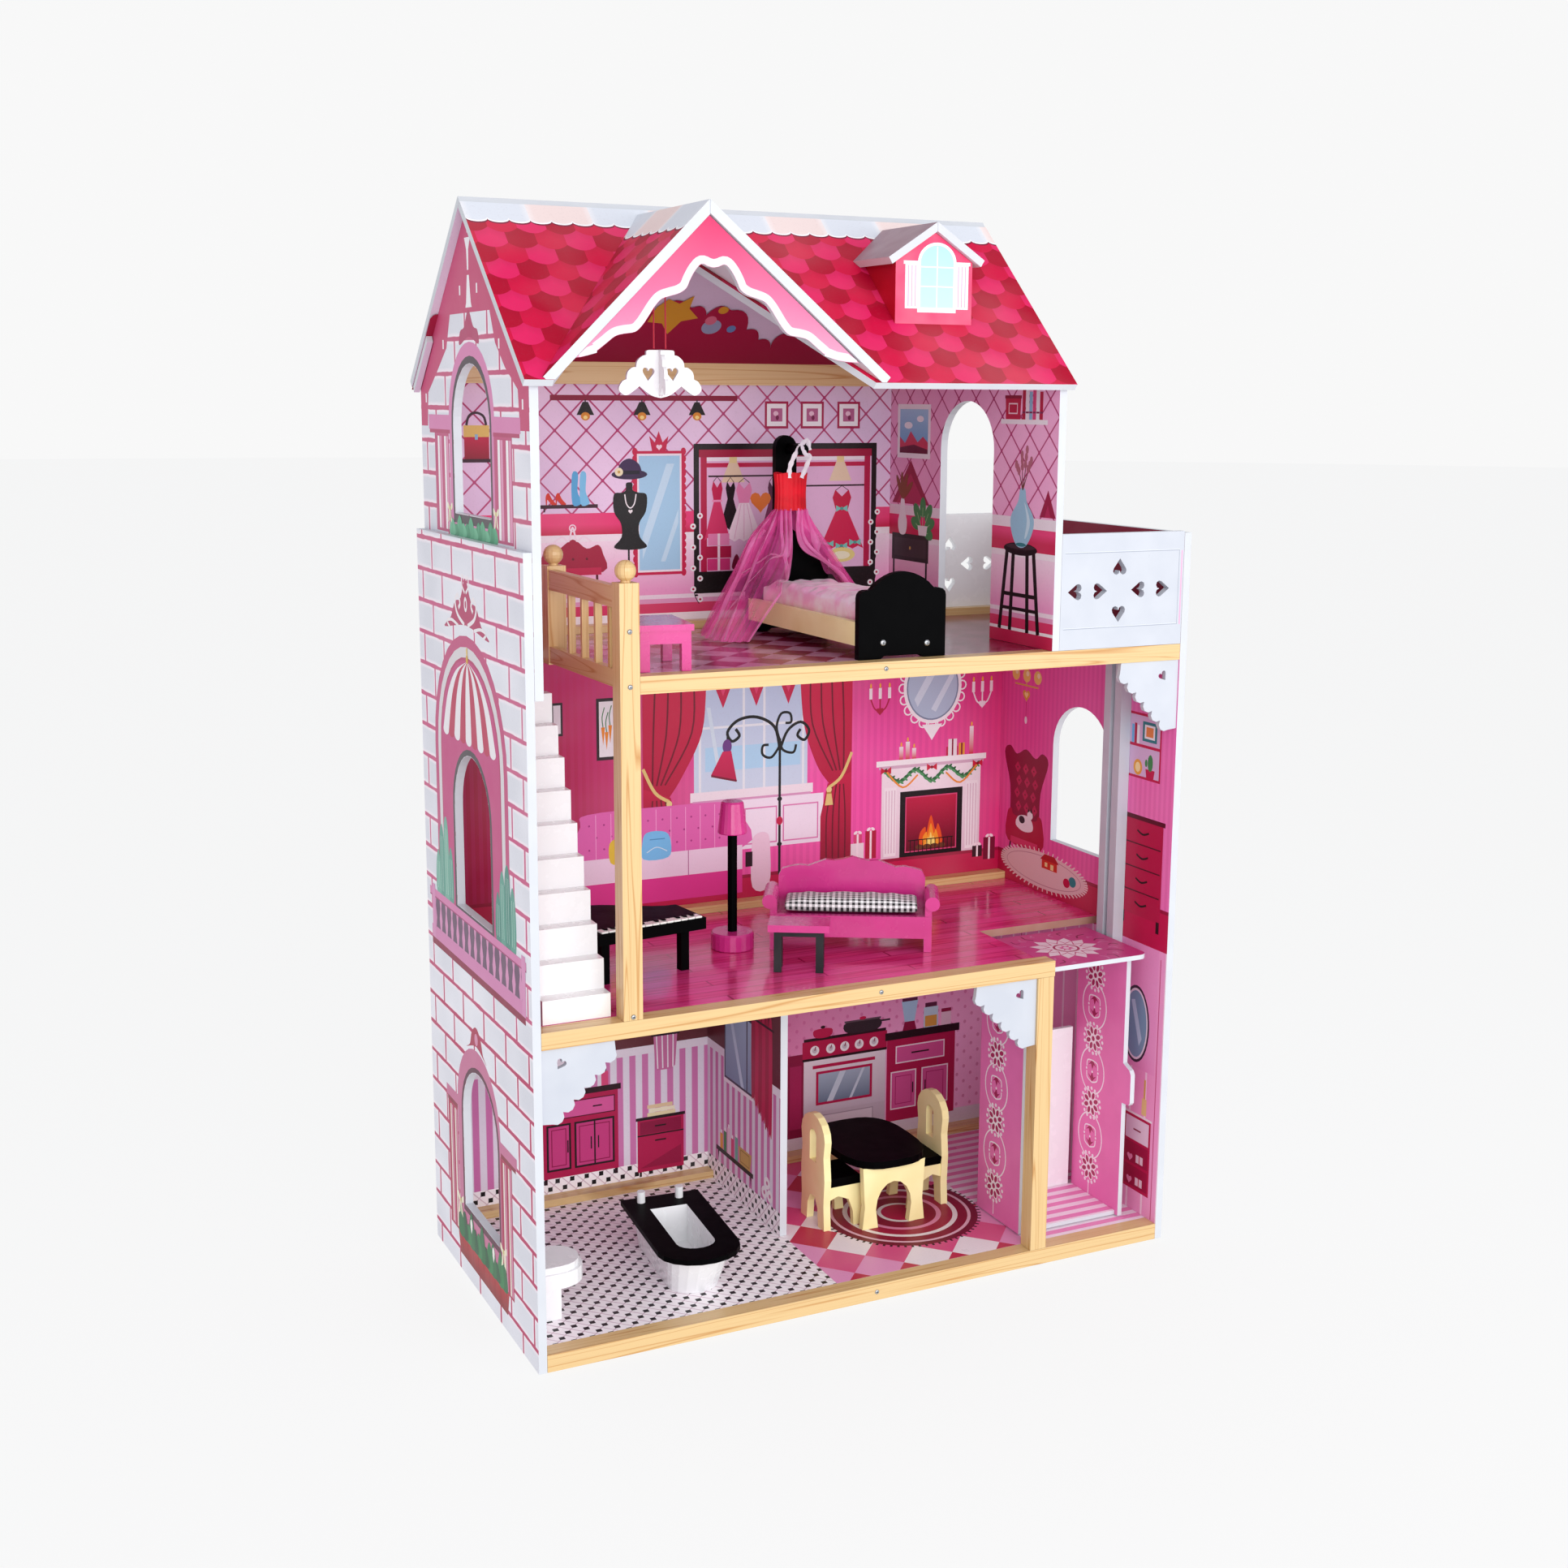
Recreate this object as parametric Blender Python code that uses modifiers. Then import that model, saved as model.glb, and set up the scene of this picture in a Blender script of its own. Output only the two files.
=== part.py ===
"""Wooden dollhouse: three storeys, printed roof with a gable and a dormer, balcony, elevator, loose furniture.

House coordinates, in metres: x from the outer left face, y from the front plane to the rear, z from the ground.
The empty "house" shifts them so that the model stands centred on the origin, with its front facing -Y.
"""
import math

import bmesh
import bpy

# Driving dimensions
BOARD = 0.009
SEAM = 0.0003
WIDTH = 0.785
UPPER_WIDTH = 0.612
DEPTH = 0.378
LOWER_HEIGHT = 0.846
RIDGE_HEIGHT = 1.190
EAVE_OVERHANG = 0.012
EAVE_HEIGHT = 1.008
ROOF_BOARD = 0.008
ROOF_LEFT = 0.001
ROOF_RIGHT = 0.617
BACK_PANEL = 0.005
RAIL_HEIGHT = 0.018
RAIL_DEPTH = 0.021
REAR_RAIL_DEPTH = 0.0177
POST = 0.021
GROUND_TOP = 0.019
SECOND_TOP = 0.3665
THIRD_TOP = 0.7205
WINDOW_CENTRE = 0.190
WINDOW_HALF = 0.064

# Worked out from them
RIDGE_Y = DEPTH / 2
ROOF_RISE = (RIDGE_HEIGHT - EAVE_HEIGHT) / (RIDGE_Y + EAVE_OVERHANG)
ROOF_ANGLE = math.atan(ROOF_RISE)
ROOF_LENGTH = math.hypot(RIDGE_HEIGHT - EAVE_HEIGHT, RIDGE_Y + EAVE_OVERHANG)
ROOF_DROP = ROOF_BOARD / math.cos(ROOF_ANGLE)
LEFT_INSIDE = BOARD + SEAM
RIGHT_INSIDE = WIDTH - BOARD - SEAM
UPPER_LEFT_INSIDE = 2 * BOARD + 2 * SEAM
UPPER_RIGHT_INSIDE = UPPER_WIDTH - BOARD - SEAM
BACK_FACE = DEPTH - BACK_PANEL
REAR_RAIL_FRONT = BACK_FACE - SEAM - REAR_RAIL_DEPTH
DECK_FRONT = RAIL_DEPTH + SEAM
DECK_BACK = REAR_RAIL_FRONT - SEAM
DECK_SPAN = RIGHT_INSIDE - LEFT_INSIDE

# Elevator
BAY_LEFT = 0.607
BAY_BACK = 0.143
CABIN_LEFT = 0.6085
CABIN_RIGHT = 0.752
CABIN_FRONT = 0.042
CABIN_BACK = 0.1352
CABIN_FLOOR = 0.0205
PLATE_FRONT = 0.0095
PLATE_BACK = 0.1385
PLATE_TOP = 0.3555
PLATE_THICK = 0.0055
PANEL = 0.006

for old in list(bpy.data.objects):
    bpy.data.objects.remove(old, do_unlink=True)

PARTS = bpy.data.collections.new("wooden_dollhouse")
CUTTERS = bpy.data.collections.new("cutters")
bpy.context.scene.collection.children.link(PARTS)
bpy.context.scene.collection.children.link(CUTTERS)
MATERIALS = {}

# name: (colour, roughness, metallic)
PALETTE = {
    "white": ((0.86, 0.88, 0.88, 1), 0.35, 0.0),
    "brick": ((0.66, 0.67, 0.76, 1), 0.45, 0.0),
    "pine": ((0.80, 0.60, 0.30, 1), 0.5, 0.0),
    "shingle": ((0.58, 0.02, 0.07, 1), 0.4, 0.0),
    "rose": ((0.85, 0.12, 0.28, 1), 0.4, 0.0),
    "pink": ((0.70, 0.14, 0.38, 1), 0.4, 0.0),
    "magenta": ((0.62, 0.03, 0.26, 1), 0.3, 0.0),
    "lilac": ((0.62, 0.42, 0.60, 1), 0.5, 0.0),
    "black": ((0.01, 0.01, 0.012, 1), 0.35, 0.0),
    "cream": ((0.82, 0.70, 0.40, 1), 0.4, 0.0),
    "tulle": ((0.80, 0.16, 0.48, 1), 0.8, 0.0),
    "satin": ((0.90, 0.45, 0.65, 1), 0.4, 0.0),
    "gingham": ((0.35, 0.35, 0.38, 1), 0.8, 0.0),
    "red": ((0.75, 0.02, 0.04, 1), 0.6, 0.0),
}


def material(name):
    if name not in MATERIALS:
        colour, roughness, metallic = PALETTE[name]
        made = bpy.data.materials.new(name)
        made.use_nodes = True
        shader = made.node_tree.nodes["Principled BSDF"]
        shader.inputs["Base Color"].default_value = colour
        shader.inputs["Roughness"].default_value = roughness
        shader.inputs["Metallic"].default_value = metallic
        MATERIALS[name] = made
    return MATERIALS[name]


def empty(name, location, parent=None, turn=0.0):
    made = bpy.data.objects.new(name, None)
    made.location = location
    made.rotation_euler = (0, 0, math.radians(turn))
    made.parent = parent
    PARTS.objects.link(made)
    return made


HOUSE = empty("house", (-WIDTH / 2, -DEPTH / 2, 0))


def link(name, data, look, parent):
    made = bpy.data.objects.new(name, data)
    data.materials.append(material(look))
    made.parent = parent or HOUSE
    PARTS.objects.link(made)
    return made


def box(name, x, y, z, look="white", parent=None):
    """A box between two ends on each axis."""
    mesh = bpy.data.meshes.new(name)
    work = bmesh.new()
    bmesh.ops.create_cube(work, size=1)
    for axis, (low, high) in enumerate((x, y, z)):
        for vert in work.verts:
            vert.co[axis] = low if vert.co[axis] < 0 else high
    work.to_mesh(mesh)
    work.free()
    return link(name, mesh, look, parent)


def cylinder(name, start, axis, radius, length, look, parent=None, sides=20, end_radius=None):
    """A round bar, or a cone with end_radius, from start along the axis X, Y or Z."""
    mesh = bpy.data.meshes.new(name)
    work = bmesh.new()
    far = radius if end_radius is None else end_radius
    bmesh.ops.create_cone(work, cap_ends=True, segments=sides, radius1=radius, radius2=far, depth=length)
    bmesh.ops.translate(work, verts=work.verts, vec=(0, 0, length / 2))
    work.to_mesh(mesh)
    work.free()
    made = link(name, mesh, look, parent)
    made.location = start
    turns = {"X": (0, math.pi / 2, 0), "Y": (-math.pi / 2, 0, 0), "Z": (0, 0, 0)}
    made.rotation_euler = turns[axis]
    return made


PLANES = {
    "XY": (0, 0, 0),
    "XZ": (math.pi / 2, 0, 0),
    "YZ": (math.pi / 2, 0, math.pi / 2),
    "FRONT_SLOPE": (ROOF_ANGLE, 0, 0),
    "REAR_SLOPE": (math.pi - ROOF_ANGLE, 0, 0),
}


def board(name, outlines, thickness, plane, place, look="white", parent=None):
    """A flat piece: closed outlines (the first is the edge, the others are holes), centred on place."""
    curve = bpy.data.curves.new(name, "CURVE")
    curve.dimensions = "2D"
    curve.fill_mode = "BOTH"
    curve.extrude = thickness / 2
    for outline in outlines:
        spline = curve.splines.new("POLY")
        spline.points.add(len(outline) - 1)
        for point, (u, v) in zip(spline.points, outline):
            point.co = (u, v, 0, 1)
        spline.use_cyclic_u = True
    made = link(name, curve, look, parent)
    made.location = place
    made.rotation_euler = PLANES[plane]
    return made


def as_mesh(piece):
    """The curve piece as a welded mesh object with the same name and place."""
    bpy.context.view_layer.update()
    graph = bpy.context.evaluated_depsgraph_get()
    mesh = bpy.data.meshes.new_from_object(piece.evaluated_get(graph))
    work = bmesh.new()
    work.from_mesh(mesh)
    bmesh.ops.remove_doubles(work, verts=work.verts, dist=0.00001)
    bmesh.ops.recalc_face_normals(work, faces=work.faces)
    work.to_mesh(mesh)
    work.free()
    name = piece.name
    parent = piece.parent
    place = piece.matrix_local.copy()
    bpy.data.objects.remove(piece, do_unlink=True)
    made = bpy.data.objects.new(name, mesh)
    made.parent = parent
    made.matrix_local = place
    PARTS.objects.link(made)
    return made


def combine(piece, others, operation):
    """Adds a Boolean for each other piece, which becomes a hidden cutter."""
    for other in others:
        PARTS.objects.unlink(other)
        CUTTERS.objects.link(other)
        other.hide_render = True
        other.display_type = "WIRE"
        step = piece.modifiers.new(other.name, "BOOLEAN")
        step.operation = operation
        step.solver = "EXACT"
        step.object = other
    return piece


def fuse(piece, others):
    return combine(piece, others, "UNION")


def cut(piece, others):
    return combine(piece, others, "DIFFERENCE")


def rectangle(u0, v0, u1, v1):
    return [(u0, v0), (u1, v0), (u1, v1), (u0, v1)]


def arch(centre, half, bottom, top, rise=1.0, steps=10):
    """A window outline: straight sides under a round head, whose height is rise times half its width."""
    spring = top - half * rise
    head = []
    for i in range(2 * steps + 1):
        angle = math.pi * i / (2 * steps)
        head.append((centre + half * math.cos(angle), spring + half * rise * math.sin(angle)))
    return [(centre - half, bottom), (centre + half, bottom)] + head


def heart(u, v, size, turn=0.0, steps=5):
    """A heart outline, its tip downward before the turn in degrees."""
    lobe = size / 4
    points = [(0, -size * 0.55)]
    for side in (1, -1):
        arc = []
        for i in range(steps + 1):
            angle = math.radians(-35 + 215 * i / steps)
            arc.append((side * (lobe + lobe * math.cos(angle)), size * 0.2 + lobe * math.sin(angle)))
        points += arc if side > 0 else arc[-2::-1]
    cos, sin = math.cos(math.radians(turn)), math.sin(math.radians(turn))
    return [(u + a * cos - b * sin, v + a * sin + b * cos) for a, b in points]


def roof_top(y):
    """Height of the roof's outer surface at a depth y."""
    return RIDGE_HEIGHT - abs(RIDGE_Y - y) * ROOF_RISE


def under_roof(y):
    return roof_top(y) - ROOF_DROP - SEAM


# ---------------------------------------------------------------- walls, decks and panels


def side_walls():
    side = rectangle(0, 0, DEPTH, LOWER_HEIGHT)
    ground_window = arch(WINDOW_CENTRE, WINDOW_HALF, 0.088, 0.262)
    second_window = arch(WINDOW_CENTRE, WINDOW_HALF, 0.440, 0.6166)
    right_window = arch(WINDOW_CENTRE, 0.0605, 0.440, 0.6195, rise=0.92)
    board("lower_left_wall", [side, ground_window, second_window], BOARD, "YZ", (BOARD / 2, 0, 0), "brick")
    board("lower_right_wall", [side, right_window], BOARD, "YZ", (WIDTH - BOARD / 2, 0, 0))
    bottom = THIRD_TOP - RAIL_HEIGHT
    notch = BACK_FACE - SEAM
    foot = [(0, bottom), (notch, bottom), (notch, THIRD_TOP), (DEPTH, THIRD_TOP)]
    gable = foot + [(DEPTH, under_roof(DEPTH)), (RIDGE_Y, under_roof(RIDGE_Y)), (0, under_roof(0))]
    window = arch(WINDOW_CENTRE, WINDOW_HALF, 0.870, 1.025)
    board("upper_left_wall", [gable, window], BOARD, "YZ", (1.5 * BOARD + SEAM, 0, 0), "brick")
    sill = THIRD_TOP + SEAM
    rail_top = THIRD_TOP - BOARD + RAIL_HEIGHT + SEAM
    door = arch(WINDOW_CENTRE, 0.0595, sill, 0.990, rise=0.92)
    doorway = [door[0]] + door[:1:-1] + [door[1]]
    right = [(0, sill)] + doorway + [
        (DECK_BACK, sill),
        (DECK_BACK, rail_top),
        (DEPTH, rail_top),
        (DEPTH, under_roof(DEPTH)),
        (RIDGE_Y, under_roof(RIDGE_Y)),
        (0, under_roof(0)),
    ]
    board("upper_right_wall", [right], BOARD, "YZ", (UPPER_WIDTH - BOARD / 2, 0, 0))


def decks():
    ground = rectangle(LEFT_INSIDE, DECK_FRONT, RIGHT_INSIDE, DECK_BACK)
    board("ground_floor", [ground], BOARD, "XY", (0, 0, GROUND_TOP - BOARD / 2), "lilac")
    second = [
        (LEFT_INSIDE, DECK_FRONT),
        (BAY_LEFT, DECK_FRONT),
        (BAY_LEFT, BAY_BACK),
        (RIGHT_INSIDE, BAY_BACK),
        (RIGHT_INSIDE, DECK_BACK),
        (LEFT_INSIDE, DECK_BACK),
    ]
    board("second_floor", [second], BOARD, "XY", (0, 0, SECOND_TOP - BOARD / 2), "magenta")
    third = [
        (STAIR_EDGE, DECK_FRONT),
        (RIGHT_INSIDE, DECK_FRONT),
        (RIGHT_INSIDE, DECK_BACK),
        (UPPER_LEFT_INSIDE, DECK_BACK),
        (UPPER_LEFT_INSIDE, NEWEL_BACK + SEAM),
        (POST_RIGHT + SEAM, NEWEL_BACK + SEAM),
        (POST_RIGHT + SEAM, NEWEL_FRONT - SEAM),
        (STAIR_EDGE, NEWEL_FRONT - SEAM),
    ]
    board("third_floor", [third], BOARD, "XY", (0, 0, THIRD_TOP - BOARD / 2), "pink")


def back_panels():
    y = (BACK_FACE, DEPTH)
    across = (LEFT_INSIDE, RIGHT_INSIDE)
    middle = SECOND_TOP - BOARD
    box("back_panel_ground", across, y, (0.0005, middle - SEAM), "lilac")
    box("back_panel_second", across, y, (middle, THIRD_TOP - SEAM), "magenta")
    upper = (UPPER_LEFT_INSIDE, UPPER_RIGHT_INSIDE)
    box("back_panel_third", upper, y, (THIRD_TOP, under_roof(DEPTH)), "lilac")


def partition():
    front = 0.160
    rail_top = GROUND_TOP - BOARD + RAIL_HEIGHT + SEAM
    top = SECOND_TOP - BOARD - SEAM
    outline = [
        (front, GROUND_TOP + SEAM),
        (DECK_BACK, GROUND_TOP + SEAM),
        (DECK_BACK, rail_top),
        (BACK_FACE - SEAM, rail_top),
        (BACK_FACE - SEAM, top),
        (front, top),
    ]
    board("partition_wall", [outline], BOARD, "YZ", (0.3565, 0, 0), "pink")


# ---------------------------------------------------------------- pine rails and posts

POST_LEFT = 0.0975
POST_RIGHT = POST_LEFT + POST
NEWEL_FRONT = 0.215
NEWEL_BACK = NEWEL_FRONT + POST
RAILING_LEFT = 0.0985
RAILING = 0.009
STAIR_EDGE = RAILING_LEFT + RAILING + SEAM
KITCHEN_POST_RIGHT = 0.6195
SECOND_RAIL_RIGHT = 0.6205


def rails():
    front = (0, RAIL_DEPTH)
    across = (LEFT_INSIDE, RIGHT_INSIDE)
    box("base_front_rail", across, front, (0, GROUND_TOP), "pine")
    box("second_front_rail", (LEFT_INSIDE, SECOND_RAIL_RIGHT), front, (SECOND_TOP - RAIL_HEIGHT, SECOND_TOP), "pine")
    third = (POST_RIGHT + SEAM, RIGHT_INSIDE)
    box("third_front_rail", third, front, (THIRD_TOP - RAIL_HEIGHT, THIRD_TOP), "pine")
    rear = (REAR_RAIL_FRONT, BACK_FACE - SEAM)
    for name, deck_top, left in (
        ("base_rear_rail", GROUND_TOP, LEFT_INSIDE),
        ("second_rear_rail", SECOND_TOP, LEFT_INSIDE),
        ("third_rear_rail", THIRD_TOP, UPPER_LEFT_INSIDE),
    ):
        low = deck_top - BOARD
        box(name, (left, RIGHT_INSIDE), rear, (low, low + RAIL_HEIGHT), "pine")
    y0, y1 = 0.350, BACK_FACE - SEAM
    wedge = [(y0, 1.0065), (y1, 1.0065), (y1, under_roof(y1)), (y0, under_roof(y0))]
    span = UPPER_RIGHT_INSIDE - UPPER_LEFT_INSIDE
    board("top_rear_rail", [wedge], span, "YZ", (UPPER_LEFT_INSIDE + span / 2, 0, 0), "pine")


def finial(name, x, y, top, radius=0.0108):
    """A ball on a short neck."""
    neck = cylinder(name + "_neck", (x, y, top - 0.001), "Z", 0.005, 0.006, "pine")
    ball = box(name + "_ball", (0, 1), (0, 1), (0, 1), "pine")
    work = bmesh.new()
    bmesh.ops.create_uvsphere(work, u_segments=16, v_segments=10, radius=radius)
    work.to_mesh(ball.data)
    work.free()
    ball.location = (x, y, top + 0.0115)
    return [neck, ball]


def posts():
    top = 0.8133
    x = POST_LEFT + POST / 2
    post = box("stair_post", (POST_LEFT, POST_RIGHT), (0, POST), (SECOND_TOP + SEAM, top), "pine")
    fuse(post, finial("post", x, POST / 2, top))
    low, high = GROUND_TOP + SEAM, SECOND_TOP - RAIL_HEIGHT - SEAM
    box("kitchen_post", (KITCHEN_POST_RIGHT - POST, KITCHEN_POST_RIGHT), (0, POST), (low, high), "pine")


def railing():
    x = (RAILING_LEFT, RAILING_LEFT + RAILING)
    y = (POST + SEAM, NEWEL_FRONT + SEAM)
    railing_top = 0.8095
    piece = box("stair_railing", x, y, (0.788, railing_top), "pine")
    lower = box("lower_rail", x, y, (0.7085, 0.7265), "pine")
    spindles = []
    for i in range(4):
        centre = y[0] + 0.0147 + 0.0398 * i
        spindle = box("spindle_%d" % i, (x[0] + 0.0008, x[1] - 0.0008), (centre - 0.0026, centre + 0.0026), (0.724, 0.790))
        spindles.append(spindle)
    newel_top = 0.8133
    newel = box("rear_newel", (POST_LEFT, POST_RIGHT), (NEWEL_FRONT, NEWEL_BACK), (0.7065, newel_top), "pine")
    ball = finial("newel", POST_LEFT + POST / 2, NEWEL_FRONT + POST / 2, newel_top)
    fuse(piece, [lower] + spindles + [newel] + ball)


def staircase():
    left, right = UPPER_LEFT_INSIDE, 0.092
    steps, rise, run = 10, 0.0319, 0.0187
    first_y, first_z = 0.023, 0.392
    outline = [(first_y + 0.036, SECOND_TOP + SEAM), (first_y, SECOND_TOP + SEAM)]
    for i in range(steps):
        outline.append((first_y + run * i, first_z + rise * i))
        outline.append((first_y + run * (i + 1), first_z + rise * i))
    back = first_y + run * steps
    outline.append((back, first_z + rise * (steps - 1) - 0.052))
    width = right - left
    board("staircase", [outline], width, "YZ", (left + width / 2, 0, 0), "white")


# ---------------------------------------------------------------- roof


def roof_boards():
    width = ROOF_RIGHT - ROOF_LEFT
    half = ROOF_BOARD / 2
    eave_y = -EAVE_OVERHANG + half * math.sin(ROOF_ANGLE)
    eave_z = EAVE_HEIGHT - half * math.cos(ROOF_ANGLE)
    mitre = ROOF_BOARD + SEAM
    notch_left, notch_right, notch_tip = 0.030 - ROOF_LEFT, 0.373 - ROOF_LEFT, 0.201 - ROOF_LEFT
    notch_height = (1.152 - EAVE_HEIGHT) / math.sin(ROOF_ANGLE)
    top = ROOF_LENGTH - mitre
    outline = [
        (0, 0),
        (notch_left, 0),
        (notch_tip, notch_height),
        (notch_right, 0),
        (width, 0),
        (width, top),
        (0, top),
    ]
    board("roof_front", [outline], ROOF_BOARD, "FRONT_SLOPE", (ROOF_LEFT, eave_y, eave_z), "shingle")
    rear_place = (ROOF_LEFT, DEPTH - eave_y, eave_z)
    rear = as_mesh(board("roof_back", [rectangle(0, 0, width, ROOF_LENGTH - SEAM)], ROOF_BOARD, "REAR_SLOPE", rear_place, "shingle"))
    cleat_y = DEPTH - 0.052
    cleat = [
        (cleat_y, roof_top(cleat_y) - 0.006),
        (DEPTH + 0.006, roof_top(DEPTH + 0.006) - 0.006),
        (DEPTH + 0.001, roof_top(DEPTH + 0.001) - 0.022),
        (cleat_y - 0.006, roof_top(cleat_y - 0.006) - 0.022),
    ]
    block = as_mesh(board("cleat", [cleat], 0.0065, "YZ", (ROOF_LEFT + 0.0042, 0, 0), "shingle"))
    fuse(rear, [block])


GABLE_APEX = (0.190, 1.179)
GABLE_LEFT = (0.0195, 1.0108)
GABLE_RIGHT = (0.3895, 1.0134)
GABLE_BOARD = 0.010
GABLE_FRONT = -EAVE_OVERHANG


def slope_cutter(name):
    """A solid filling everything under the roof's outer front surface."""
    low, high = -0.06, 0.26
    front = RIDGE_HEIGHT - (RIDGE_Y - low) * ROOF_RISE + SEAM
    rear = RIDGE_HEIGHT - (RIDGE_Y - high) * ROOF_RISE + SEAM
    outline = [(low, 0.80), (high, 0.80), (high, rear), (low, front)]
    return as_mesh(board(name, [outline], 0.9, "YZ", (0.4, 0, 0)))


def gable_underside(end):
    """The lower corners of a gable roof board that runs from the apex to end: (under apex, under end)."""
    length = math.hypot(end[0] - GABLE_APEX[0], end[1] - GABLE_APEX[1])
    along = ((end[0] - GABLE_APEX[0]) / length, (end[1] - GABLE_APEX[1]) / length)
    inward = (-abs(along[1]) if end[0] > GABLE_APEX[0] else abs(along[1]), -abs(along[0]))
    under_end = (end[0] + inward[0] * GABLE_BOARD, end[1] + inward[1] * GABLE_BOARD)
    drop = GABLE_BOARD / abs(along[0])
    return (GABLE_APEX[0], GABLE_APEX[1] - drop), under_end


def gable():
    depth = 0.20
    middle = GABLE_FRONT + depth / 2
    for name, end, side in (("gable_roof_left", GABLE_LEFT, -1), ("gable_roof_right", GABLE_RIGHT, 1)):
        under_apex, under_end = gable_underside(end)
        shift = side * SEAM / 2
        outline = [
            (GABLE_APEX[0] + shift, GABLE_APEX[1]),
            end,
            under_end,
            (under_apex[0] + shift, under_apex[1]),
        ]
        roof = as_mesh(board(name, [outline], depth, "XZ", (0, middle, 0), "shingle"))
        cut(roof, [slope_cutter(name + "_slope")])
    bargeboard()


def smooth_line(points, steps):
    """Points on a smooth curve through the given ones, ends included."""
    ends = [points[0]] + points + [points[-1]]
    line = []
    for before, here, there, after in zip(ends, ends[1:], ends[2:], ends[3:]):
        for k in range(steps):
            t = k / steps
            pull = (-t + 2 * t**2 - t**3, 2 - 5 * t**2 + 3 * t**3, t + 4 * t**2 - 3 * t**3, t**3 - t**2)
            parts = list(zip(pull, (before, here, there, after)))
            line.append((sum(w * p[0] for w, p in parts) / 2, sum(w * p[1] for w, p in parts) / 2))
    return line + [points[-1]]


def bargeboard():
    """The pink board with a wavy lower edge, between the two gable roof boards."""
    under_left, low_left = gable_underside(GABLE_LEFT)
    under_right, low_right = gable_underside(GABLE_RIGHT)
    apex = (GABLE_APEX[0], min(under_left[1], under_right[1]) - 2 * SEAM)
    start, end = (0.0550, 1.0290), (0.3535, 1.0275)
    centre = 0.1945
    half = [(0.0055, 1.1165), (0.0125, 1.1185), (0.0190, 1.1125), (0.0245, 1.1035), (0.0285, 1.0955)]
    half += [(0.0360, 1.0905), (0.0460, 1.0875), (0.0545, 1.0845), (0.0610, 1.0780), (0.0670, 1.0695)]
    half += [(0.0740, 1.0600), (0.0815, 1.0535), (0.0930, 1.0515), (0.1020, 1.0490), (0.1115, 1.0420)]
    half += [(0.1225, 1.0340), (0.1345, 1.0297)]
    anchors = [start] + [(centre - u, z) for u, z in reversed(half)] + [(centre, 1.1155)]
    anchors += [(centre + u, z) for u, z in half] + [(0.3420, 1.0282), end]
    wave = smooth_line(anchors, 3)
    rise_left = (under_left[1] - low_left[1]) / (under_left[0] - low_left[0])
    rise_right = (under_right[1] - low_right[1]) / (under_right[0] - low_right[0])
    edge_left = (start[0] - 0.002, apex[1] - rise_left * (apex[0] - start[0] + 0.002) - 2 * SEAM)
    edge_right = (end[0] + 0.002, apex[1] + rise_right * (end[0] + 0.002 - apex[0]) - 2 * SEAM)
    outline = [apex, edge_left] + wave + [edge_right]
    board("gable_board", [outline], 0.006, "XZ", (0, -0.0065, 0), "rose")


DORMER_LEFT = 0.431
DORMER_RIGHT = 0.524
DORMER_FRONT = 0.056
DORMER_APEX = (0.4775, 1.1745)
DORMER_EAVE = 1.1370
DORMER_ROOF = 0.008


def dormer():
    """A hollow box that stands on the front slope, under two roof boards."""
    left_out, right_out = DORMER_APEX[0] - 0.058, DORMER_APEX[0] + 0.058
    rise = (DORMER_APEX[1] - DORMER_EAVE) / 0.058
    drop = DORMER_ROOF * math.hypot(1, rise) + SEAM
    apex_z = DORMER_APEX[1] - drop

    def gable_outline(inset):
        left, right = DORMER_LEFT + inset, DORMER_RIGHT - inset
        shoulder = apex_z - rise * (DORMER_APEX[0] - left) - inset
        return [(left, 1.02), (right, 1.02), (right, shoulder), (DORMER_APEX[0], apex_z - inset), (left, shoulder)]

    depth = 0.130
    body = as_mesh(board("dormer_box", [gable_outline(0)], depth, "XZ", (0, DORMER_FRONT + depth / 2, 0), "red"))
    hollow_front = DORMER_FRONT + 0.018
    hollow = as_mesh(board("dormer_hollow", [gable_outline(0.006)], depth, "XZ", (0, hollow_front + depth / 2, 0)))
    cut(body, [hollow, slope_cutter("dormer_slope")])
    roof_front = DORMER_FRONT - 0.006
    roof_depth = 0.140
    for name, end, side in (("dormer_roof_left", left_out, -1), ("dormer_roof_right", right_out, 1)):
        shift = side * SEAM / 2
        outline = [
            (DORMER_APEX[0] + shift, DORMER_APEX[1]),
            (end, DORMER_EAVE),
            (end - side * DORMER_ROOF * rise / math.hypot(1, rise), DORMER_EAVE - DORMER_ROOF / math.hypot(1, rise)),
            (DORMER_APEX[0] + shift, apex_z + SEAM),
        ]
        roof = as_mesh(board(name, [outline], roof_depth, "XZ", (0, roof_front + roof_depth / 2, 0), "white"))
        cut(roof, [slope_cutter(name + "_slope")])


# ---------------------------------------------------------------- brackets, balcony, elevator


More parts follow.
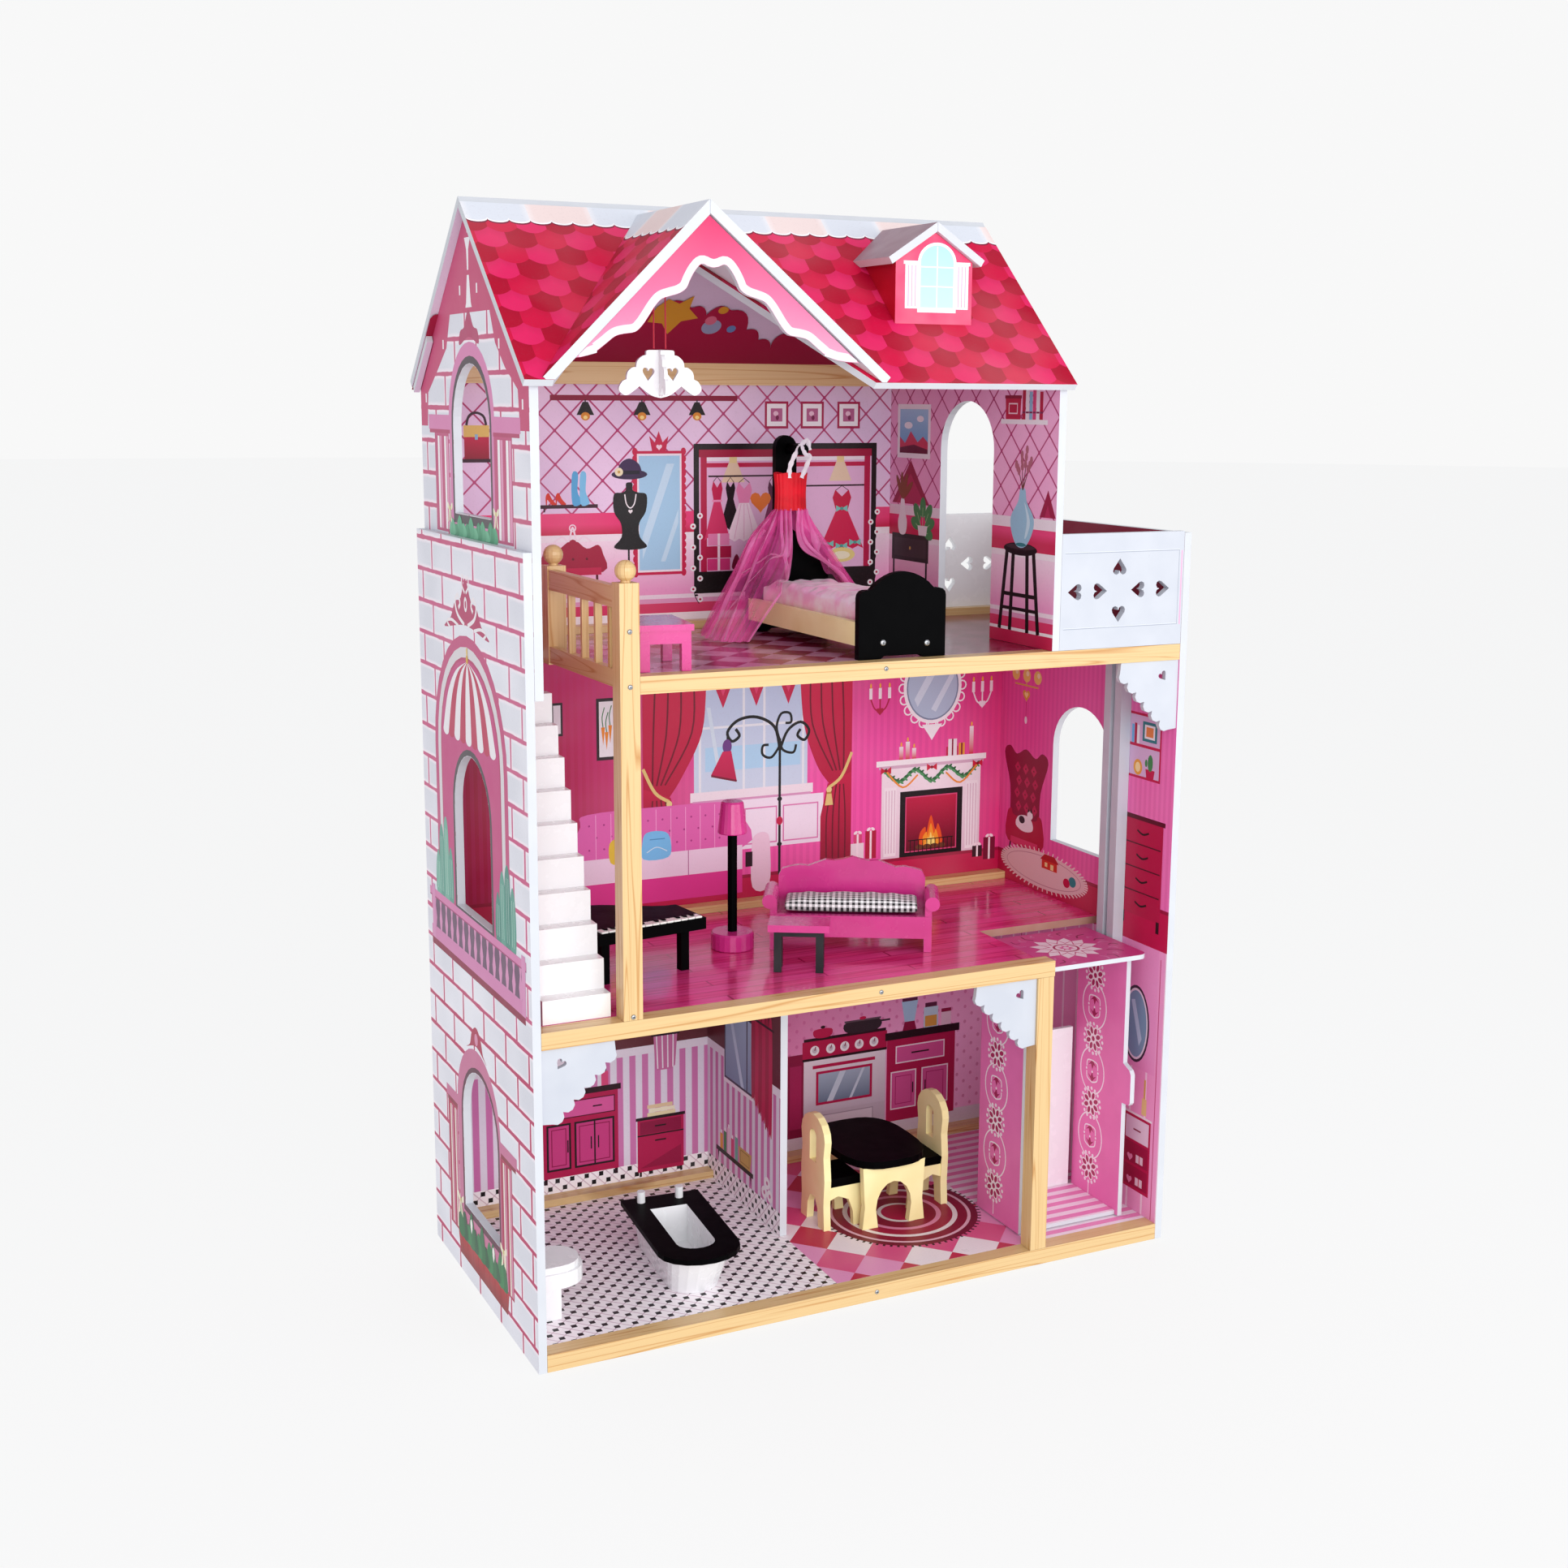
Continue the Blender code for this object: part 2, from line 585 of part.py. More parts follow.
def scalloped_bracket(name, corner_x, corner_z, side, size=0.0790, depth=0.006, lobes=6):
    """A corner bracket: two straight edges and a scalloped long edge, with a heart hole."""
    start = (corner_x + side * size, corner_z - 0.010)
    end = (corner_x + side * 0.010, corner_z - size)
    step = ((end[0] - start[0]) / lobes, (end[1] - start[1]) / lobes)
    radius = math.hypot(*step) / 2
    outward = math.atan2(-1, side)
    outline = [(corner_x, corner_z), (corner_x + side * size, corner_z)]
    for i in range(lobes):
        centre = (start[0] + step[0] * (i + 0.5), start[1] + step[1] * (i + 0.5))
        for k in range(5):
            swing = math.radians(90 - 45 * k) * (1 if side > 0 else -1)
            angle = outward + swing * 0.86
            outline.append((centre[0] + radius * math.cos(angle), centre[1] + radius * math.sin(angle)))
    outline.append((corner_x, corner_z - size))
    hole = heart(corner_x + side * 0.021, corner_z - 0.0175, 0.011, turn=-35 * side)
    board(name, [outline, hole], 0.006, "XZ", (0, depth, 0))


def brackets():
    under_second = SECOND_TOP - RAIL_HEIGHT - SEAM
    scalloped_bracket("bracket_left", LEFT_INSIDE, under_second, 1)
    scalloped_bracket("bracket_kitchen", KITCHEN_POST_RIGHT - POST - SEAM, under_second, -1)
    scalloped_bracket("bracket_right", RIGHT_INSIDE, THIRD_TOP - RAIL_HEIGHT - SEAM, -1, depth=0.0045)


def balcony():
    left, right = UPPER_WIDTH + SEAM, RIGHT_INSIDE
    low, high = THIRD_TOP + SEAM, 0.848
    centre = (left + right) / 2
    mid = 0.7845
    hearts = [
        heart(centre - 0.005, mid + 0.0255, 0.018, 180),
        heart(centre - 0.005, mid - 0.0255, 0.018, 0),
        heart(centre - 0.063, mid, 0.018, -90),
        heart(centre - 0.031, mid, 0.018, 90),
        heart(centre + 0.021, mid, 0.018, -90),
        heart(centre + 0.053, mid, 0.018, 90),
    ]
    outline = rectangle(left, low, right, high)
    board("balcony_front_panel", [outline] + hearts, BOARD, "XZ", (0, BOARD / 2, 0))
    rail_top = THIRD_TOP - BOARD + RAIL_HEIGHT + SEAM
    outline = rectangle(left, rail_top, right, high)
    board("balcony_rear_panel", [outline] + hearts, BOARD, "XZ", (0, DEPTH - BOARD / 2, 0))


GUIDE_LEFT = 0.761
GUIDE_FRONT = 0.088
GUIDE_BACK = 0.122
GROOVE = 0.008


def elevator():
    guide_mid = (GUIDE_FRONT + GUIDE_BACK) / 2
    low, high = GROUND_TOP + SEAM, THIRD_TOP - BOARD - SEAM
    channel = [
        (GUIDE_LEFT, GUIDE_FRONT),
        (RIGHT_INSIDE, GUIDE_FRONT),
        (RIGHT_INSIDE, GUIDE_BACK),
        (GUIDE_LEFT, GUIDE_BACK),
        (GUIDE_LEFT, guide_mid + GROOVE / 2),
        (GUIDE_LEFT + GROOVE, guide_mid + GROOVE / 2),
        (GUIDE_LEFT + GROOVE, guide_mid - GROOVE / 2),
        (GUIDE_LEFT, guide_mid - GROOVE / 2),
    ]
    board("elevator_guide", [channel], high - low, "XY", (0, 0, (low + high) / 2))
    cabin = empty("elevator", (0.682, 0.0885, CABIN_FLOOR), HOUSE)
    x0, y0, z0 = cabin.location

    def local(u, v, w):
        return [tuple(a - x0 for a in u), tuple(a - y0 for a in v), tuple(a - z0 for a in w)]

    plate_right = CABIN_RIGHT + 0.005
    corner = 0.012
    plate = [(0.6225 - x0, PLATE_FRONT - y0)]
    for k in range(5):
        swing = math.radians(-90 + 22.5 * k)
        across = plate_right - corner + corner * math.cos(swing)
        plate.append((across - x0, PLATE_FRONT + corner + corner * math.sin(swing) - y0))
    plate += [
        (plate_right - x0, PLATE_BACK - y0),
        (CABIN_LEFT - x0, PLATE_BACK - y0),
        (CABIN_LEFT - x0, 0.0225 - y0),
        (0.6225 - x0, 0.0225 - y0),
    ]
    board("elevator_top", [plate], PLATE_THICK, "XY", (0, 0, PLATE_TOP - PLATE_THICK / 2 - z0), "magenta", cabin)
    under_plate = PLATE_TOP - PLATE_THICK - SEAM
    tall = (CABIN_FLOOR, under_plate)
    left = (CABIN_LEFT, CABIN_LEFT + PANEL)
    box("elevator_left_panel", *local(left, (CABIN_FRONT, CABIN_BACK), tall), "pink", cabin)
    right_front = CABIN_FRONT - 0.006
    handle = [
        (CABIN_BACK - y0, 0),
        (CABIN_BACK - y0, under_plate - z0),
        (right_front - y0, under_plate - z0),
        (right_front - y0, 0.2145 - z0),
        (right_front - 0.013 - y0, 0.2090 - z0),
        (right_front - 0.016 - y0, 0.2040 - z0),
        (right_front - 0.016 - y0, 0.1690 - z0),
        (right_front - 0.013 - y0, 0.1655 - z0),
        (right_front - y0, 0.1650 - z0),
        (right_front - y0, 0),
    ]
    place = (CABIN_RIGHT - PANEL / 2 - x0, 0, 0)
    right = as_mesh(board("elevator_right_panel", [handle], PANEL, "YZ", place, "pink", cabin))
    runner_x = (CABIN_RIGHT - 0.001, GUIDE_LEFT + GROOVE - 0.003)
    runner = box("runner", *local(runner_x, (guide_mid - 0.0035, guide_mid + 0.0035), (0.050, 0.340)), "white", cabin)
    fuse(right, [runner])
    inside = (CABIN_LEFT + PANEL + SEAM, CABIN_RIGHT - PANEL - SEAM)
    back = (CABIN_BACK + SEAM, CABIN_BACK + SEAM + PANEL)
    mid_x = 0.678 - x0
    hearts = [heart(mid_x, z - z0, 0.016, turn) for z, turn in ((0.200, 0), (0.163, 180), (0.100, 0), (0.067, 180))]
    outline = rectangle(0.613 - x0, CABIN_FLOOR - z0, 0.741 - x0, 0.2307 - z0)
    place = (0, (back[0] + back[1]) / 2 - y0, 0)
    board("elevator_back_panel", [outline] + hearts, PANEL, "XZ", place, "white", cabin)
    floor = local(inside, (CABIN_FRONT, CABIN_BACK), (CABIN_FLOOR, CABIN_FLOOR + 0.005))
    box("elevator_floor", *floor, "pink", cabin)


# ---------------------------------------------------------------- chandelier


def chandelier():
    pivot = empty("chandelier_pivot", (0.190, 0.1186, 1.161), HOUSE)
    bottom = 0.9915 - 1.161
    lobes = [
        [(0, 0), (0.0112, 0.0031), (0.0232, 0.0120)],
        [(0.0232, 0.0120), (0.0330, 0.0048), (0.0396, 0.0027), (0.0460, 0.0085), (0.0422, 0.0165), (0.0375, 0.0186)],
        [(0.0375, 0.0186), (0.0362, 0.0260), (0.0310, 0.0305), (0.0267, 0.0310)],
        [(0.0267, 0.0310), (0.0255, 0.0370), (0.0202, 0.0420), (0.0155, 0.0434)],
        [(0.0155, 0.0434), (0.0148, 0.0478), (0.0075, 0.0484)],
    ]
    right = []
    for lobe in lobes:
        right += smooth_line(lobe, 3)[:-1]
    right = [(u, bottom + w) for u, w in right + [(0, 0.0485)]]
    outline = right + [(-u, w) for u, w in reversed(right[1:-1])]
    holes = [heart(side * 0.0135, bottom + 0.0245, 0.0135, 4 * side) for side in (1, -1)]
    plate = as_mesh(board("chandelier", [outline] + holes, 0.004, "XZ", (0, 0, 0), "white", pivot))
    wings = []
    for side in (1, -1):
        edge = [(side * 0.001, right[0][1] + 0.0009)]
        edge += [(side * 0.45 * u, w + 0.0003) for u, w in right[1:-1]]
        edge.append((side * 0.001, right[-1][1] - 0.0006))
        wings.append(as_mesh(board("chandelier_wing", [edge], 0.004, "YZ", (0, 0, 0), "white", pivot)))
    fuse(plate, wings)
    top = bottom + 0.0485
    curve = bpy.data.curves.new("chandelier_cord", "CURVE")
    curve.dimensions = "3D"
    curve.bevel_depth = 0.0008
    curve.bevel_resolution = 2
    curve.use_fill_caps = True
    spread = 0.0065
    crown = -0.0025
    route = [(-spread, top + 0.0014), (-spread, top + 0.03), (-spread * 0.9, -0.02)]
    route += [(-0.0045, crown - 0.003), (0, crown), (0.0045, crown - 0.003)]
    route += [(spread * 0.9, -0.02), (spread, top + 0.03), (spread, top + 0.0014)]
    spline = curve.splines.new("POLY")
    spline.points.add(len(route) - 1)
    for point, (u, w) in zip(spline.points, route):
        point.co = (u, 0, w, 1)
    link("chandelier_cord", curve, "red", pivot)


# ---------------------------------------------------------------- bedroom furniture

BED_HALF = 0.0525
BED_LENGTH = 0.287


def bed_end(shoulder, arch_top, pole_half=0.0, pole_top=0.0, pole_x=0.0):
    """Outline of a bed end: feet, shoulders with rounded corners, a crown, and a pole on a headboard."""
    corner = 0.008
    points = [(-BED_HALF, 0), (-0.026, 0), (-0.022, 0.003), (0.022, 0.003), (0.026, 0), (BED_HALF, 0)]
    for k in range(4):
        angle = math.radians(30 * k)
        points.append((BED_HALF - corner + corner * math.cos(angle), shoulder - corner + corner * math.sin(angle)))
    crown = []
    for k in range(13):
        t = k / 12
        crown.append((0.038 - 0.076 * t, shoulder + (arch_top - shoulder) * math.sin(math.pi * t) ** 0.8))
    if pole_half:
        kept_right = [p for p in crown if p[0] > pole_x + pole_half]
        kept_left = [p for p in crown if p[0] < pole_x - pole_half]
        head = []
        for k in range(9):
            angle = math.radians(180 * k / 8)
            head.append((pole_x + pole_half * math.cos(angle), pole_top - pole_half + pole_half * math.sin(angle)))
        root = arch_top - 0.004
        crown = kept_right + [(pole_x + pole_half, root)] + head + [(pole_x - pole_half, root)] + kept_left
    points += crown
    for k in range(4):
        angle = math.radians(90 + 30 * k)
        points.append((-BED_HALF + corner + corner * math.cos(angle), shoulder - corner + corner * math.sin(angle)))
    return points


def bed():
    base = empty("bed", (0.425, 0.018, THIRD_TOP + SEAM), HOUSE)
    board("bed_footboard", [bed_end(0.0735, 0.092)], BOARD, "XZ", (0, BOARD / 2, 0), "black", base)
    outline = bed_end(0.1000, 0.1300, 0.0135, 0.2285, -0.004)
    head_y = BED_LENGTH - BOARD / 2
    head = as_mesh(board("bed_headboard", [outline], BOARD, "XZ", (0, head_y, 0), "black", base))
    peg = cylinder("peg", (0.000, BED_LENGTH - BOARD - 0.038, 0.2125), "Y", 0.0065, 0.040, "black", base)
    fuse(head, [peg])
    y = (BOARD + SEAM, BED_LENGTH - BOARD - SEAM)
    frame = box("bed_frame", (-BED_HALF, -BED_HALF + 0.008), y, (0.0145, 0.0395), "cream", base)
    other = box("right_rail", (BED_HALF - 0.008, BED_HALF), y, (0.0145, 0.0395), "cream", base)
    slats = box("slats", (-BED_HALF + 0.007, BED_HALF - 0.007), y, (0.030, 0.0345), "cream", base)
    fuse(frame, [other, slats])
    pad = box("bed_mattress", (-0.0435, 0.0435), (0.012, 0.268), (0.0348, 0.0570), "satin", base)
    soften(pad, 0.006, 2)
    collar = cylinder("canopy_collar", (*COLLAR, 0.1435), "Z", 0.0205, 0.0420, "red", base, 24)
    collar.scale = (1, 0.45, 1)
    canopy_net(base)


def soften(piece, width, segments):
    step = piece.modifiers.new("soft_edges", "BEVEL")
    step.width = width
    step.segments = segments


COLLAR = (-0.007, 0.260)
CURTAIN = [
    (-105, (-0.0125, 0.246, 0.085), (-0.052, 0.186, 0.056), (-0.1035, 0.1635, 0.004)),
    (-140, (-0.030, 0.246, 0.105), (-0.072, 0.212, 0.058), (-0.122, 0.174, 0.003)),
    (-180, (-0.048, 0.256, 0.112), (-0.086, 0.236, 0.052), (-0.132, 0.200, 0.003)),
    (-210, (-0.052, 0.264, 0.113), (-0.090, 0.256, 0.047), (-0.127, 0.240, 0.003)),
    (-240, (-0.049, 0.268, 0.113), (-0.083, 0.270, 0.055), (-0.112, 0.268, 0.004)),
    (-270, (-0.007, 0.270, 0.140), (-0.007, 0.271, 0.137), (-0.007, 0.272, 0.134)),
    (-320, (0.034, 0.264, 0.113), (0.068, 0.262, 0.062), (0.102, 0.262, 0.004)),
    (-365, (0.024, 0.256, 0.112), (0.060, 0.255, 0.066), (0.108, 0.240, 0.003)),
    (-430, (0.001, 0.249, 0.103), (0.048, 0.248, 0.068), (0.085, 0.232, 0.004)),
]


def canopy_net(base):
    """One sheet from the collar's lower edge: a curtain over each side of the bed, parted at the front."""
    mesh = bpy.data.meshes.new("canopy_net")
    work = bmesh.new()
    grid = []
    for turn, shoulder, knee, hem in CURTAIN:
        angle = math.radians(turn)
        top = (COLLAR[0] + 0.0195 * math.cos(angle), COLLAR[1] + 0.0085 * math.sin(angle), 0.1425)
        stops = [top, shoulder, knee, hem]
        sideways = smooth_line([(p[0], p[2]) for p in stops], 3)
        deep = smooth_line([(p[1], p[2]) for p in stops], 3)
        grid.append([work.verts.new((x, y, z)) for (x, z), (y, _) in zip(sideways, deep)])
    for left, right in zip(grid, grid[1:]):
        for j in range(len(left) - 1):
            work.faces.new((left[j], left[j + 1], right[j + 1], right[j]))
    bmesh.ops.recalc_face_normals(work, faces=work.faces)
    work.to_mesh(mesh)
    work.free()
    net = link("canopy_net", mesh, "tulle", base)
    shell = net.modifiers.new("thickness", "SOLIDIFY")
    shell.thickness = 0.001
    shell.offset = 0
    return net


def table_block(name, half_x, half_y, height, top, leg, look, parent):
    """A table as one block with a tunnel through each way, which leaves four legs."""
    piece = box(name, (-half_x, half_x), (-half_y, half_y), (0, height), look, parent)
    reach = 0.2
    through_x = box(name + "_tunnel_x", (-reach, reach), (-half_y + leg, half_y - leg), (-0.01, height - top), look, parent)
    through_y = box(name + "_tunnel_y", (-half_x + leg, half_x - leg), (-reach, reach), (-0.01, height - top), look, parent)
    return cut(piece, [through_x, through_y])


def side_table():
    base = empty("side_table_place", (0.1608, 0.0640, THIRD_TOP + SEAM), HOUSE, -8)
    piece = table_block("side_table", 0.0265, 0.0440, 0.0420, 0.014, 0.010, "magenta", base)
    slab = box("side_table_slab", (-0.0290, 0.0290), (-0.0460, 0.0460), (0.0410, 0.0475), "magenta", base)
    fuse(piece, [slab])


# ---------------------------------------------------------------- lounge furniture


def piano():
    base = empty("piano_place", (0.178, 0.118, SECOND_TOP + SEAM), HOUSE, 8)
    outline = [(-0.067, 0), (0.067, 0), (0.067, 0.058)]
    for k in range(9):
        t = k / 8
        outline.append((0.067 - 0.098 * t, 0.066 + 0.052 * (0.5 - 0.5 * math.cos(math.pi * t))))
    outline += [(-0.048, 0.128), (-0.062, 0.126), (-0.067, 0.118)]
    top = as_mesh(board("piano", [outline], 0.013, "XY", (0, 0, 0.0555), "black", base))
    legs = []
    for i, (x, y) in enumerate(((-0.050, 0.022), (0.050, 0.022), (-0.045, 0.100))):
        legs.append(box("piano_leg_%d" % i, (x - 0.005, x + 0.005), (y - 0.005, y + 0.005), (0, 0.052), "black", base))
    fuse(top, legs)


def turned(name, profile, look, parent, steps=24):
    """A turned solid from (radius, height) points that begin and end on the axis."""
    mesh = bpy.data.meshes.new(name)
    work = bmesh.new()
    verts = [work.verts.new((radius, 0, height)) for radius, height in profile]
    for a, b in zip(verts, verts[1:]):
        work.edges.new((a, b))
    work.to_mesh(mesh)
    work.free()
    made = link(name, mesh, look, parent)
    screw = made.modifiers.new("turn", "SCREW")
    screw.steps = steps
    screw.render_steps = steps
    screw.use_merge_vertices = True
    screw.merge_threshold = 0.00005
    screw.use_normal_calculate = True
    return made


def floor_lamp():
    base = empty("lamp_place", (0.310, 0.203, SECOND_TOP + SEAM), HOUSE)
    profile = [
        (0, 0),
        (0.0240, 0),
        (0.0250, 0.001),
        (0.0250, 0.018),
        (0.0235, 0.020),
        (0.0055, 0.020),
        (0.0055, 0.136),
        (0.0165, 0.136),
        (0.0170, 0.137),
        (0.0130, 0.171),
        (0.0115, 0.173),
        (0, 0.173),
    ]
    turned("floor_lamp", profile, "pink", base)


SOFA_TURN = -28.5


def sofa():
    base = empty("sofa_place", (0.4270, 0.1320, SECOND_TOP + SEAM), HOUSE, SOFA_TURN)
    half, depth, panel = 0.0930, 0.066, 0.008
    crown = []
    for k in range(17):
        t = k / 16
        bumps = 0.0035 * math.sin(math.pi * t * 5) ** 2
        crown.append((0.082 - 0.164 * t, 0.082 + 0.012 * math.sin(math.pi * t) ** 2 + bumps))
    back_outline = [(-0.086, 0.012), (0.086, 0.012), (0.086, 0.074)] + crown + [(-0.086, 0.074)]
    back = as_mesh(board("sofa", [back_outline], panel, "XZ", (0, depth - panel / 2, 0), "magenta", base))
    foot = 0.009
    front_outline = [
        (-half, 0),
        (-half + foot, 0),
        (-half + foot, 0.016),
        (half - foot, 0.016),
        (half - foot, 0),
        (half, 0),
        (half, 0.0415),
        (-half, 0.0415),
    ]
    front = as_mesh(board("sofa_front", [front_outline], panel, "XZ", (0, panel / 2, 0), "magenta", base))
    extra = [front, box("sofa_seat", (-half + 0.004, half - 0.004), (0.004, depth - 0.004), (0.030, 0.0375), "magenta", base)]
    for side in (-1, 1):
        x = sorted((side * half, side * (half - panel)))
        extra.append(box("sofa_side", x, (0.002, depth), (0, 0.058), "magenta", base))
        start = (side * (half + 0.0005), -0.001, 0.057)
        extra.append(cylinder("sofa_arm", start, "Y", 0.0085, depth - 0.002, "magenta", base, 16))
    fuse(back, extra)
    cushion = box("sofa_cushion", (-0.080, 0.080), (0.007, 0.0555), (0.0420, 0.0560), "gingham", base)
    soften(cushion, 0.005, 2)


def coffee_table():
    base = empty("coffee_table_place", (0.3420, 0.0930, SECOND_TOP + SEAM), HOUSE, -29)
    piece = table_block("coffee_table", 0.0275, 0.0150, 0.0480, 0.007, 0.0085, "black", base)
    slab = box("coffee_table_slab", (-0.0340, 0.0340), (-0.0195, 0.0195), (0.0470, 0.0550), "magenta", base)
    fuse(piece, [slab])


# ---------------------------------------------------------------- kitchen and bathroom furniture


def superellipse(a, b, power, steps=28):
    points = []
    for k in range(steps):
        angle = 2 * math.pi * k / steps
        u = math.copysign(abs(math.cos(angle)) ** (2 / power), math.cos(angle))
        v = math.copysign(abs(math.sin(angle)) ** (2 / power), math.sin(angle))
        points.append((a * u, b * v))
    return points


def leg_panel(half, height, foot, span):
    """Half-round arch between two flared feet."""
    points = [(-half, 0), (-half + foot, 0), (-half + foot - 0.003, height * 0.30)]
    inner = half - foot + 0.003
    for k in range(1, 8):
        angle = math.pi * (1 - k / 8)
        points.append((inner * math.cos(angle), height * 0.30 + span * math.sin(angle)))
    points += [(half - foot + 0.003, height * 0.30), (half - foot, 0), (half, 0)]
    points += [(half - 0.003, height * 0.35), (half, height), (-half, height), (-half + 0.003, height * 0.35)]
    return points


def dining_table():
    base = empty("dining_table_place", (0.4900, 0.1950, GROUND_TOP + SEAM), HOUSE)
    outline = superellipse(0.0540, 0.0720, 2.9)
    top = as_mesh(board("dining_table", [outline], 0.009, "XY", (0, 0, 0.0810), "black", base))
    extra = []
    for y in (-0.0580, 0.0520):
        panel = board("table_panel", [leg_panel(0.0420, 0.0775, 0.021, 0.032)], BOARD, "XZ", (0, y, 0), "cream", base)
        extra.append(as_mesh(panel))
    extra.append(box("table_stretcher", (-0.012, 0.012), (-0.056, 0.050), (0.060, 0.0775), "cream", base))
    fuse(top, extra)


def chair(name, x, y, side):
    """side is +1 when the chair faces +X, with its back on the left."""
    base = empty(name + "_place", (x, y, GROUND_TOP + SEAM), HOUSE, 0 if side > 0 else 180)
    half, tall = 0.0310, 0.1370
    outline = [(-half, 0), (-half + 0.016, 0), (-half + 0.018, 0.022), (-0.006, 0.034)]
    outline += [(0.006, 0.034), (half - 0.018, 0.022), (half - 0.016, 0), (half, 0)]
    outline += [(half - 0.002, 0.030), (half, 0.062), (half - 0.003, 0.090), (half, 0.110)]
    for k in range(1, 8):
        angle = math.pi * k / 8
        outline.append((half * math.cos(angle), 0.110 + (tall - 0.110) * math.sin(angle)))
    outline += [(-half, 0.110), (-half + 0.003, 0.090), (-half, 0.062), (-half + 0.002, 0.030)]
    slot = arch(0.0, 0.0085, 0.078, 0.118, steps=4)
    back = as_mesh(board(name, [outline, slot], BOARD, "YZ", (BOARD / 2, 0, 0), "cream", base))
    seat = box(name + "_seat", (BOARD - 0.001, 0.0500), (-0.0270, 0.0270), (0.0510, 0.0620), "black", base)
    extra = [seat]
    length = 0.0500 - 0.004
    for v in (-0.0245, 0.0245):
        panel = [
            (0.004, 0.034),
            (0.020, 0.040),
            (0.034, 0.034),
            (0.040, 0.018),
            (0.041, 0),
            (0.053, 0),
            (0.051, 0.020),
            (0.052, 0.052),
            (0.004, 0.052),
        ]
        extra.append(as_mesh(board(name + "_side", [panel], 0.0075, "XZ", (0, v, 0), "cream", base)))
    extra.append(box(name + "_brace", (0.010, 0.004 + length), (-0.024, 0.024), (0.044, 0.0515), "cream", base))
    fuse(back, extra)


def tub_outline(half, front, back, steps=9):
    """A straight rear end at +Y and a half-round front end at -Y."""
    points = [(half, back), (-half, back), (-half, front + half)]
    for k in range(1, steps):
        angle = math.pi + math.pi * k / steps
        points.append((half * math.cos(angle), front + half + half * 0.8 * math.sin(angle)))
    points.append((half, front + half))
    return points


def bathtub():
    base = empty("bathtub_place", (0.2130, 0.1220, GROUND_TOP + SEAM), HOUSE, -5)
    rim_top, rim = 0.0550, 0.0060
    hole = tub_outline(0.0220, -0.0660, 0.0560)
    plate_edge = tub_outline(0.0470, -0.1020, 0.0920)
    plate = as_mesh(board("bathtub", [plate_edge], rim, "XY", (0, 0, rim_top - rim / 2), "black", base))
    height = rim_top - rim + 0.001
    body_edge = tub_outline(0.0360, -0.0900, 0.0800)
    body = as_mesh(board("tub_body", [body_edge], height, "XY", (0, 0, height / 2), "white", base))
    for vert in body.data.vertices:
        if vert.co.z < 0:
            vert.co.x *= 0.80
            vert.co.y = 0.080 - (0.080 - vert.co.y) * 0.84
    well_floor, well_depth = 0.010, 0.060
    well = as_mesh(board("tub_well", [hole], well_depth, "XY", (0, 0, well_floor + well_depth / 2), "white", base))
    taps = []
    for x in (-0.026, 0.020):
        taps.append(cylinder("tap", (x, 0.0790, rim_top - 0.001), "Z", 0.0048, 0.0145, "white", base, 12))
    fuse(plate, [body] + taps)
    cut(plate, [well])


def toilet():
    base = empty("toilet_place", (0.0490, 0.0980, GROUND_TOP + SEAM), HOUSE)

    def seat_outline(back, centre, radius):
        points = [(back, radius), (back, -radius), (centre, -radius)]
        for k in range(1, 10):
            angle = -math.pi / 2 + math.pi * k / 10
            points.append((centre + radius * math.cos(angle), radius * math.sin(angle)))
        points.append((centre, radius))
        return points

    bowl = as_mesh(board("toilet", [seat_outline(-0.020, 0.003, 0.030)], 0.017, "XY", (0, 0, 0.0445), "white", base))
    lid = as_mesh(board("toilet_lid", [seat_outline(-0.020, 0.002, 0.027)], 0.008, "XY", (0, 0, 0.0565), "white", base))
    foot = box("toilet_foot", (-0.024, 0.0010), (-0.0270, 0.0270), (0, 0.037), "white", base)
    tank = box("toilet_tank", (-0.0380, -0.0190), (-0.0290, 0.0290), (0, 0.0880), "white", base)
    fuse(bowl, [lid, foot, tank])


side_walls()
decks()
back_panels()
partition()
rails()
posts()
railing()
staircase()
roof_boards()
gable()
dormer()
brackets()
balcony()
elevator()
chandelier()
bed()
side_table()
piano()
floor_lamp()
sofa()
coffee_table()
dining_table()
chair("chair_left", 0.4050, 0.1800, 1)
chair("chair_right", 0.5800, 0.1900, -1)
bathtub()
toilet()
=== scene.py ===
"""The looks of the wooden dollhouse: prints, paints, pine, cloth, camera and light round the CAD frame."""
import math

import bmesh
import bpy
from mathutils import Matrix, Vector
from mathutils import noise as space_noise
from mathutils.geometry import tessellate_polygon as tessellate


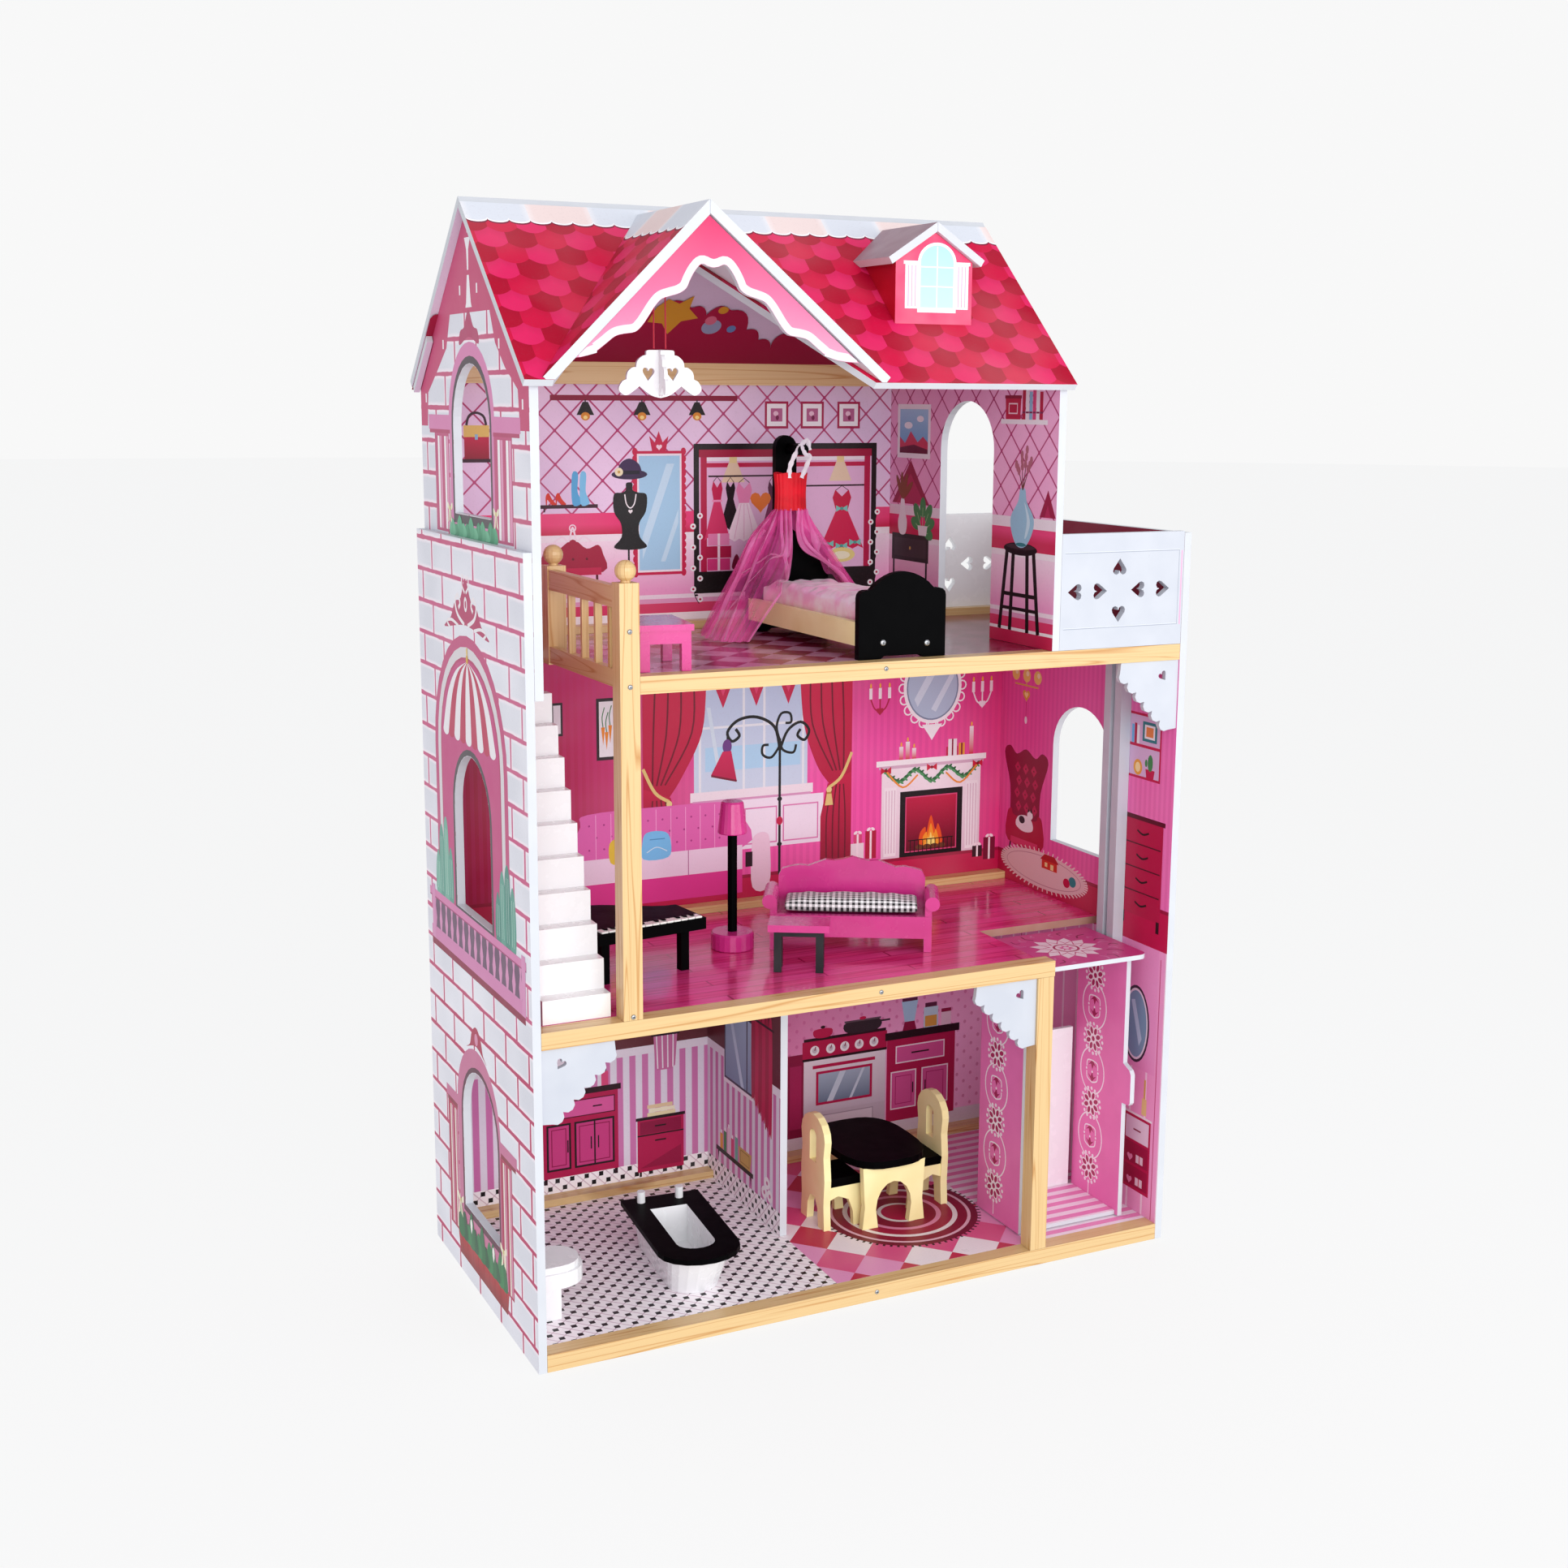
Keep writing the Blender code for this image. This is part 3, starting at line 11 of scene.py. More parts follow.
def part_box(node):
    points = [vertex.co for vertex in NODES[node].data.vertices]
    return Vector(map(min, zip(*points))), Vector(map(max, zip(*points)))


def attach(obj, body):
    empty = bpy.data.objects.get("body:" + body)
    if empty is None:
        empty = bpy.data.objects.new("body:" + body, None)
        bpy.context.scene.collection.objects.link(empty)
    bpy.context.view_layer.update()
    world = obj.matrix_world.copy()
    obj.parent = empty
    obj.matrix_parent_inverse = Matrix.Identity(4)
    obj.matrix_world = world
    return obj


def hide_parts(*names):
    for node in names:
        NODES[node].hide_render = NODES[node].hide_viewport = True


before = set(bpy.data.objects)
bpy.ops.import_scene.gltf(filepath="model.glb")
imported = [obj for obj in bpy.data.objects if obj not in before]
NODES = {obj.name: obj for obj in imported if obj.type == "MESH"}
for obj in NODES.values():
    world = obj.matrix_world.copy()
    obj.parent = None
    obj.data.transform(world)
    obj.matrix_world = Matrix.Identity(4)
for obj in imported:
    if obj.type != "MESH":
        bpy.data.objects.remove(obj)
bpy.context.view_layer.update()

# House coordinates: x from the outer left face, y from the front plane, z from the ground, in metres
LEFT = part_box("lower_left_wall")[0][0]
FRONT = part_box("lower_left_wall")[0][1]
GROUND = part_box("ground_floor")[1][2]
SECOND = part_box("second_floor")[1][2]
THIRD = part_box("third_floor")[1][2]
ROOF_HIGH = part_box("roof_front")[1]
SLOPE = math.radians(42.16)

# Where one print ends and the next begins
PARTITION_X = 0.3565
BAY_X = 0.6100
LOUNGE_Z = 0.355
PARAPET_Z = 0.7115
TILE_TOP = 0.0475
DADO_TOP = 0.8590
LOUNGE_SKIRTING = 0.405

# Repeats of the printed patterns
BRICK_ROW = 0.0354
BRICK_LONG = 0.0765
SHINGLE_WIDE = 0.031
SHINGLE_TALL = 0.024
AWNING_TALL = 0.0405
SCALLOP = 0.0225
BATH_STRIPE = 0.0168
LOUNGE_STRIPE = 0.0095
BAY_STRIPE = 0.0185
FLOORBOARD = 0.0190
LATTICE = 0.0385
BEDROOM_TILE = 0.052
KITCHEN_TILE = 0.0640


def at(x, y, z):
    return Vector((x + LEFT, y + FRONT, z))


def rgb(code, alpha=1.0):
    """A colour written as six hex digits, in the scene's linear numbers."""
    parts = [int(code[i:i + 2], 16) / 255 for i in (0, 2, 4)]
    linear = [p / 12.92 if p <= 0.04045 else ((p + 0.055) / 1.055) ** 2.4 for p in parts]
    return (*linear, alpha)


def placed(name, data):
    """A new object in the scene that shows a mesh, curve, camera or light."""
    made = bpy.data.objects.new(name, data)
    bpy.context.scene.collection.objects.link(made)
    return made


def finished(work, name):
    """A mesh made from a working bmesh, which is then freed."""
    mesh = bpy.data.meshes.new(name)
    work.to_mesh(mesh)
    work.free()
    return mesh


def shade_smooth(mesh):
    for polygon in mesh.polygons:
        polygon.use_smooth = True


# ---------------- shader building


class Num:
    """A number in a shader: arithmetic on it adds Math nodes."""

    def __init__(self, tree, socket):
        self.tree = tree
        self.socket = socket

    def op(self, kind, *others):
        node = self.tree.nodes.new("ShaderNodeMath")
        node.operation = kind
        for slot, value in zip(node.inputs, (self, *others)):
            if isinstance(value, Num):
                self.tree.links.new(value.socket, slot)
            else:
                slot.default_value = value
        return Num(self.tree, node.outputs[0])

    def __add__(self, other):
        return self.op("ADD", other)

    def __sub__(self, other):
        return self.op("SUBTRACT", other)

    def __mul__(self, other):
        return self.op("MULTIPLY", other)

    def __truediv__(self, other):
        return self.op("DIVIDE", other)

    def __and__(self, other):
        return self.op("MINIMUM", other)

    def __or__(self, other):
        return self.op("MAXIMUM", other)

    def floor(self):
        return self.op("FLOOR")

    def frac(self):
        return self.op("FRACT")

    def wrap(self, period):
        return self.op("FLOORED_MODULO", period)

    def abs(self):
        return self.op("ABSOLUTE")

    def above(self, limit):
        return self.op("GREATER_THAN", limit)

    def below(self, limit):
        return self.op("LESS_THAN", limit)

    def flip(self):
        return (self * -1) + 1

    def striped(self, pitch):
        """0 in the first half of each stripe of that pitch, 1 in the second."""
        return (self / pitch).frac().above(0.5)

    def centred(self, period):
        """Distance from the middle of each cell of that length, 0 to half the length."""
        return (self.wrap(period) - period / 2).abs()


class Shader:
    """A Principled material whose inputs are built up from the object's own coordinates, in metres."""

    def __init__(self, name, roughness=0.4, **sockets):
        self.material = bpy.data.materials.new(name)
        self.material.use_nodes = True
        self.tree = self.material.node_tree
        self.bsdf = self.tree.nodes["Principled BSDF"]
        self.bsdf.inputs["Roughness"].default_value = roughness
        for key, value in sockets.items():
            self.bsdf.inputs[key.replace("_", " ")].default_value = value
        coords = self.tree.nodes.new("ShaderNodeTexCoord")
        self.place = coords.outputs["Object"]
        split = self.tree.nodes.new("ShaderNodeSeparateXYZ")
        self.tree.links.new(self.place, split.inputs[0])
        x, y, z = (Num(self.tree, socket) for socket in split.outputs)
        self.x = x - LEFT
        self.y = y - FRONT
        self.z = z

    def noise(self, scale, stretch=(1, 1, 1), detail=3.0, rough=0.55, distortion=0.0):
        """Cloudy noise from 0 to 1, with its coordinates multiplied by stretch."""
        mapping = self.tree.nodes.new("ShaderNodeMapping")
        mapping.inputs["Scale"].default_value = stretch
        self.tree.links.new(self.place, mapping.inputs["Vector"])
        node = self.tree.nodes.new("ShaderNodeTexNoise")
        node.inputs["Scale"].default_value = scale
        node.inputs["Detail"].default_value = detail
        node.inputs["Roughness"].default_value = rough
        node.inputs["Distortion"].default_value = distortion
        self.tree.links.new(mapping.outputs[0], node.inputs["Vector"])
        return Num(self.tree, node.outputs["Fac"])

    def mix(self, factor, first, second):
        """first where factor is 0, second where it is 1; each a hex code or an earlier mix."""
        node = self.tree.nodes.new("ShaderNodeMix")
        node.data_type = "RGBA"
        slots = (node.inputs[6], node.inputs[7])
        for slot, value in zip(slots, (first, second)):
            if isinstance(value, str):
                slot.default_value = rgb(value)
            else:
                self.tree.links.new(value, slot)
        if isinstance(factor, Num):
            self.tree.links.new(factor.socket, node.inputs[0])
        else:
            node.inputs[0].default_value = factor
        return node.outputs[2]

    def ramp(self, factor, stops):
        """A smooth colour ramp: stops are (position, hex code)."""
        node = self.tree.nodes.new("ShaderNodeValToRGB")
        ramp = node.color_ramp
        while len(ramp.elements) < len(stops):
            ramp.elements.new(0.5)
        for element, (position, code) in zip(ramp.elements, stops):
            element.position = position
            element.color = rgb(code)
        self.tree.links.new(factor.socket, node.inputs[0])
        return node.outputs[0]

    def soft(self, value, low, high):
        """0 below low, 1 above high."""
        node = self.tree.nodes.new("ShaderNodeMapRange")
        node.inputs["From Min"].default_value = low
        node.inputs["From Max"].default_value = high
        self.tree.links.new(value.socket, node.inputs["Value"])
        return Num(self.tree, node.outputs[0])

    def colour(self, value):
        self.tree.links.new(value, self.bsdf.inputs["Base Color"])
        return self

    def rough(self, factor, low, high):
        self.tree.links.new((factor * (high - low) + low).socket, self.bsdf.inputs["Roughness"])
        return self

    def bump(self, height, strength=0.2, distance=0.0005):
        node = self.tree.nodes.new("ShaderNodeBump")
        node.inputs["Strength"].default_value = strength
        node.inputs["Distance"].default_value = distance
        self.tree.links.new(height.socket, node.inputs["Height"])
        self.tree.links.new(node.outputs[0], self.bsdf.inputs["Normal"])
        return self


def paint(name, code, worn=None, roughness=0.35, coat=0.0, grain=0.10, specular=0.35):
    """Brushed and rubbed paint over wood: faint cloudiness, fine orange peel, slightly uneven gloss."""
    s = Shader(name, roughness, Coat_Weight=coat, Coat_Roughness=0.15, Specular_IOR_Level=specular)
    cloud = s.noise(22, detail=2)
    s.colour(s.mix(s.soft(cloud, 0.35, 0.75) * (1.0 if worn else grain), code, worn or "FFFFFF"))
    s.rough(s.noise(60, detail=4), roughness - 0.08, roughness + 0.12)
    s.bump(s.noise(900, detail=2) + s.noise(110, detail=1) * 2, 0.10, 0.0004)
    return s.material


def print_finish(s, colour, roughness=0.42, specular=0.22):
    """A pattern printed on board: paper fleck, a little fading and a satin varnish."""
    fleck = s.noise(420, detail=2)
    fade = s.soft(s.noise(7, detail=2), 0.4, 0.7)
    faded = s.mix(fade * 0.05, colour, "FFFFFF")
    s.colour(s.mix(s.soft(fleck, 0.56, 0.8) * 0.10, faded, "7A6070"))
    s.rough(s.noise(35, detail=3), roughness - 0.08, roughness + 0.10)
    s.bump(s.noise(650, detail=2), 0.06, 0.0003)
    s.bsdf.inputs["Specular IOR Level"].default_value = specular
    return s.material


def wood(name, axis, light="DDBB84", dark="C48E4E", knot="96602E"):
    """Clear-lacquered pine with its grain along the axis 0, 1 or 2."""
    s = Shader(name, 0.38, Coat_Weight=0.25, Coat_Roughness=0.2)
    long = [16, 16, 16]
    long[axis] = 0.45
    fine = [70, 70, 70]
    fine[axis] = 0.9
    broad = s.noise(3.4, long, detail=1, distortion=0.25)
    lines = s.noise(6.5, fine, detail=3, rough=0.6)
    rings = (broad * 8).frac().centred(1.0) * 2
    base = s.ramp(rings, [(0.0, dark), (0.22, light), (1.0, light)])
    streaked = s.mix(s.soft(lines, 0.50, 0.74) * 0.35, base, dark)
    spread = [10, 10, 10]
    spread[axis] = 4.0
    knots = s.noise(1.6, spread, detail=0)
    s.colour(s.mix(s.soft(knots, 0.80, 0.86) * 0.5, streaked, knot))
    s.rough(lines, 0.32, 0.5)
    s.bump(lines + rings * 0.3, 0.10, 0.0004)
    return s.material


# ---------------- printed patterns that cover whole boards


def brick_material():
    """White bricks with a pale halo between crimson joints, a little darker below."""
    s = Shader("brick_print")
    row = (s.z - 0.0242) / BRICK_ROW
    shift = (row.floor().wrap(2)) * (BRICK_LONG / 2)
    u = (s.y - 0.0125) + shift
    wobble = (s.noise(45, detail=1) - 0.5) * 0.0022
    edge_v = (row.frac().centred(1.0) * BRICK_ROW) + wobble
    edge_u = u.centred(BRICK_LONG) + wobble
    inset = ((edge_v * -1) + BRICK_ROW / 2) & ((edge_u * -1) + BRICK_LONG / 2)
    lower = s.soft(s.z, 0.33, 0.37)
    mortar = s.mix(lower, "BC2C62", "CC5585")
    mortar = s.mix(s.soft(s.z, 0.78, 0.86), mortar, "C9557E")
    face = s.mix(s.soft(s.noise(9, detail=1), 0.35, 0.7), "DEDEE8", "EEEDF6")
    haloed = s.mix(s.soft(inset, 0.0035, 0.0065), "F8EDF6", face)
    shade = s.mix(s.soft(inset, 0.0019, 0.0027), mortar, haloed)
    return print_finish(s, shade)


def shingle_colour(s, across, down):
    """Fish-scale shingles: across runs along the ridge and down runs from it down the slope."""
    rows = down / SHINGLE_TALL
    near = rows.floor()

    def dip(row):
        f = (across / SHINGLE_WIDE - row.wrap(2) * 0.5).frac() * 2 - 1
        return (f * f).flip() * 0.32

    above = rows.frac().below(dip(near - 1))
    row = near - above
    cell = (across / SHINGLE_WIDE - row.wrap(2) * 1.5).floor()
    kind = cell.wrap(3)
    first = s.mix(kind.above(0.5), "DE2462", "AE082E")
    base = s.mix(kind.above(1.5), first, "CE1042")
    depth = rows - row - dip(row - 1)
    return s.mix(s.soft(depth, 0.0, 0.5).flip() * 0.18, base, "8E0C2C")


def awning(s, across, down, base):
    """The striped awning along the ridge, with a scalloped hem and its shadow."""
    f = (across / SCALLOP).frac() * 2 - 1
    hem_deep = 0.0055
    beyond = down - ((f * f).flip().op("SQRT") * hem_deep + (AWNING_TALL - hem_deep))
    strip = across / (SCALLOP * 3)
    cloth = s.mix(strip.floor().wrap(2), "DCE0EA", "EFDAD8")
    fold = strip.frac().centred(1.0)
    cloth = s.mix(s.soft(fold, 0.40, 0.5) * 0.5, cloth, "F6F1F4")
    rim = s.mix(s.soft(beyond, -0.0028, -0.0018), cloth, "F7F6FA")
    shadowed = s.mix(s.soft(beyond, 0.0016, 0.003), "7C1636", base)
    return s.mix(beyond.above(0), rim, shadowed)


def roof_material():
    """Shingles and the awning down both slopes of the main roof."""
    s = Shader("roof_print")
    down = (s.z * -1 + ROOF_HIGH[2] + 0.0063) / math.sin(SLOPE)
    across = s.x - 0.001
    return print_finish(s, awning(s, across, down, shingle_colour(s, across - 0.004, down)), 0.5, 0.08)


def gable_roof_material(name, apex_x, apex_z, end_x, end_z):
    """Shingles and the awning down one slope of the gable's roof, from its apex to its lower end."""
    s = Shader(name)
    length = math.hypot(end_x - apex_x, end_z - apex_z)
    u, w = (end_x - apex_x) / length, (end_z - apex_z) / length
    down = (s.x - apex_x) * u + (s.z - apex_z) * w
    across = s.y + 0.012
    return print_finish(s, awning(s, across, down, shingle_colour(s, across, down)), 0.5, 0.08)


def lattice(s, u, v, pitch, base_low, base_high, ink):
    """Diamond lattice with knots where the lines cross."""
    one = ((u + v) / pitch).frac().centred(1.0)
    two = ((u - v) / pitch).frac().centred(1.0)
    line = one | two
    corner = one & two
    paper = s.mix(s.soft(s.noise(6, detail=1), 0.35, 0.65), base_low, base_high)
    lined = s.mix(s.soft(line, 0.455, 0.472), paper, ink)
    return s.mix(s.soft(corner, 0.435, 0.448), lined, ink)


def bedroom_wall(name, along_y):
    """Third-floor wallpaper: lattice, a white moulding, a crimson band, panelling and a skirting board."""
    s = Shader(name)
    u = (s.y - 0.018) if along_y else (s.x - 0.163)
    low, high = ("EE9CCB", "F6B6DC") if along_y else ("DDC2E1", "EFD2EF")
    moulding, panel_top = (0.8255, 0.8185) if along_y else (0.834, 0.826)
    wall = lattice(s, u, s.z - 0.954, LATTICE, low, high, "B3306F")
    if along_y:
        wall = s.mix(s.z.below(DADO_TOP + 0.004), wall, "EFE3EC")
    band = s.mix(s.soft(s.z, 0.836, 0.846), "CC194F", "E83A78")
    panel = s.mix(s.soft(s.z, 0.765, 0.83), "EF9BCB", "F6E0EE")
    steps = [(DADO_TOP - (0.008 if along_y else 0), band), (moulding, "F3E6EF"), (panel_top, panel),
             (0.7605, "F2DDEB"), (0.7555, "E59AC4"), (0.7500, "DB2A63"), (0.7385, "F7ECF4")]
    if along_y:
        steps.append((0.7350, "CC1850"))
    for height, colour in steps:
        wall = s.mix(s.z.below(height), wall, colour)
    return print_finish(s, wall)


def lounge_paper(s, u, tone):
    """Narrow tone-on-tone stripes down to a crimson skirting with a darker line along its top."""
    wall = s.mix(u.striped(LOUNGE_STRIPE) * 0.20, tone, "C93380")
    wall = s.mix(s.z.below(LOUNGE_SKIRTING), wall, "C4134C")
    return s.mix((s.z - (LOUNGE_SKIRTING - 0.002)).abs().below(0.0022), wall, "9E0E3C")


def lounge_wall():
    """The lounge's rear wallpaper, with painted shade darkening it in the corners and under the deck above.
    """
    s = Shader("lounge_rear_wallpaper")
    # Painted shade: dark crimson in the left corner, a deeper pink in the right corner and under the deck
    tone = s.mix(s.soft(s.x, 0.16, 0.42), "B01048", "F558AE")
    tone = s.mix(s.soft(s.x, 0.60, 0.77), tone, "E8408C")
    tone = s.mix(s.soft(s.z, 0.56, 0.72), tone, "D02E76")
    return print_finish(s, lounge_paper(s, s.x, tone))


def bath_stripes(s, u):
    """Broad pink and grey bathroom stripes."""
    return s.mix(s.soft((u / BATH_STRIPE).frac().centred(1.0), 0.22, 0.27), "CE72AC", "E4DAE8")


def bath_paper(s, u, tiles):
    """The stripes under a crimson frieze with a pale border, over a dotted tile skirting."""
    wall = s.mix(s.z.above(0.190), bath_stripes(s, u), "E9DDE9")
    wall = s.mix(s.z.above(0.2005), wall, "5E0E20")
    return s.mix(s.z.below(TILE_TOP), wall, tiles)


def bath_side():
    """The bathroom's side of the partition."""
    s = Shader("bathroom_side_wallpaper")
    u = s.y - 0.167
    return print_finish(s, bath_paper(s, u, dotted_tiles(s, u, s.z - 0.033, 0.0092)))


def dotted_tiles(s, u, v, half):
    """Small white tiles with black squares at their corners and fine grey-pink joints."""
    a = ((u + v) / (2 * half)).frac().centred(1.0)
    b = ((u - v) / (2 * half)).frac().centred(1.0)
    du = (u / half).frac().centred(1.0)
    dv = (v / half).frac().centred(1.0)
    parity = ((u / half).floor() + (v / half).floor()).wrap(2).below(0.5)
    joint = s.soft(a | b, 0.43, 0.47)
    tile = s.mix(joint, "FFF8FC", "DCC6D2")
    dot = (du.below(0.30) & dv.below(0.30)) & parity
    return s.mix(dot, tile, "0E080C")


def ground_floor_material():
    """Bathroom tiles on the left, a pink and white chequer in the kitchen, stripes in the elevator bay."""
    s = Shader("ground_floor_print", 0.32)
    tiles = dotted_tiles(s, s.x - 0.010, s.y - 0.004, 0.0103)
    u = (s.x + s.y * 0.92 - 0.4205) / KITCHEN_TILE
    v = (s.x - s.y * 0.92 - 0.2895) / KITCHEN_TILE
    parity = (u.floor() + v.floor()).wrap(2)
    warm = (u.floor() * 3 + v.floor()).wrap(4).above(1.5)
    dark = s.mix(warm, "E04E88", "C41844")
    light = s.mix((u.floor() + v.floor() * 2).wrap(4).above(1.5), "F6ECF2", "EA98C8")
    chequer = s.mix(parity, dark, light)
    stripes = s.mix(s.y.striped(BAY_STRIPE), "F6E6F2", "EE84BE")
    floor = s.mix(s.x.above(PARTITION_X), tiles, chequer)
    return print_finish(s, s.mix(s.x.above(BAY_X), floor, stripes), 0.30)


def lounge_floor():
    """Glossy rose floorboards with staggered butt joints."""
    s = Shader("lounge_floor_print", 0.18, Coat_Weight=0.5, Coat_Roughness=0.08)
    board = (s.y / FLOORBOARD).floor()
    seam = (s.y / FLOORBOARD).frac().centred(1.0)
    grain = s.noise(5, (2.5, 40, 1), detail=3)
    tone = s.mix(s.soft(grain, 0.4, 0.62), "CE2068", "E84288")
    tone = s.mix(board.wrap(2) * 0.4, tone, "F050A0")
    butt = ((s.x + board.wrap(3) * 0.13) / 0.36).frac().centred(1.0).above(0.4965)
    lined = s.mix(seam.above(0.472) | butt, tone, "A81450")
    s.colour(lined)
    s.rough(grain, 0.14, 0.30)
    s.bump(grain + seam.above(0.47) * -1, 0.06, 0.0004)
    return s.material


def bedroom_floor():
    """Large pink and rose diagonal tiles with a faint marbling, darkened by painted shade from the bed's foot
    to the balcony.
    """
    s = Shader("bedroom_floor_print", 0.22, Coat_Weight=0.4, Coat_Roughness=0.1)
    u = (s.x + s.y) / BEDROOM_TILE
    v = (s.x - s.y) / BEDROOM_TILE
    parity = (u.floor() + v.floor()).wrap(2)
    marble = s.noise(14, detail=4, distortion=1.2)
    vein = s.soft(marble, 0.4, 0.65)
    tile = s.mix(parity, s.mix(vein, "A82458", "8C1444"), s.mix(vein, "DEA8C6", "C67AA4"))
    # A darker copy of the same tiles, blended in right of the bed: painted shade
    tile_in_painted_shade = s.mix(parity, "6E1030", s.mix(vein, "923A5C", "7A2444"))
    s.colour(s.mix(s.soft(s.x, 0.470, 0.495), tile, tile_in_painted_shade))
    s.rough(marble, 0.16, 0.3)
    s.bump(s.noise(300, detail=2), 0.04, 0.0003)
    return s.material


def attic_material():
    """Mottled lilac under the roof, pink under its left eave."""
    s = Shader("attic_print")
    paper = s.mix(s.soft(s.noise(6, detail=1), 0.35, 0.7), "C4AEC6", "DCCADF")
    paper = s.mix(s.x.below(0), paper, "F1D3E4")
    return print_finish(s, paper)


WHITE = paint("white_paint", "C0C4CE", roughness=0.30, coat=0.15)
FIXTURE = paint("white_enamel", "F2F3F5", roughness=0.24, coat=0.3)
WHITE_EDGE = paint("white_edge_paint", "CDD0D7", roughness=0.34)
CREAM = paint("cream_paint", "FFF4B8", "F6E6A4", roughness=0.42)
BLACK = paint("black_paint", "020203", roughness=0.42, grain=0.0002, specular=0.03)
MAGENTA = paint("magenta_paint", "D2308A", "C62A80", roughness=0.24, coat=0.55)
DARK_GREY = paint("charcoal_paint", "1E2024", roughness=0.4, grain=0.02, specular=0.2)
PINE_X = wood("pine_lengthwise", 0)
PINE_Y = wood("pine_crosswise", 1)
PINE_Z = wood("pine_upright", 2)
BRICK = brick_material()
RED_PAINT = paint("red_paint", "BE0E28", "A90B22", roughness=0.35)
PANEL_PINK = paint("panel_pink_print", "F07EBE", "E876B6", roughness=0.4)
GREY_WHITE = paint("backs_off_white", "D9D4DA", roughness=0.5)


def facing(name, rules, otherwise):
    """Gives a node's faces materials by the way they face; rules are (direction, least cosine, material)."""
    mesh = NODES[name].data
    mesh.materials.clear()
    looks = [otherwise]
    for _, _, look in rules:
        if look not in looks:
            looks.append(look)
    for look in looks:
        mesh.materials.append(look)
    directions = [(Vector(d).normalized(), least, looks.index(look)) for d, least, look in rules]
    for polygon in mesh.polygons:
        polygon.material_index = 0
        for direction, least, index in directions:
            if polygon.normal.dot(direction) > least:
                polygon.material_index = index
                break


def all_over(look, *names):
    for name in names:
        facing(name, [], look)


def smooth(*names, angle=35):
    """Smooth shading on round pieces, with flat faces kept crisp."""
    for name in names:
        mesh = NODES[name].data
        shade_smooth(mesh)
        sharp = [False] * len(mesh.edges)
        work = bmesh.new()
        work.from_mesh(mesh)
        for edge in work.edges:
            if len(edge.link_faces) == 2 and edge.calc_face_angle(0) > math.radians(angle):
                sharp[edge.index] = True
        work.free()
        marks = mesh.attributes.get("sharp_edge") or mesh.attributes.new("sharp_edge", "BOOLEAN", "EDGE")
        marks.data.foreach_set("value", sharp)


WEST, EAST, SOUTH, UP, DOWN = (-1, 0, 0), (1, 0, 0), (0, -1, 0), (0, 0, 1), (0, 0, -1)
SIDE = 0.9

ROOF_PRINT = roof_material()
BEDROOM_SIDE = bedroom_wall("bedroom_side_wallpaper", True)
BEDROOM_REAR = bedroom_wall("bedroom_rear_wallpaper", False)


def lower_inner_left():
    """Bathroom stripes at the bottom, the lounge's stair side in the middle, lattice beside the bedroom."""
    s = Shader("left_inner_print")
    bath = s.mix(s.z.below(TILE_TOP), bath_stripes(s, s.y - 0.167), "EADFE6")
    lounge = s.mix(s.y.striped(LOUNGE_STRIPE) * 0.22, "A51650", "B5246B")
    wall = s.mix(s.z.above(LOUNGE_Z), bath, lounge)
    upper = lattice(s, s.y - 0.018, s.z - 0.954, LATTICE, "CFB4D2", "E2C4E2", "A32A66")
    return print_finish(s, s.mix(s.z.above(PARAPET_Z), wall, upper))


def lower_inner_right():
    """Elevator bay at the bottom, lounge in the middle, a maroon parapet beside the balcony."""
    s = Shader("right_inner_print")
    panel = (s.y / 0.030).frac().centred(1.0)
    bay = s.mix(panel.above(0.44), "F2A0D0", "FBDCEE")
    bay = s.mix(s.z.above(0.200) & (s.y - 0.06).abs().below(0.045), bay, "EE98CC")
    # Painted shade: the lounge stripes darken from the front towards the back corner
    lounge = lounge_paper(s, s.y, s.mix(s.soft(s.y, 0.02, 0.30), "F576BE", "F055A8"))
    wall = s.mix(s.z.above(LOUNGE_Z), bay, lounge)
    return print_finish(s, s.mix(s.z.above(PARAPET_Z), wall, "8E1236"))


facing("lower_left_wall", [(WEST, SIDE, BRICK), (EAST, SIDE, lower_inner_left())], WHITE_EDGE)
facing("upper_left_wall", [(WEST, SIDE, BRICK), (EAST, SIDE, BEDROOM_SIDE)], WHITE_EDGE)
facing("lower_right_wall", [(WEST, SIDE, lower_inner_right()), (EAST, SIDE, BRICK)], WHITE_EDGE)
facing("upper_right_wall", [(WEST, SIDE, BEDROOM_SIDE), (EAST, SIDE, BRICK)], WHITE_EDGE)
facing("back_panel_third", [(SOUTH, SIDE, BEDROOM_REAR)], GREY_WHITE)
facing("back_panel_second", [(SOUTH, SIDE, lounge_wall())], GREY_WHITE)


def ground_rear():
    """One board behind both ground-floor rooms: bathroom stripes on the left, kitchen paper on the right."""
    s = Shader("ground_rear_print")
    bath = bath_paper(s, s.x - 0.2255, dotted_tiles(s, s.x - 0.0035, s.z - 0.029, 0.0095))
    column = s.x / 0.0105
    du = column.frac().centred(1.0)
    dv = (s.z / 0.0210 + column.floor().wrap(2) * 0.5).frac().centred(1.0)
    dot = s.soft(du * du + dv * dv * 3, 0.035, 0.05).flip()
    # Painted shade: the kitchen paper darkens next to the partition and towards the floor above
    paper = s.mix(s.soft(s.x, 0.36, 0.72), "D65C9C", "FFBCE6")
    paper = s.mix(s.soft(s.z, 0.16, 0.24) * 0.5, paper, "B84A84")
    kitchen = s.mix(dot * 0.5, paper, "C64488")
    kitchen = s.mix(s.z.below(TILE_TOP), kitchen, "E2D6E0")
    return print_finish(s, s.mix(s.x.above(PARTITION_X), bath, kitchen))


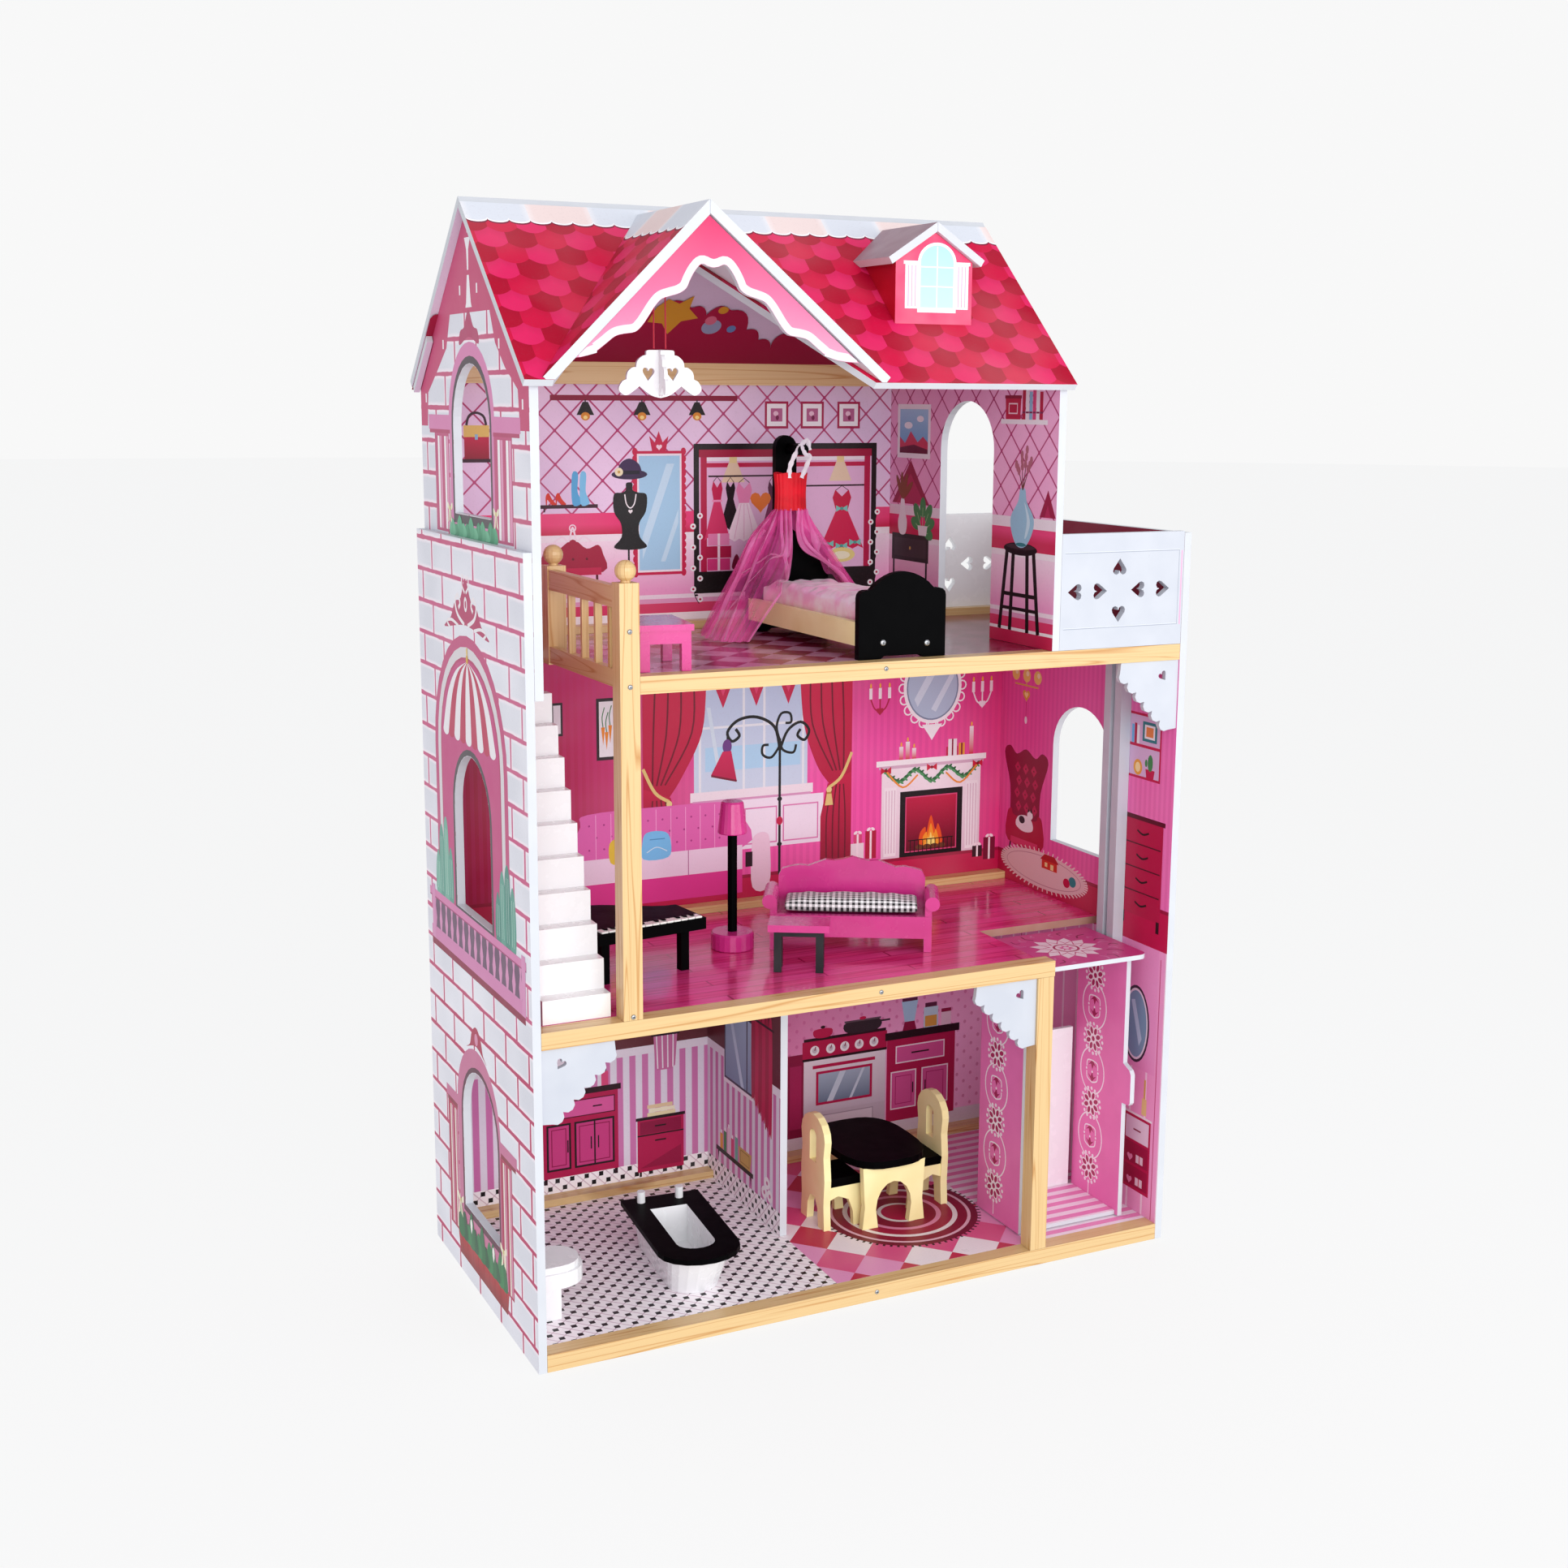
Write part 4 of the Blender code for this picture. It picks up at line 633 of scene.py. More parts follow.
facing("back_panel_ground", [(SOUTH, SIDE, ground_rear())], GREY_WHITE)
facing("partition_wall", [(WEST, SIDE, bath_side()), (EAST, SIDE, PANEL_PINK)], WHITE_EDGE)
facing("ground_floor", [(UP, SIDE, ground_floor_material())], GREY_WHITE)
facing("second_floor", [(UP, SIDE, lounge_floor()), (DOWN, SIDE, GREY_WHITE)],
       paint("bare_board_edge", "A87A68", roughness=0.6))
facing("third_floor", [(UP, SIDE, bedroom_floor())], GREY_WHITE)

FLAT = 0.98  # least cosine between a sloping face and its direction
slope_up = (0, -math.sin(SLOPE), math.cos(SLOPE))
rear_up = (0, math.sin(SLOPE), math.cos(SLOPE))
rear_down = (0, -math.sin(SLOPE), -math.cos(SLOPE))
front_down = (0, math.sin(SLOPE), -math.cos(SLOPE))
ATTIC = attic_material()
facing("roof_front", [(slope_up, FLAT, ROOF_PRINT), (front_down, FLAT, ATTIC)], WHITE_EDGE)
facing("roof_back", [(rear_up, FLAT, ROOF_PRINT), (rear_down, FLAT, ATTIC)], WHITE_EDGE)

APEX_X, APEX_Z = 0.190, 1.179
for gable, end_x, end_z in (("gable_roof_left", 0.0195, 1.0108), ("gable_roof_right", 0.3895, 1.0134)):
    look = gable_roof_material(gable + "_print", APEX_X, APEX_Z, end_x, end_z)
    outward = math.copysign(APEX_Z - end_z, end_x - APEX_X)
    rise = abs(end_x - APEX_X)
    facing(gable, [((outward, 0, rise), FLAT, look), ((-outward, 0, -rise), FLAT, GREY_WHITE)], WHITE_EDGE)

dormer_shade = paint("dormer_roof_print", "A98A97", "97707F", roughness=0.4)
for half, side in (("dormer_roof_left", -1), ("dormer_roof_right", 1)):
    facing(half, [((side * 0.54, 0, 0.84), 0.97, dormer_shade)], WHITE_EDGE)
facing("dormer_box", [(WEST, SIDE, RED_PAINT), (EAST, SIDE, RED_PAINT)],
       paint("dormer_face_paint", "E83A6C", roughness=0.4))


def bargeboard_material():
    """Rose at the top fading to pale pink at the ends."""
    s = Shader("bargeboard_print")
    tone = s.ramp(s.soft(s.z, 1.02, 1.16), [(0.0, "E99AB8"), (0.45, "E06C98"), (1.0, "D23066")])
    return print_finish(s, tone)


facing("gable_board", [(SOUTH, SIDE, bargeboard_material())], WHITE_EDGE)

all_over(PINE_X, "base_front_rail", "second_front_rail", "third_front_rail", "base_rear_rail",
         "second_rear_rail", "third_rear_rail", "top_rear_rail")
all_over(PINE_Z, "stair_post", "kitchen_post")
railing = NODES["stair_railing"].data
railing.materials.clear()
for look in (PINE_Y, PINE_Z):
    railing.materials.append(look)
newel_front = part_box("stair_railing")[1][1] - 0.0215
for polygon in railing.polygons:
    between = THIRD + 0.0125 < polygon.center.z < THIRD + 0.074
    polygon.material_index = int(between or polygon.center.y > newel_front)
smooth("stair_post", "stair_railing", angle=30)
all_over(WHITE, "balcony_front_panel", "bracket_left", "bracket_kitchen", "bracket_right", "elevator_guide")
all_over(FIXTURE, "balcony_rear_panel", "staircase", "chandelier", "elevator_back_panel", "toilet")
for panel in ("elevator_left_panel", "elevator_right_panel"):
    facing(panel, [(WEST, SIDE, PANEL_PINK), (EAST, SIDE, PANEL_PINK)], WHITE_EDGE)
facing("elevator_top", [(UP, SIDE, paint("elevator_top_print", "D2468E", "C83A84", roughness=0.35))],
       WHITE_EDGE)
striped = Shader("elevator_floor_print", 0.35)
bands = striped.mix(striped.y.striped(BAY_STRIPE), "F8E4F2", "EC86C0")
facing("elevator_floor", [(UP, SIDE, print_finish(striped, bands))], WHITE_EDGE)
all_over(BLACK, "bed_headboard", "bed_footboard", "piano")
all_over(CREAM, "bed_frame")
all_over(MAGENTA, "side_table", "sofa")
smooth("bed_headboard", "bathtub", "toilet", "floor_lamp", "sofa", "canopy_collar", "dining_table",
       "chair_left", "chair_right", "piano", angle=30)


def by_height(name, low, high, upper, lower):
    """Faces whose middle lies between two heights take one material, the rest the other."""
    mesh = NODES[name].data
    mesh.materials.clear()
    mesh.materials.append(lower)
    mesh.materials.append(upper)
    for polygon in mesh.polygons:
        polygon.material_index = int(low < polygon.center.z < high)


by_height("coffee_table", SECOND + 0.0468, 9, MAGENTA, DARK_GREY)
by_height("dining_table", GROUND + 0.0764, 9, BLACK, CREAM)
by_height("floor_lamp", SECOND + 0.0206, SECOND + 0.136, BLACK, MAGENTA)
by_height("bathtub", GROUND + 0.0488, GROUND + 0.0556, BLACK, FIXTURE)
for chair in ("chair_left", "chair_right"):
    by_height(chair, GROUND + 0.0517, GROUND + 0.0626, BLACK, CREAM)


# ---------------- printed pictures, drawn as thin coloured shapes

LAYER = 0.00002  # height of one layer of ink over the next


def ink_material():
    """Printing ink: each shape's own colour, with the paper's fleck and a satin varnish over it."""
    s = Shader("printing_ink", 0.4, Specular_IOR_Level=0.28)
    node = s.tree.nodes.new("ShaderNodeAttribute")
    node.attribute_name = "ink"
    fleck = s.soft(s.noise(420, detail=2), 0.56, 0.8)
    s.colour(s.mix(fleck * 0.08, node.outputs["Color"], "7A6070"))
    s.rough(s.noise(35, detail=3), 0.34, 0.50)
    s.bump(s.noise(650, detail=2), 0.06, 0.0003)
    return s.material


INK = ink_material()


def between(a, b, c, d, t):
    """A smooth step from b to c, leaning on the stops before and after."""
    bend, turn = 2 * a - 5 * b + 4 * c - d, 3 * b - a - 3 * c + d
    return 0.5 * (2 * b + (c - a) * t + bend * t * t + turn * t ** 3)


def curve(points, closed=False, steps=5):
    """A smooth curve through the points."""
    count = len(points)
    made = []
    for i in range(count if closed else count - 1):
        picks = [(i + k) % count if closed else min(max(i + k, 0), count - 1) for k in (-1, 0, 1, 2)]
        a, b, c, d = (points[k] for k in picks)
        for j in range(steps):
            made.append(tuple(between(a[k], b[k], c[k], d[k], j / steps) for k in (0, 1)))
    return made if closed else made + [tuple(points[-1])]


def oval(u, v, ru, rv, steps=20, start=0.0, sweep=360.0, tilt=0.0):
    lean = math.radians(tilt)
    whole = sweep >= 360
    made = []
    for i in range(steps if whole else steps + 1):
        a = math.radians(start + sweep * i / steps)
        du, dv = ru * math.cos(a), rv * math.sin(a)
        made.append((u + du * math.cos(lean) - dv * math.sin(lean),
                     v + du * math.sin(lean) + dv * math.cos(lean)))
    return made


def heart_outline(u, v, size, turned=0.0):
    made = []
    for i in range(20):
        t = 2 * math.pi * i / 20
        du = 0.5 * math.sin(t) ** 3
        dv = (13 * math.cos(t) - 5 * math.cos(2 * t) - 2 * math.cos(3 * t) - math.cos(4 * t)) / 32
        made.append((du * size, dv * size))
    c, s = math.cos(math.radians(turned)), math.sin(math.radians(turned))
    return [(u + x * c - y * s, v + x * s + y * c) for x, y in made]


def star_outline(u, v, outer, inner, points, turned=90.0):
    made = []
    for i in range(points * 2):
        a = math.radians(turned + 180 * i / points)
        r = inner if i % 2 else outer
        made.append((u + r * math.cos(a), v + r * math.sin(a)))
    return made


def arch_outline(centre, half, bottom, top, rise=1.0, steps=16):
    spring = top - half * rise
    made = [(centre - half, bottom), (centre + half, bottom)]
    return made + oval(centre, spring, half, half * rise, steps, 0, 180)


class Print:
    """Pictures on one surface, drawn in millimetres of house coordinates; place(u, v, out) takes metres."""

    def __init__(self, name, place, body="house"):
        self.name = name
        self.place = place
        self.body = body
        self.shapes = []

    def add(self, faces, code):
        us = [p[0] for outer, _ in faces for p in outer]
        vs = [p[1] for outer, _ in faces for p in outer]
        box = (min(us), min(vs), max(us), max(vs))
        under = [layer for layer, b, _, _ in self.shapes
                 if b[0] < box[2] and box[0] < b[2] and b[1] < box[3] and box[1] < b[3]]
        self.shapes.append((1 + max(under, default=0), box, faces, code))
        return self

    def poly(self, points, code, *holes):
        return self.add([(list(points), [list(hole) for hole in holes])], code)

    def rect(self, u0, v0, u1, v1, code):
        return self.poly([(u0, v0), (u1, v0), (u1, v1), (u0, v1)], code)

    def frame(self, u0, v0, u1, v1, width, code):
        inner = [(u0 + width, v0 + width), (u1 - width, v0 + width), (u1 - width, v1 - width),
                 (u0 + width, v1 - width)]
        return self.poly([(u0, v0), (u1, v0), (u1, v1), (u0, v1)], code, inner)

    def oval(self, u, v, ru, rv, code, **how):
        return self.poly(oval(u, v, ru, rv, **how), code)

    def ring(self, u, v, ru, rv, width, code, steps=28):
        return self.poly(oval(u, v, ru, rv, steps), code, oval(u, v, ru - width, rv - width, steps))

    def blob(self, points, code, steps=4):
        return self.poly(curve(points, True, steps), code)

    def heart(self, u, v, size, code, turned=0.0):
        return self.poly(heart_outline(u, v, size, turned), code)

    def line(self, points, width, code, closed=False):
        """A stroke of even width, as one quad for each stretch."""
        count = len(points)
        sides = []
        for i, (u, v) in enumerate(points):
            before = points[i - 1] if i or closed else points[i]
            after = points[(i + 1) % count] if i < count - 1 or closed else points[i]
            du, dv = after[0] - before[0], after[1] - before[1]
            size = math.hypot(du, dv) or 1.0
            nu, nv = -dv / size * width / 2, du / size * width / 2
            sides.append(((u + nu, v + nv), (u - nu, v - nv)))
        faces = []
        for i in range(count if closed else count - 1):
            (a, b), (c, d) = sides[i], sides[(i + 1) % count]
            faces.append(([a, b, d, c], []))
        return self.add(faces, code)

    def stroke(self, points, width, code, closed=False, steps=5):
        return self.line(curve(points, closed, steps), width, code, closed)

    def done(self):
        """Makes the mesh, coloured at its points, with every face turned the way the surface looks."""
        corners, faces, inks = [], [], []
        facing_to = self.place(0, 0, 1) - self.place(0, 0, 0)
        for layer, box, shape, code in self.shapes:
            low, high = code if isinstance(code, tuple) else (code, code)
            low, high = rgb(low), rgb(high)
            for outer, holes in shape:
                loops = [[Vector((u, v, 0)) for u, v in loop] for loop in (outer, *holes)]
                flat = [p for loop in loops for p in loop]
                first = len(corners)
                for p in flat:
                    corners.append(self.place(p.x / 1000, p.y / 1000, layer * LAYER))
                    t = min(max((p.y - box[1]) / max(box[3] - box[1], 1e-6), 0), 1)
                    inks.append([a + (b - a) * t for a, b in zip(low, high)])
                if len(outer) == 4 and not holes:
                    pieces = [(0, 1, 2, 3)]
                else:
                    pieces = tessellate(loops)
                for piece in pieces:
                    face = [first + k for k in piece]
                    normal = (corners[face[1]] - corners[face[0]]).cross(corners[face[2]] - corners[face[0]])
                    if normal.length < 1e-12:
                        continue
                    if normal.dot(facing_to) < 0:
                        face.reverse()
                    faces.append(face)
        mesh = bpy.data.meshes.new(self.name)
        mesh.from_pydata(corners, [], faces)
        store = mesh.color_attributes.new("ink", "FLOAT_COLOR", "POINT")
        store.data.foreach_set("color", [c for ink in inks for c in ink])
        mesh.materials.append(INK)
        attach(placed(self.name, mesh), self.body)


def on_front(node):
    """The face of a node that looks out of the house's front; u is x and v is z."""
    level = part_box(node)[0][1] - FRONT
    return lambda u, v, out: at(u, level - out, v)


def on_left(node):
    """The face of a node that looks left; u is y and v is z."""
    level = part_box(node)[0][0] - LEFT
    return lambda u, v, out: at(level - out, u, v)


def on_top(node):
    """The face of a node that looks up; u is x and v is y."""
    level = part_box(node)[1][2]
    return lambda u, v, out: at(u, v, level + out)


# Bedroom, back wall
p = Print("bedroom_rear_pictures", on_front("back_panel_third"))
p.rect(158, 988, 393, 994.2, "8A1038")
for x in (200.7, 270.7, 340.7):
    p.rect(x - 0.8, 982, x + 0.8, 989, "1B1214")
    p.poly([(x - 3.2, 986.5), (x + 3.2, 986.5), (x + 10.8, 971.5), (x - 10.8, 971.5)], "1B1214")
    p.oval(x, 970, 5.6, 4.8, "D98A2B")
    p.oval(x, 968.8, 2.6, 2.2, "FBE08A")
for x in (445, 493.2, 543.2):
    p.rect(x - 15.7, 955.6, x + 15.7, 988, "A9154A").rect(x - 12.8, 958.5, x + 12.8, 985.1, "F6F2F6")
    p.rect(x - 7.8, 964, x + 7.8, 979.7, "B8628F")
    p.oval(x - 1, 973.5, 3.4, 3, "EFC6DA").oval(x + 1, 968.5, 2.2, 3, "7A1B4C")
# wall mirror with a beaded crimson rim and a crown
for k in range(18):
    z = 786.5 + 8.4 * k
    p.oval(261.2, z, 3.4, 4.6, "C8164A", steps=10).oval(322.8, z, 3.4, 4.6, "C8164A", steps=10)
p.rect(260.8, 784.5, 323.2, 930, "C8164A").rect(263.8, 787.8, 320.2, 926.8, "F3E6F0")
p.rect(266, 790.2, 318, 924.4, "A6D0EC")
p.poly([(270, 830), (301, 915), (311, 915), (270, 803)], "C5E2F5")
p.poly([(293, 800), (316, 862), (316, 846), (299, 800)], "C5E2F5")
p.poly([(283, 930), (279.5, 947.5), (286.5, 940), (291.5, 953), (296.5, 940), (304, 947.5), (300.5, 930)],
       "C8164A")
p.heart(292, 934.5, 7.5, "F6D7E5")
# handbag on a shelf, seen through the gable window
p.rect(45, 918.5, 98, 922.5, "3A1226").rect(56, 922.5, 85, 947, ("8E1230", "C2204A"))
p.rect(55.5, 947, 85.5, 960, "E3C06A").rect(68.5, 944, 72, 950, "8FB9D6")
p.stroke([(59, 960), (62, 970), (70, 974), (79, 970), (82, 960)], 2.8, "3A2430")
# open wardrobe
p.rect(336, 760, 583, 782, "15090D").rect(336, 782, 583, 938, "1A0A10")
p.rect(343, 786, 576, 931, "E8B8DC").rect(343, 922, 576, 931, "A5143F")
p.rect(345, 786, 353, 922, "B81548").rect(566, 786, 574, 922, "B81548")
p.rect(353, 917.5, 566, 921.8, "F3E8F0").rect(353, 910, 566, 915.2, "C4154A")
for x, z in ((387.5, 918), (532.5, 918)):
    p.poly([(x - 4.5, z), (x + 4.5, z), (x + 15.5, z - 26), (x - 15.5, z - 26)], "EBD0B4")
    p.rect(x - 5, z - 3, x + 5, z + 4, "EBD39A")
p.rect(355, 898.5, 470, 900.5, "2A1018").rect(475, 885.5, 566, 887.5, "2A1018")


def dress(p, x, z, wide, tall, code, skirt=None):
    """A frock on a hanger: straps, bodice, waist and a flared skirt."""
    w = wide / 2
    p.line([(x - w * 0.3, z), (x, z + 6), (x + w * 0.3, z)], 0.9, "3A1A20")
    p.poly([(x - w * 0.30, z + 1), (x - w * 0.42, z - tall * 0.12), (x - w * 0.26, z - tall * 0.34),
            (x + w * 0.26, z - tall * 0.34), (x + w * 0.42, z - tall * 0.12), (x + w * 0.30, z + 1),
            (x, z - tall * 0.10)], code)
    hem = [(x + w - wide * k / 8, z - tall + (3.5 if k % 2 else 0.0)) for k in range(9)]
    p.poly([(x - w * 0.26, z - tall * 0.34), *reversed(hem), (x + w * 0.26, z - tall * 0.34)],
           skirt or code)


dress(p, 384, 892, 30, 58, "1E0A16")
dress(p, 366.5, 893, 34, 70, "C81850", "D83468")
p.rect(360, 869, 373, 871.5, "F090BC")
dress(p, 402, 891, 50, 70, "F08CBC", "FBE2F0")
for k in (-1, 0, 1):
    p.line([(402 + 4 * k, 866), (402 + 13 * k, 824)], 0.9, "EBB4D4")
dress(p, 440, 892, 30, 60, "5A1240", "7C1E54")
p.heart(424, 869, 28, "F07B2B")
dress(p, 460, 890, 30, 55, "E48DB9")
for k, (wide, code) in enumerate(((30, "D6377B"), (33, "B31647"), (28, "E884B4"))):
    z = 787 + 15 * k
    p.rect(368.5 - wide / 2, z, 368.5 + wide / 2, z + 14.2, code)
    p.rect(367, z, 370.2, z + 14.2, "F6DDEA")
for x in (393, 407, 421):
    p.blob([(x - 6, 788), (x - 6, 797), (x - 1, 806), (x + 4, 798), (x + 7.5, 788)], "7C1238")
dress(p, 535, 880, 62, 72, "C81243", "D21B4E")
for x, z in ((535, 858), (516, 815), (535, 812), (554, 816)):
    p.poly([(x - 8, z + 4), (x, z), (x - 8, z - 4)], "7CC7BE")
    p.poly([(x + 8, z + 4), (x, z), (x + 8, z - 4)], "7CC7BE").oval(x, z, 2.2, 2.2, "4E9D94")
p.oval(535, 801, 19, 9, "EAD68A").oval(535, 800.5, 12, 5, "F6EDD0")
for side in (339.5, 580.5):
    p.stroke([(side + 3 * (-1) ** k, 748 + 12.5 * k) for k in range(10)], 1.1, "1B1214")
    for k in range(9):
        x, z = side + 4.5 * (-1) ** k, 753 + 12.5 * k
        p.oval(x, z, 3.8, 3.6, "F3EEF2", steps=10).oval(x, z, 1.6, 1.5, "B7154A", steps=8)
        p.oval(x - 5 * (-1) ** k, z + 5, 2.6, 1.3, "1B1214", steps=8)
# shelf with shoes and boots
p.rect(144, 865, 214.5, 869.2, "3A1226").rect(148, 861, 150, 865, "3A1226")
for x in (151, 163):
    p.poly(curve([(x, 869.2), (x, 879), (x + 3.5, 883), (x + 7.5, 876), (x + 12.5, 870.5)])
           + [(x + 12.5, 869.2), (x + 7, 869.2), (x + 1.8, 875.5), (x + 1.2, 869.2)], "D2301F")
for x in (185.5, 195.5):
    p.blob([(x - 2.2, 870), (x - 2.2, 904), (x + 5, 904.8), (x + 4.2, 885), (x + 7.5, 876),
            (x + 8.5, 869.8)], "58A9DA" if x < 190 else "7DC4EC")
# settee with a scrolled crest
p.blob([(146, 790), (146, 812), (152, 822), (165, 818), (183, 829), (200, 818), (214, 822), (220, 812),
        (220, 790)], "A5133C")
p.rect(148, 787, 218, 795.5, "C21B4C").rect(152, 779, 155, 787, "5A0C22")
p.rect(211, 779, 214, 787, "5A0C22")
for x in (166, 183, 200):
    p.oval(x, 806, 1.6, 1.6, "6A0C28", steps=8)
p.stroke([(160, 826), (170, 832), (178, 827), (183, 843), (188, 827), (196, 832), (206, 826)], 2.2,
         "F2DCE8")
p.ring(183, 842, 4.5, 4.5, 1.4, "F2DCE8", 14)
# dressmaker's form with a necklace and a sun hat
p.rect(251.4, 756, 253.8, 820, "160C12").rect(243, 754.5, 262, 757, "160C12")
p.blob([(234, 818), (243.5, 830), (243, 846), (234.5, 860), (234.5, 880), (244, 882), (249.5, 885),
        (250, 893), (257.5, 893), (258, 885), (265, 882), (275.5, 879), (274.5, 860), (266, 846),
        (266.5, 830), (275.5, 818), (255, 815)], "120D12")
p.stroke([(248, 880), (250, 869), (255, 864), (260, 869), (262.2, 880)], 1.4, "EFE9EC")
p.heart(255, 860, 5.5, "EFE9EC")
p.oval(254.2, 903, 22.5, 5.8, "352046")
p.blob([(242, 903), (242.5, 915), (254, 921.5), (266.5, 914.5), (267, 903)], "3E2450")
p.rect(241.8, 903, 267.2, 907.5, "1C1228").oval(241, 906, 5.2, 5, "EFE4BE", steps=12)
p.oval(241, 906, 1.8, 1.8, "C9A24A", steps=8)
p.done()

# Bedroom, right wall
p = Print("bedroom_side_pictures", on_left("upper_right_wall"))
p.rect(22, 965, 117, 970.2, "F3EEF3")
for k, code in enumerate(("B5173F", "EFE7EE", "D9487A", "8FB9D6", "EFE7EE", "B5173F")):
    p.rect(32 + 7 * k, 970.2, 38.3 + 7 * k, 1000.5 + 3.5 * (k % 3), code)
    p.rect(32 + 7 * k, 977, 38.3 + 7 * k, 979, "7A2A50")
p.poly([(77.5, 970.2), (107, 970.2), (108.5, 994.5), (76, 994.5)], "C01A44")
p.frame(83, 976, 101.5, 988, 1.4, "F3D6E0").rect(75, 993, 109.5, 996.5, "8E1236")
p.rect(275, 920.5, 356, 985.5, "F6F4F8").rect(281, 926.5, 350, 979.5, ("5FA6D8", "A9D6F2"))
p.oval(300, 968, 8.5, 3.8, "F4FAFF").oval(329, 960, 10, 4.2, "F4FAFF")
p.poly([(281, 926.5), (350, 926.5), (350, 946), (337, 938.5), (323, 953), (306, 940), (293, 947),
        (281, 940)], "CF3F5E")
p.poly([(281, 926.5), (350, 926.5), (350, 933), (315, 937), (281, 931.5)], "6A1838")
for apex, low, high in (((321.5, 918), 276, 367), ((17, 895), 1, 33)):
    p.poly([(low, 865), (high, 865), apex], "9C1D45")
    p.poly([(low + 10, 865), (high - 10, 865), (apex[0], apex[1] - 16)], "B52C58")
p.rect(275, 795, 366, 828, "1D1216").rect(281, 800, 360, 822.5, "34242A")
p.oval(320.5, 811, 2.2, 2.2, "C9A24A", steps=8)
for y in (280, 361):
    p.rect(y - 2.2, 768, y + 2.2, 795, "1D1216")
p.blob([(333, 828), (329, 842), (334, 856), (336.5, 870), (344.5, 870), (346.5, 856), (351.5, 842),
        (347, 828)], "F2F0F4")
for tilt in (60, 85, 110, 140):
    a = math.radians(tilt)
    p.oval(340.5 + 16 * math.cos(a), 871 + 16 * math.sin(a), 16.5, 4.2, "8C4A2E", tilt=tilt)
for tilt, reach in ((20, 18), (55, 24), (90, 26), (125, 24), (160, 18), (200, 14)):
    a = math.radians(tilt)
    u, v = 290 + reach * math.cos(a), 828 + reach * math.sin(a) + 8
    p.oval(u, v, 12.5, 7.2, "3E8A4E", tilt=tilt).line([(290, 832), (u, v)], 0.8, "A9D39A")
p.poly([(281, 828), (299, 828), (302, 840), (278, 840)], "E9E2E6")
for a, b in ((43, 30), (56, 52), (84, 88), (97, 110)):
    p.line([(a, 826), (b, 735)], 6.8, "0C080A")
p.line([(38.5, 776), (101.5, 776)], 4.4, "0C080A").line([(35, 760), (105, 760)], 3.8, "0C080A")
p.oval(70, 827.5, 34.5, 7.2, "0C080A").oval(70, 830, 30, 3, "3A2A30")
p.blob([(60, 831), (46, 848), (45, 864), (59, 880), (63, 894), (73, 894), (77, 880), (90.5, 864), (90, 848),
        (78, 831)], "9CC9E0")
p.blob([(52, 860), (56, 845), (62, 840), (58, 860), (64, 880)], "C9E6F2")
p.oval(69, 832.5, 10.5, 2.2, "2E7F87")
for lean, high in ((-16, 926), (-7, 938), (3, 932), (14, 921)):
    p.stroke([(68, 893), (68 + lean * 0.5, 910), (68 + lean, high)], 1.4, "6B3A2A")
    for k in range(3):
        p.oval(68 + lean * (0.6 + 0.2 * k), 908 + (high - 908) * (0.45 + 0.27 * k), 3.2, 5, "B56A7C",
               steps=8)
p.done()

# Living room, back wall
p = Print("lounge_rear_pictures", on_front("back_panel_second"))
p.rect(153, 598, 167, 638, "2A1520").rect(155.5, 601, 164.5, 635, "E7DDE6")
p.rect(209, 565, 234.5, 640, "2A1520").rect(212.5, 569, 231, 636, "EFE9EF")
for u, low in ((217.5, 583), (222, 577), (226.5, 585)):
    p.poly([(u - 2.4, low + 22), (u + 2.4, low + 22), (u, low)], "E9892B")
    p.stroke([(u, low + 22), (u - 1, low + 34), (u + 2, low + 46)], 1.2, "3E7D46")
p.poly([(335, 515), (490, 515), (490, 656), (335, 656)], ("CFDDF0", "BFD0EC"))
p.rect(350, 540, 480, 570, "B2DAF6")
for u in (343, 402, 430, 484):
    p.rect(u - 1.6, 515, u + 1.6, 656, "E9EEF5")
p.rect(343, 593, 484, 596, "E9EEF5")
p.poly([(352, 620), (357, 620), (370, 545), (365, 545)], "D5E6F4")
p.rect(330, 503, 498, 515, "F3E6EF").rect(333, 501, 495, 504, "D99AC2")
p.rect(397, 438, 513, 501, "F4E6F5").frame(403, 443, 448, 490, 1.8, "DC7CB4")
p.frame(456, 443, 506, 490, 1.8, "DC7CB4")
for u in (318, 374, 419, 463, 508):
    p.poly([(u - 15.5, 656), (u + 15.5, 656), (u, 618)], "C9154C")
    p.poly([(u - 9, 656), (u + 9, 656), (u, 633)], "E23E72")


def drape(p, outer, inner, tie, low, side):
    """A swagged curtain drawn back to its tie, with folds; side is +1 where it hangs right of the window."""
    top = 656
    edge = [(inner, top), (inner + side * 6, 590), (tie - side * 18, 538), (tie, 512)]
    p.poly([(outer, top), *curve(edge), (tie + side * 10, 504), (outer, 520)], ("B40C3C", "D2184C"))
    p.poly([(outer, 525), (tie - side * 2, 512), (tie - side * 12, 470), (tie - side * 12, low),
            (outer, low)], ("980A34", "C81446"))
    for k in range(1, 5):
        t = k / 5
        u = inner + (outer - inner) * t
        p.stroke([(u, top), (u + side * 3, 590), (tie + (outer - tie) * t * 0.8, 528)], 2.2, "740628")
        u = tie - side * 12 + (outer - tie + side * 12) * t
        p.stroke([(tie + (outer - tie) * t * 0.8, 510), (u, 470), (u, low)], 2, "6E0626")
    p.stroke([(outer, 550), (outer + (tie - outer) * 0.45, 520), (tie, 507)], 4, "E3C77F")
    p.oval(tie, 504, 3.8, 4.2, "E9D390")
    p.poly([(tie - 3, 501), (tie + 3, 501), (tie + 5.8, 484), (tie - 5.8, 484)], "E3C77F")
    p.rect(tie - 3.2, 498.5, tie + 3.2, 501, "B58F3E")


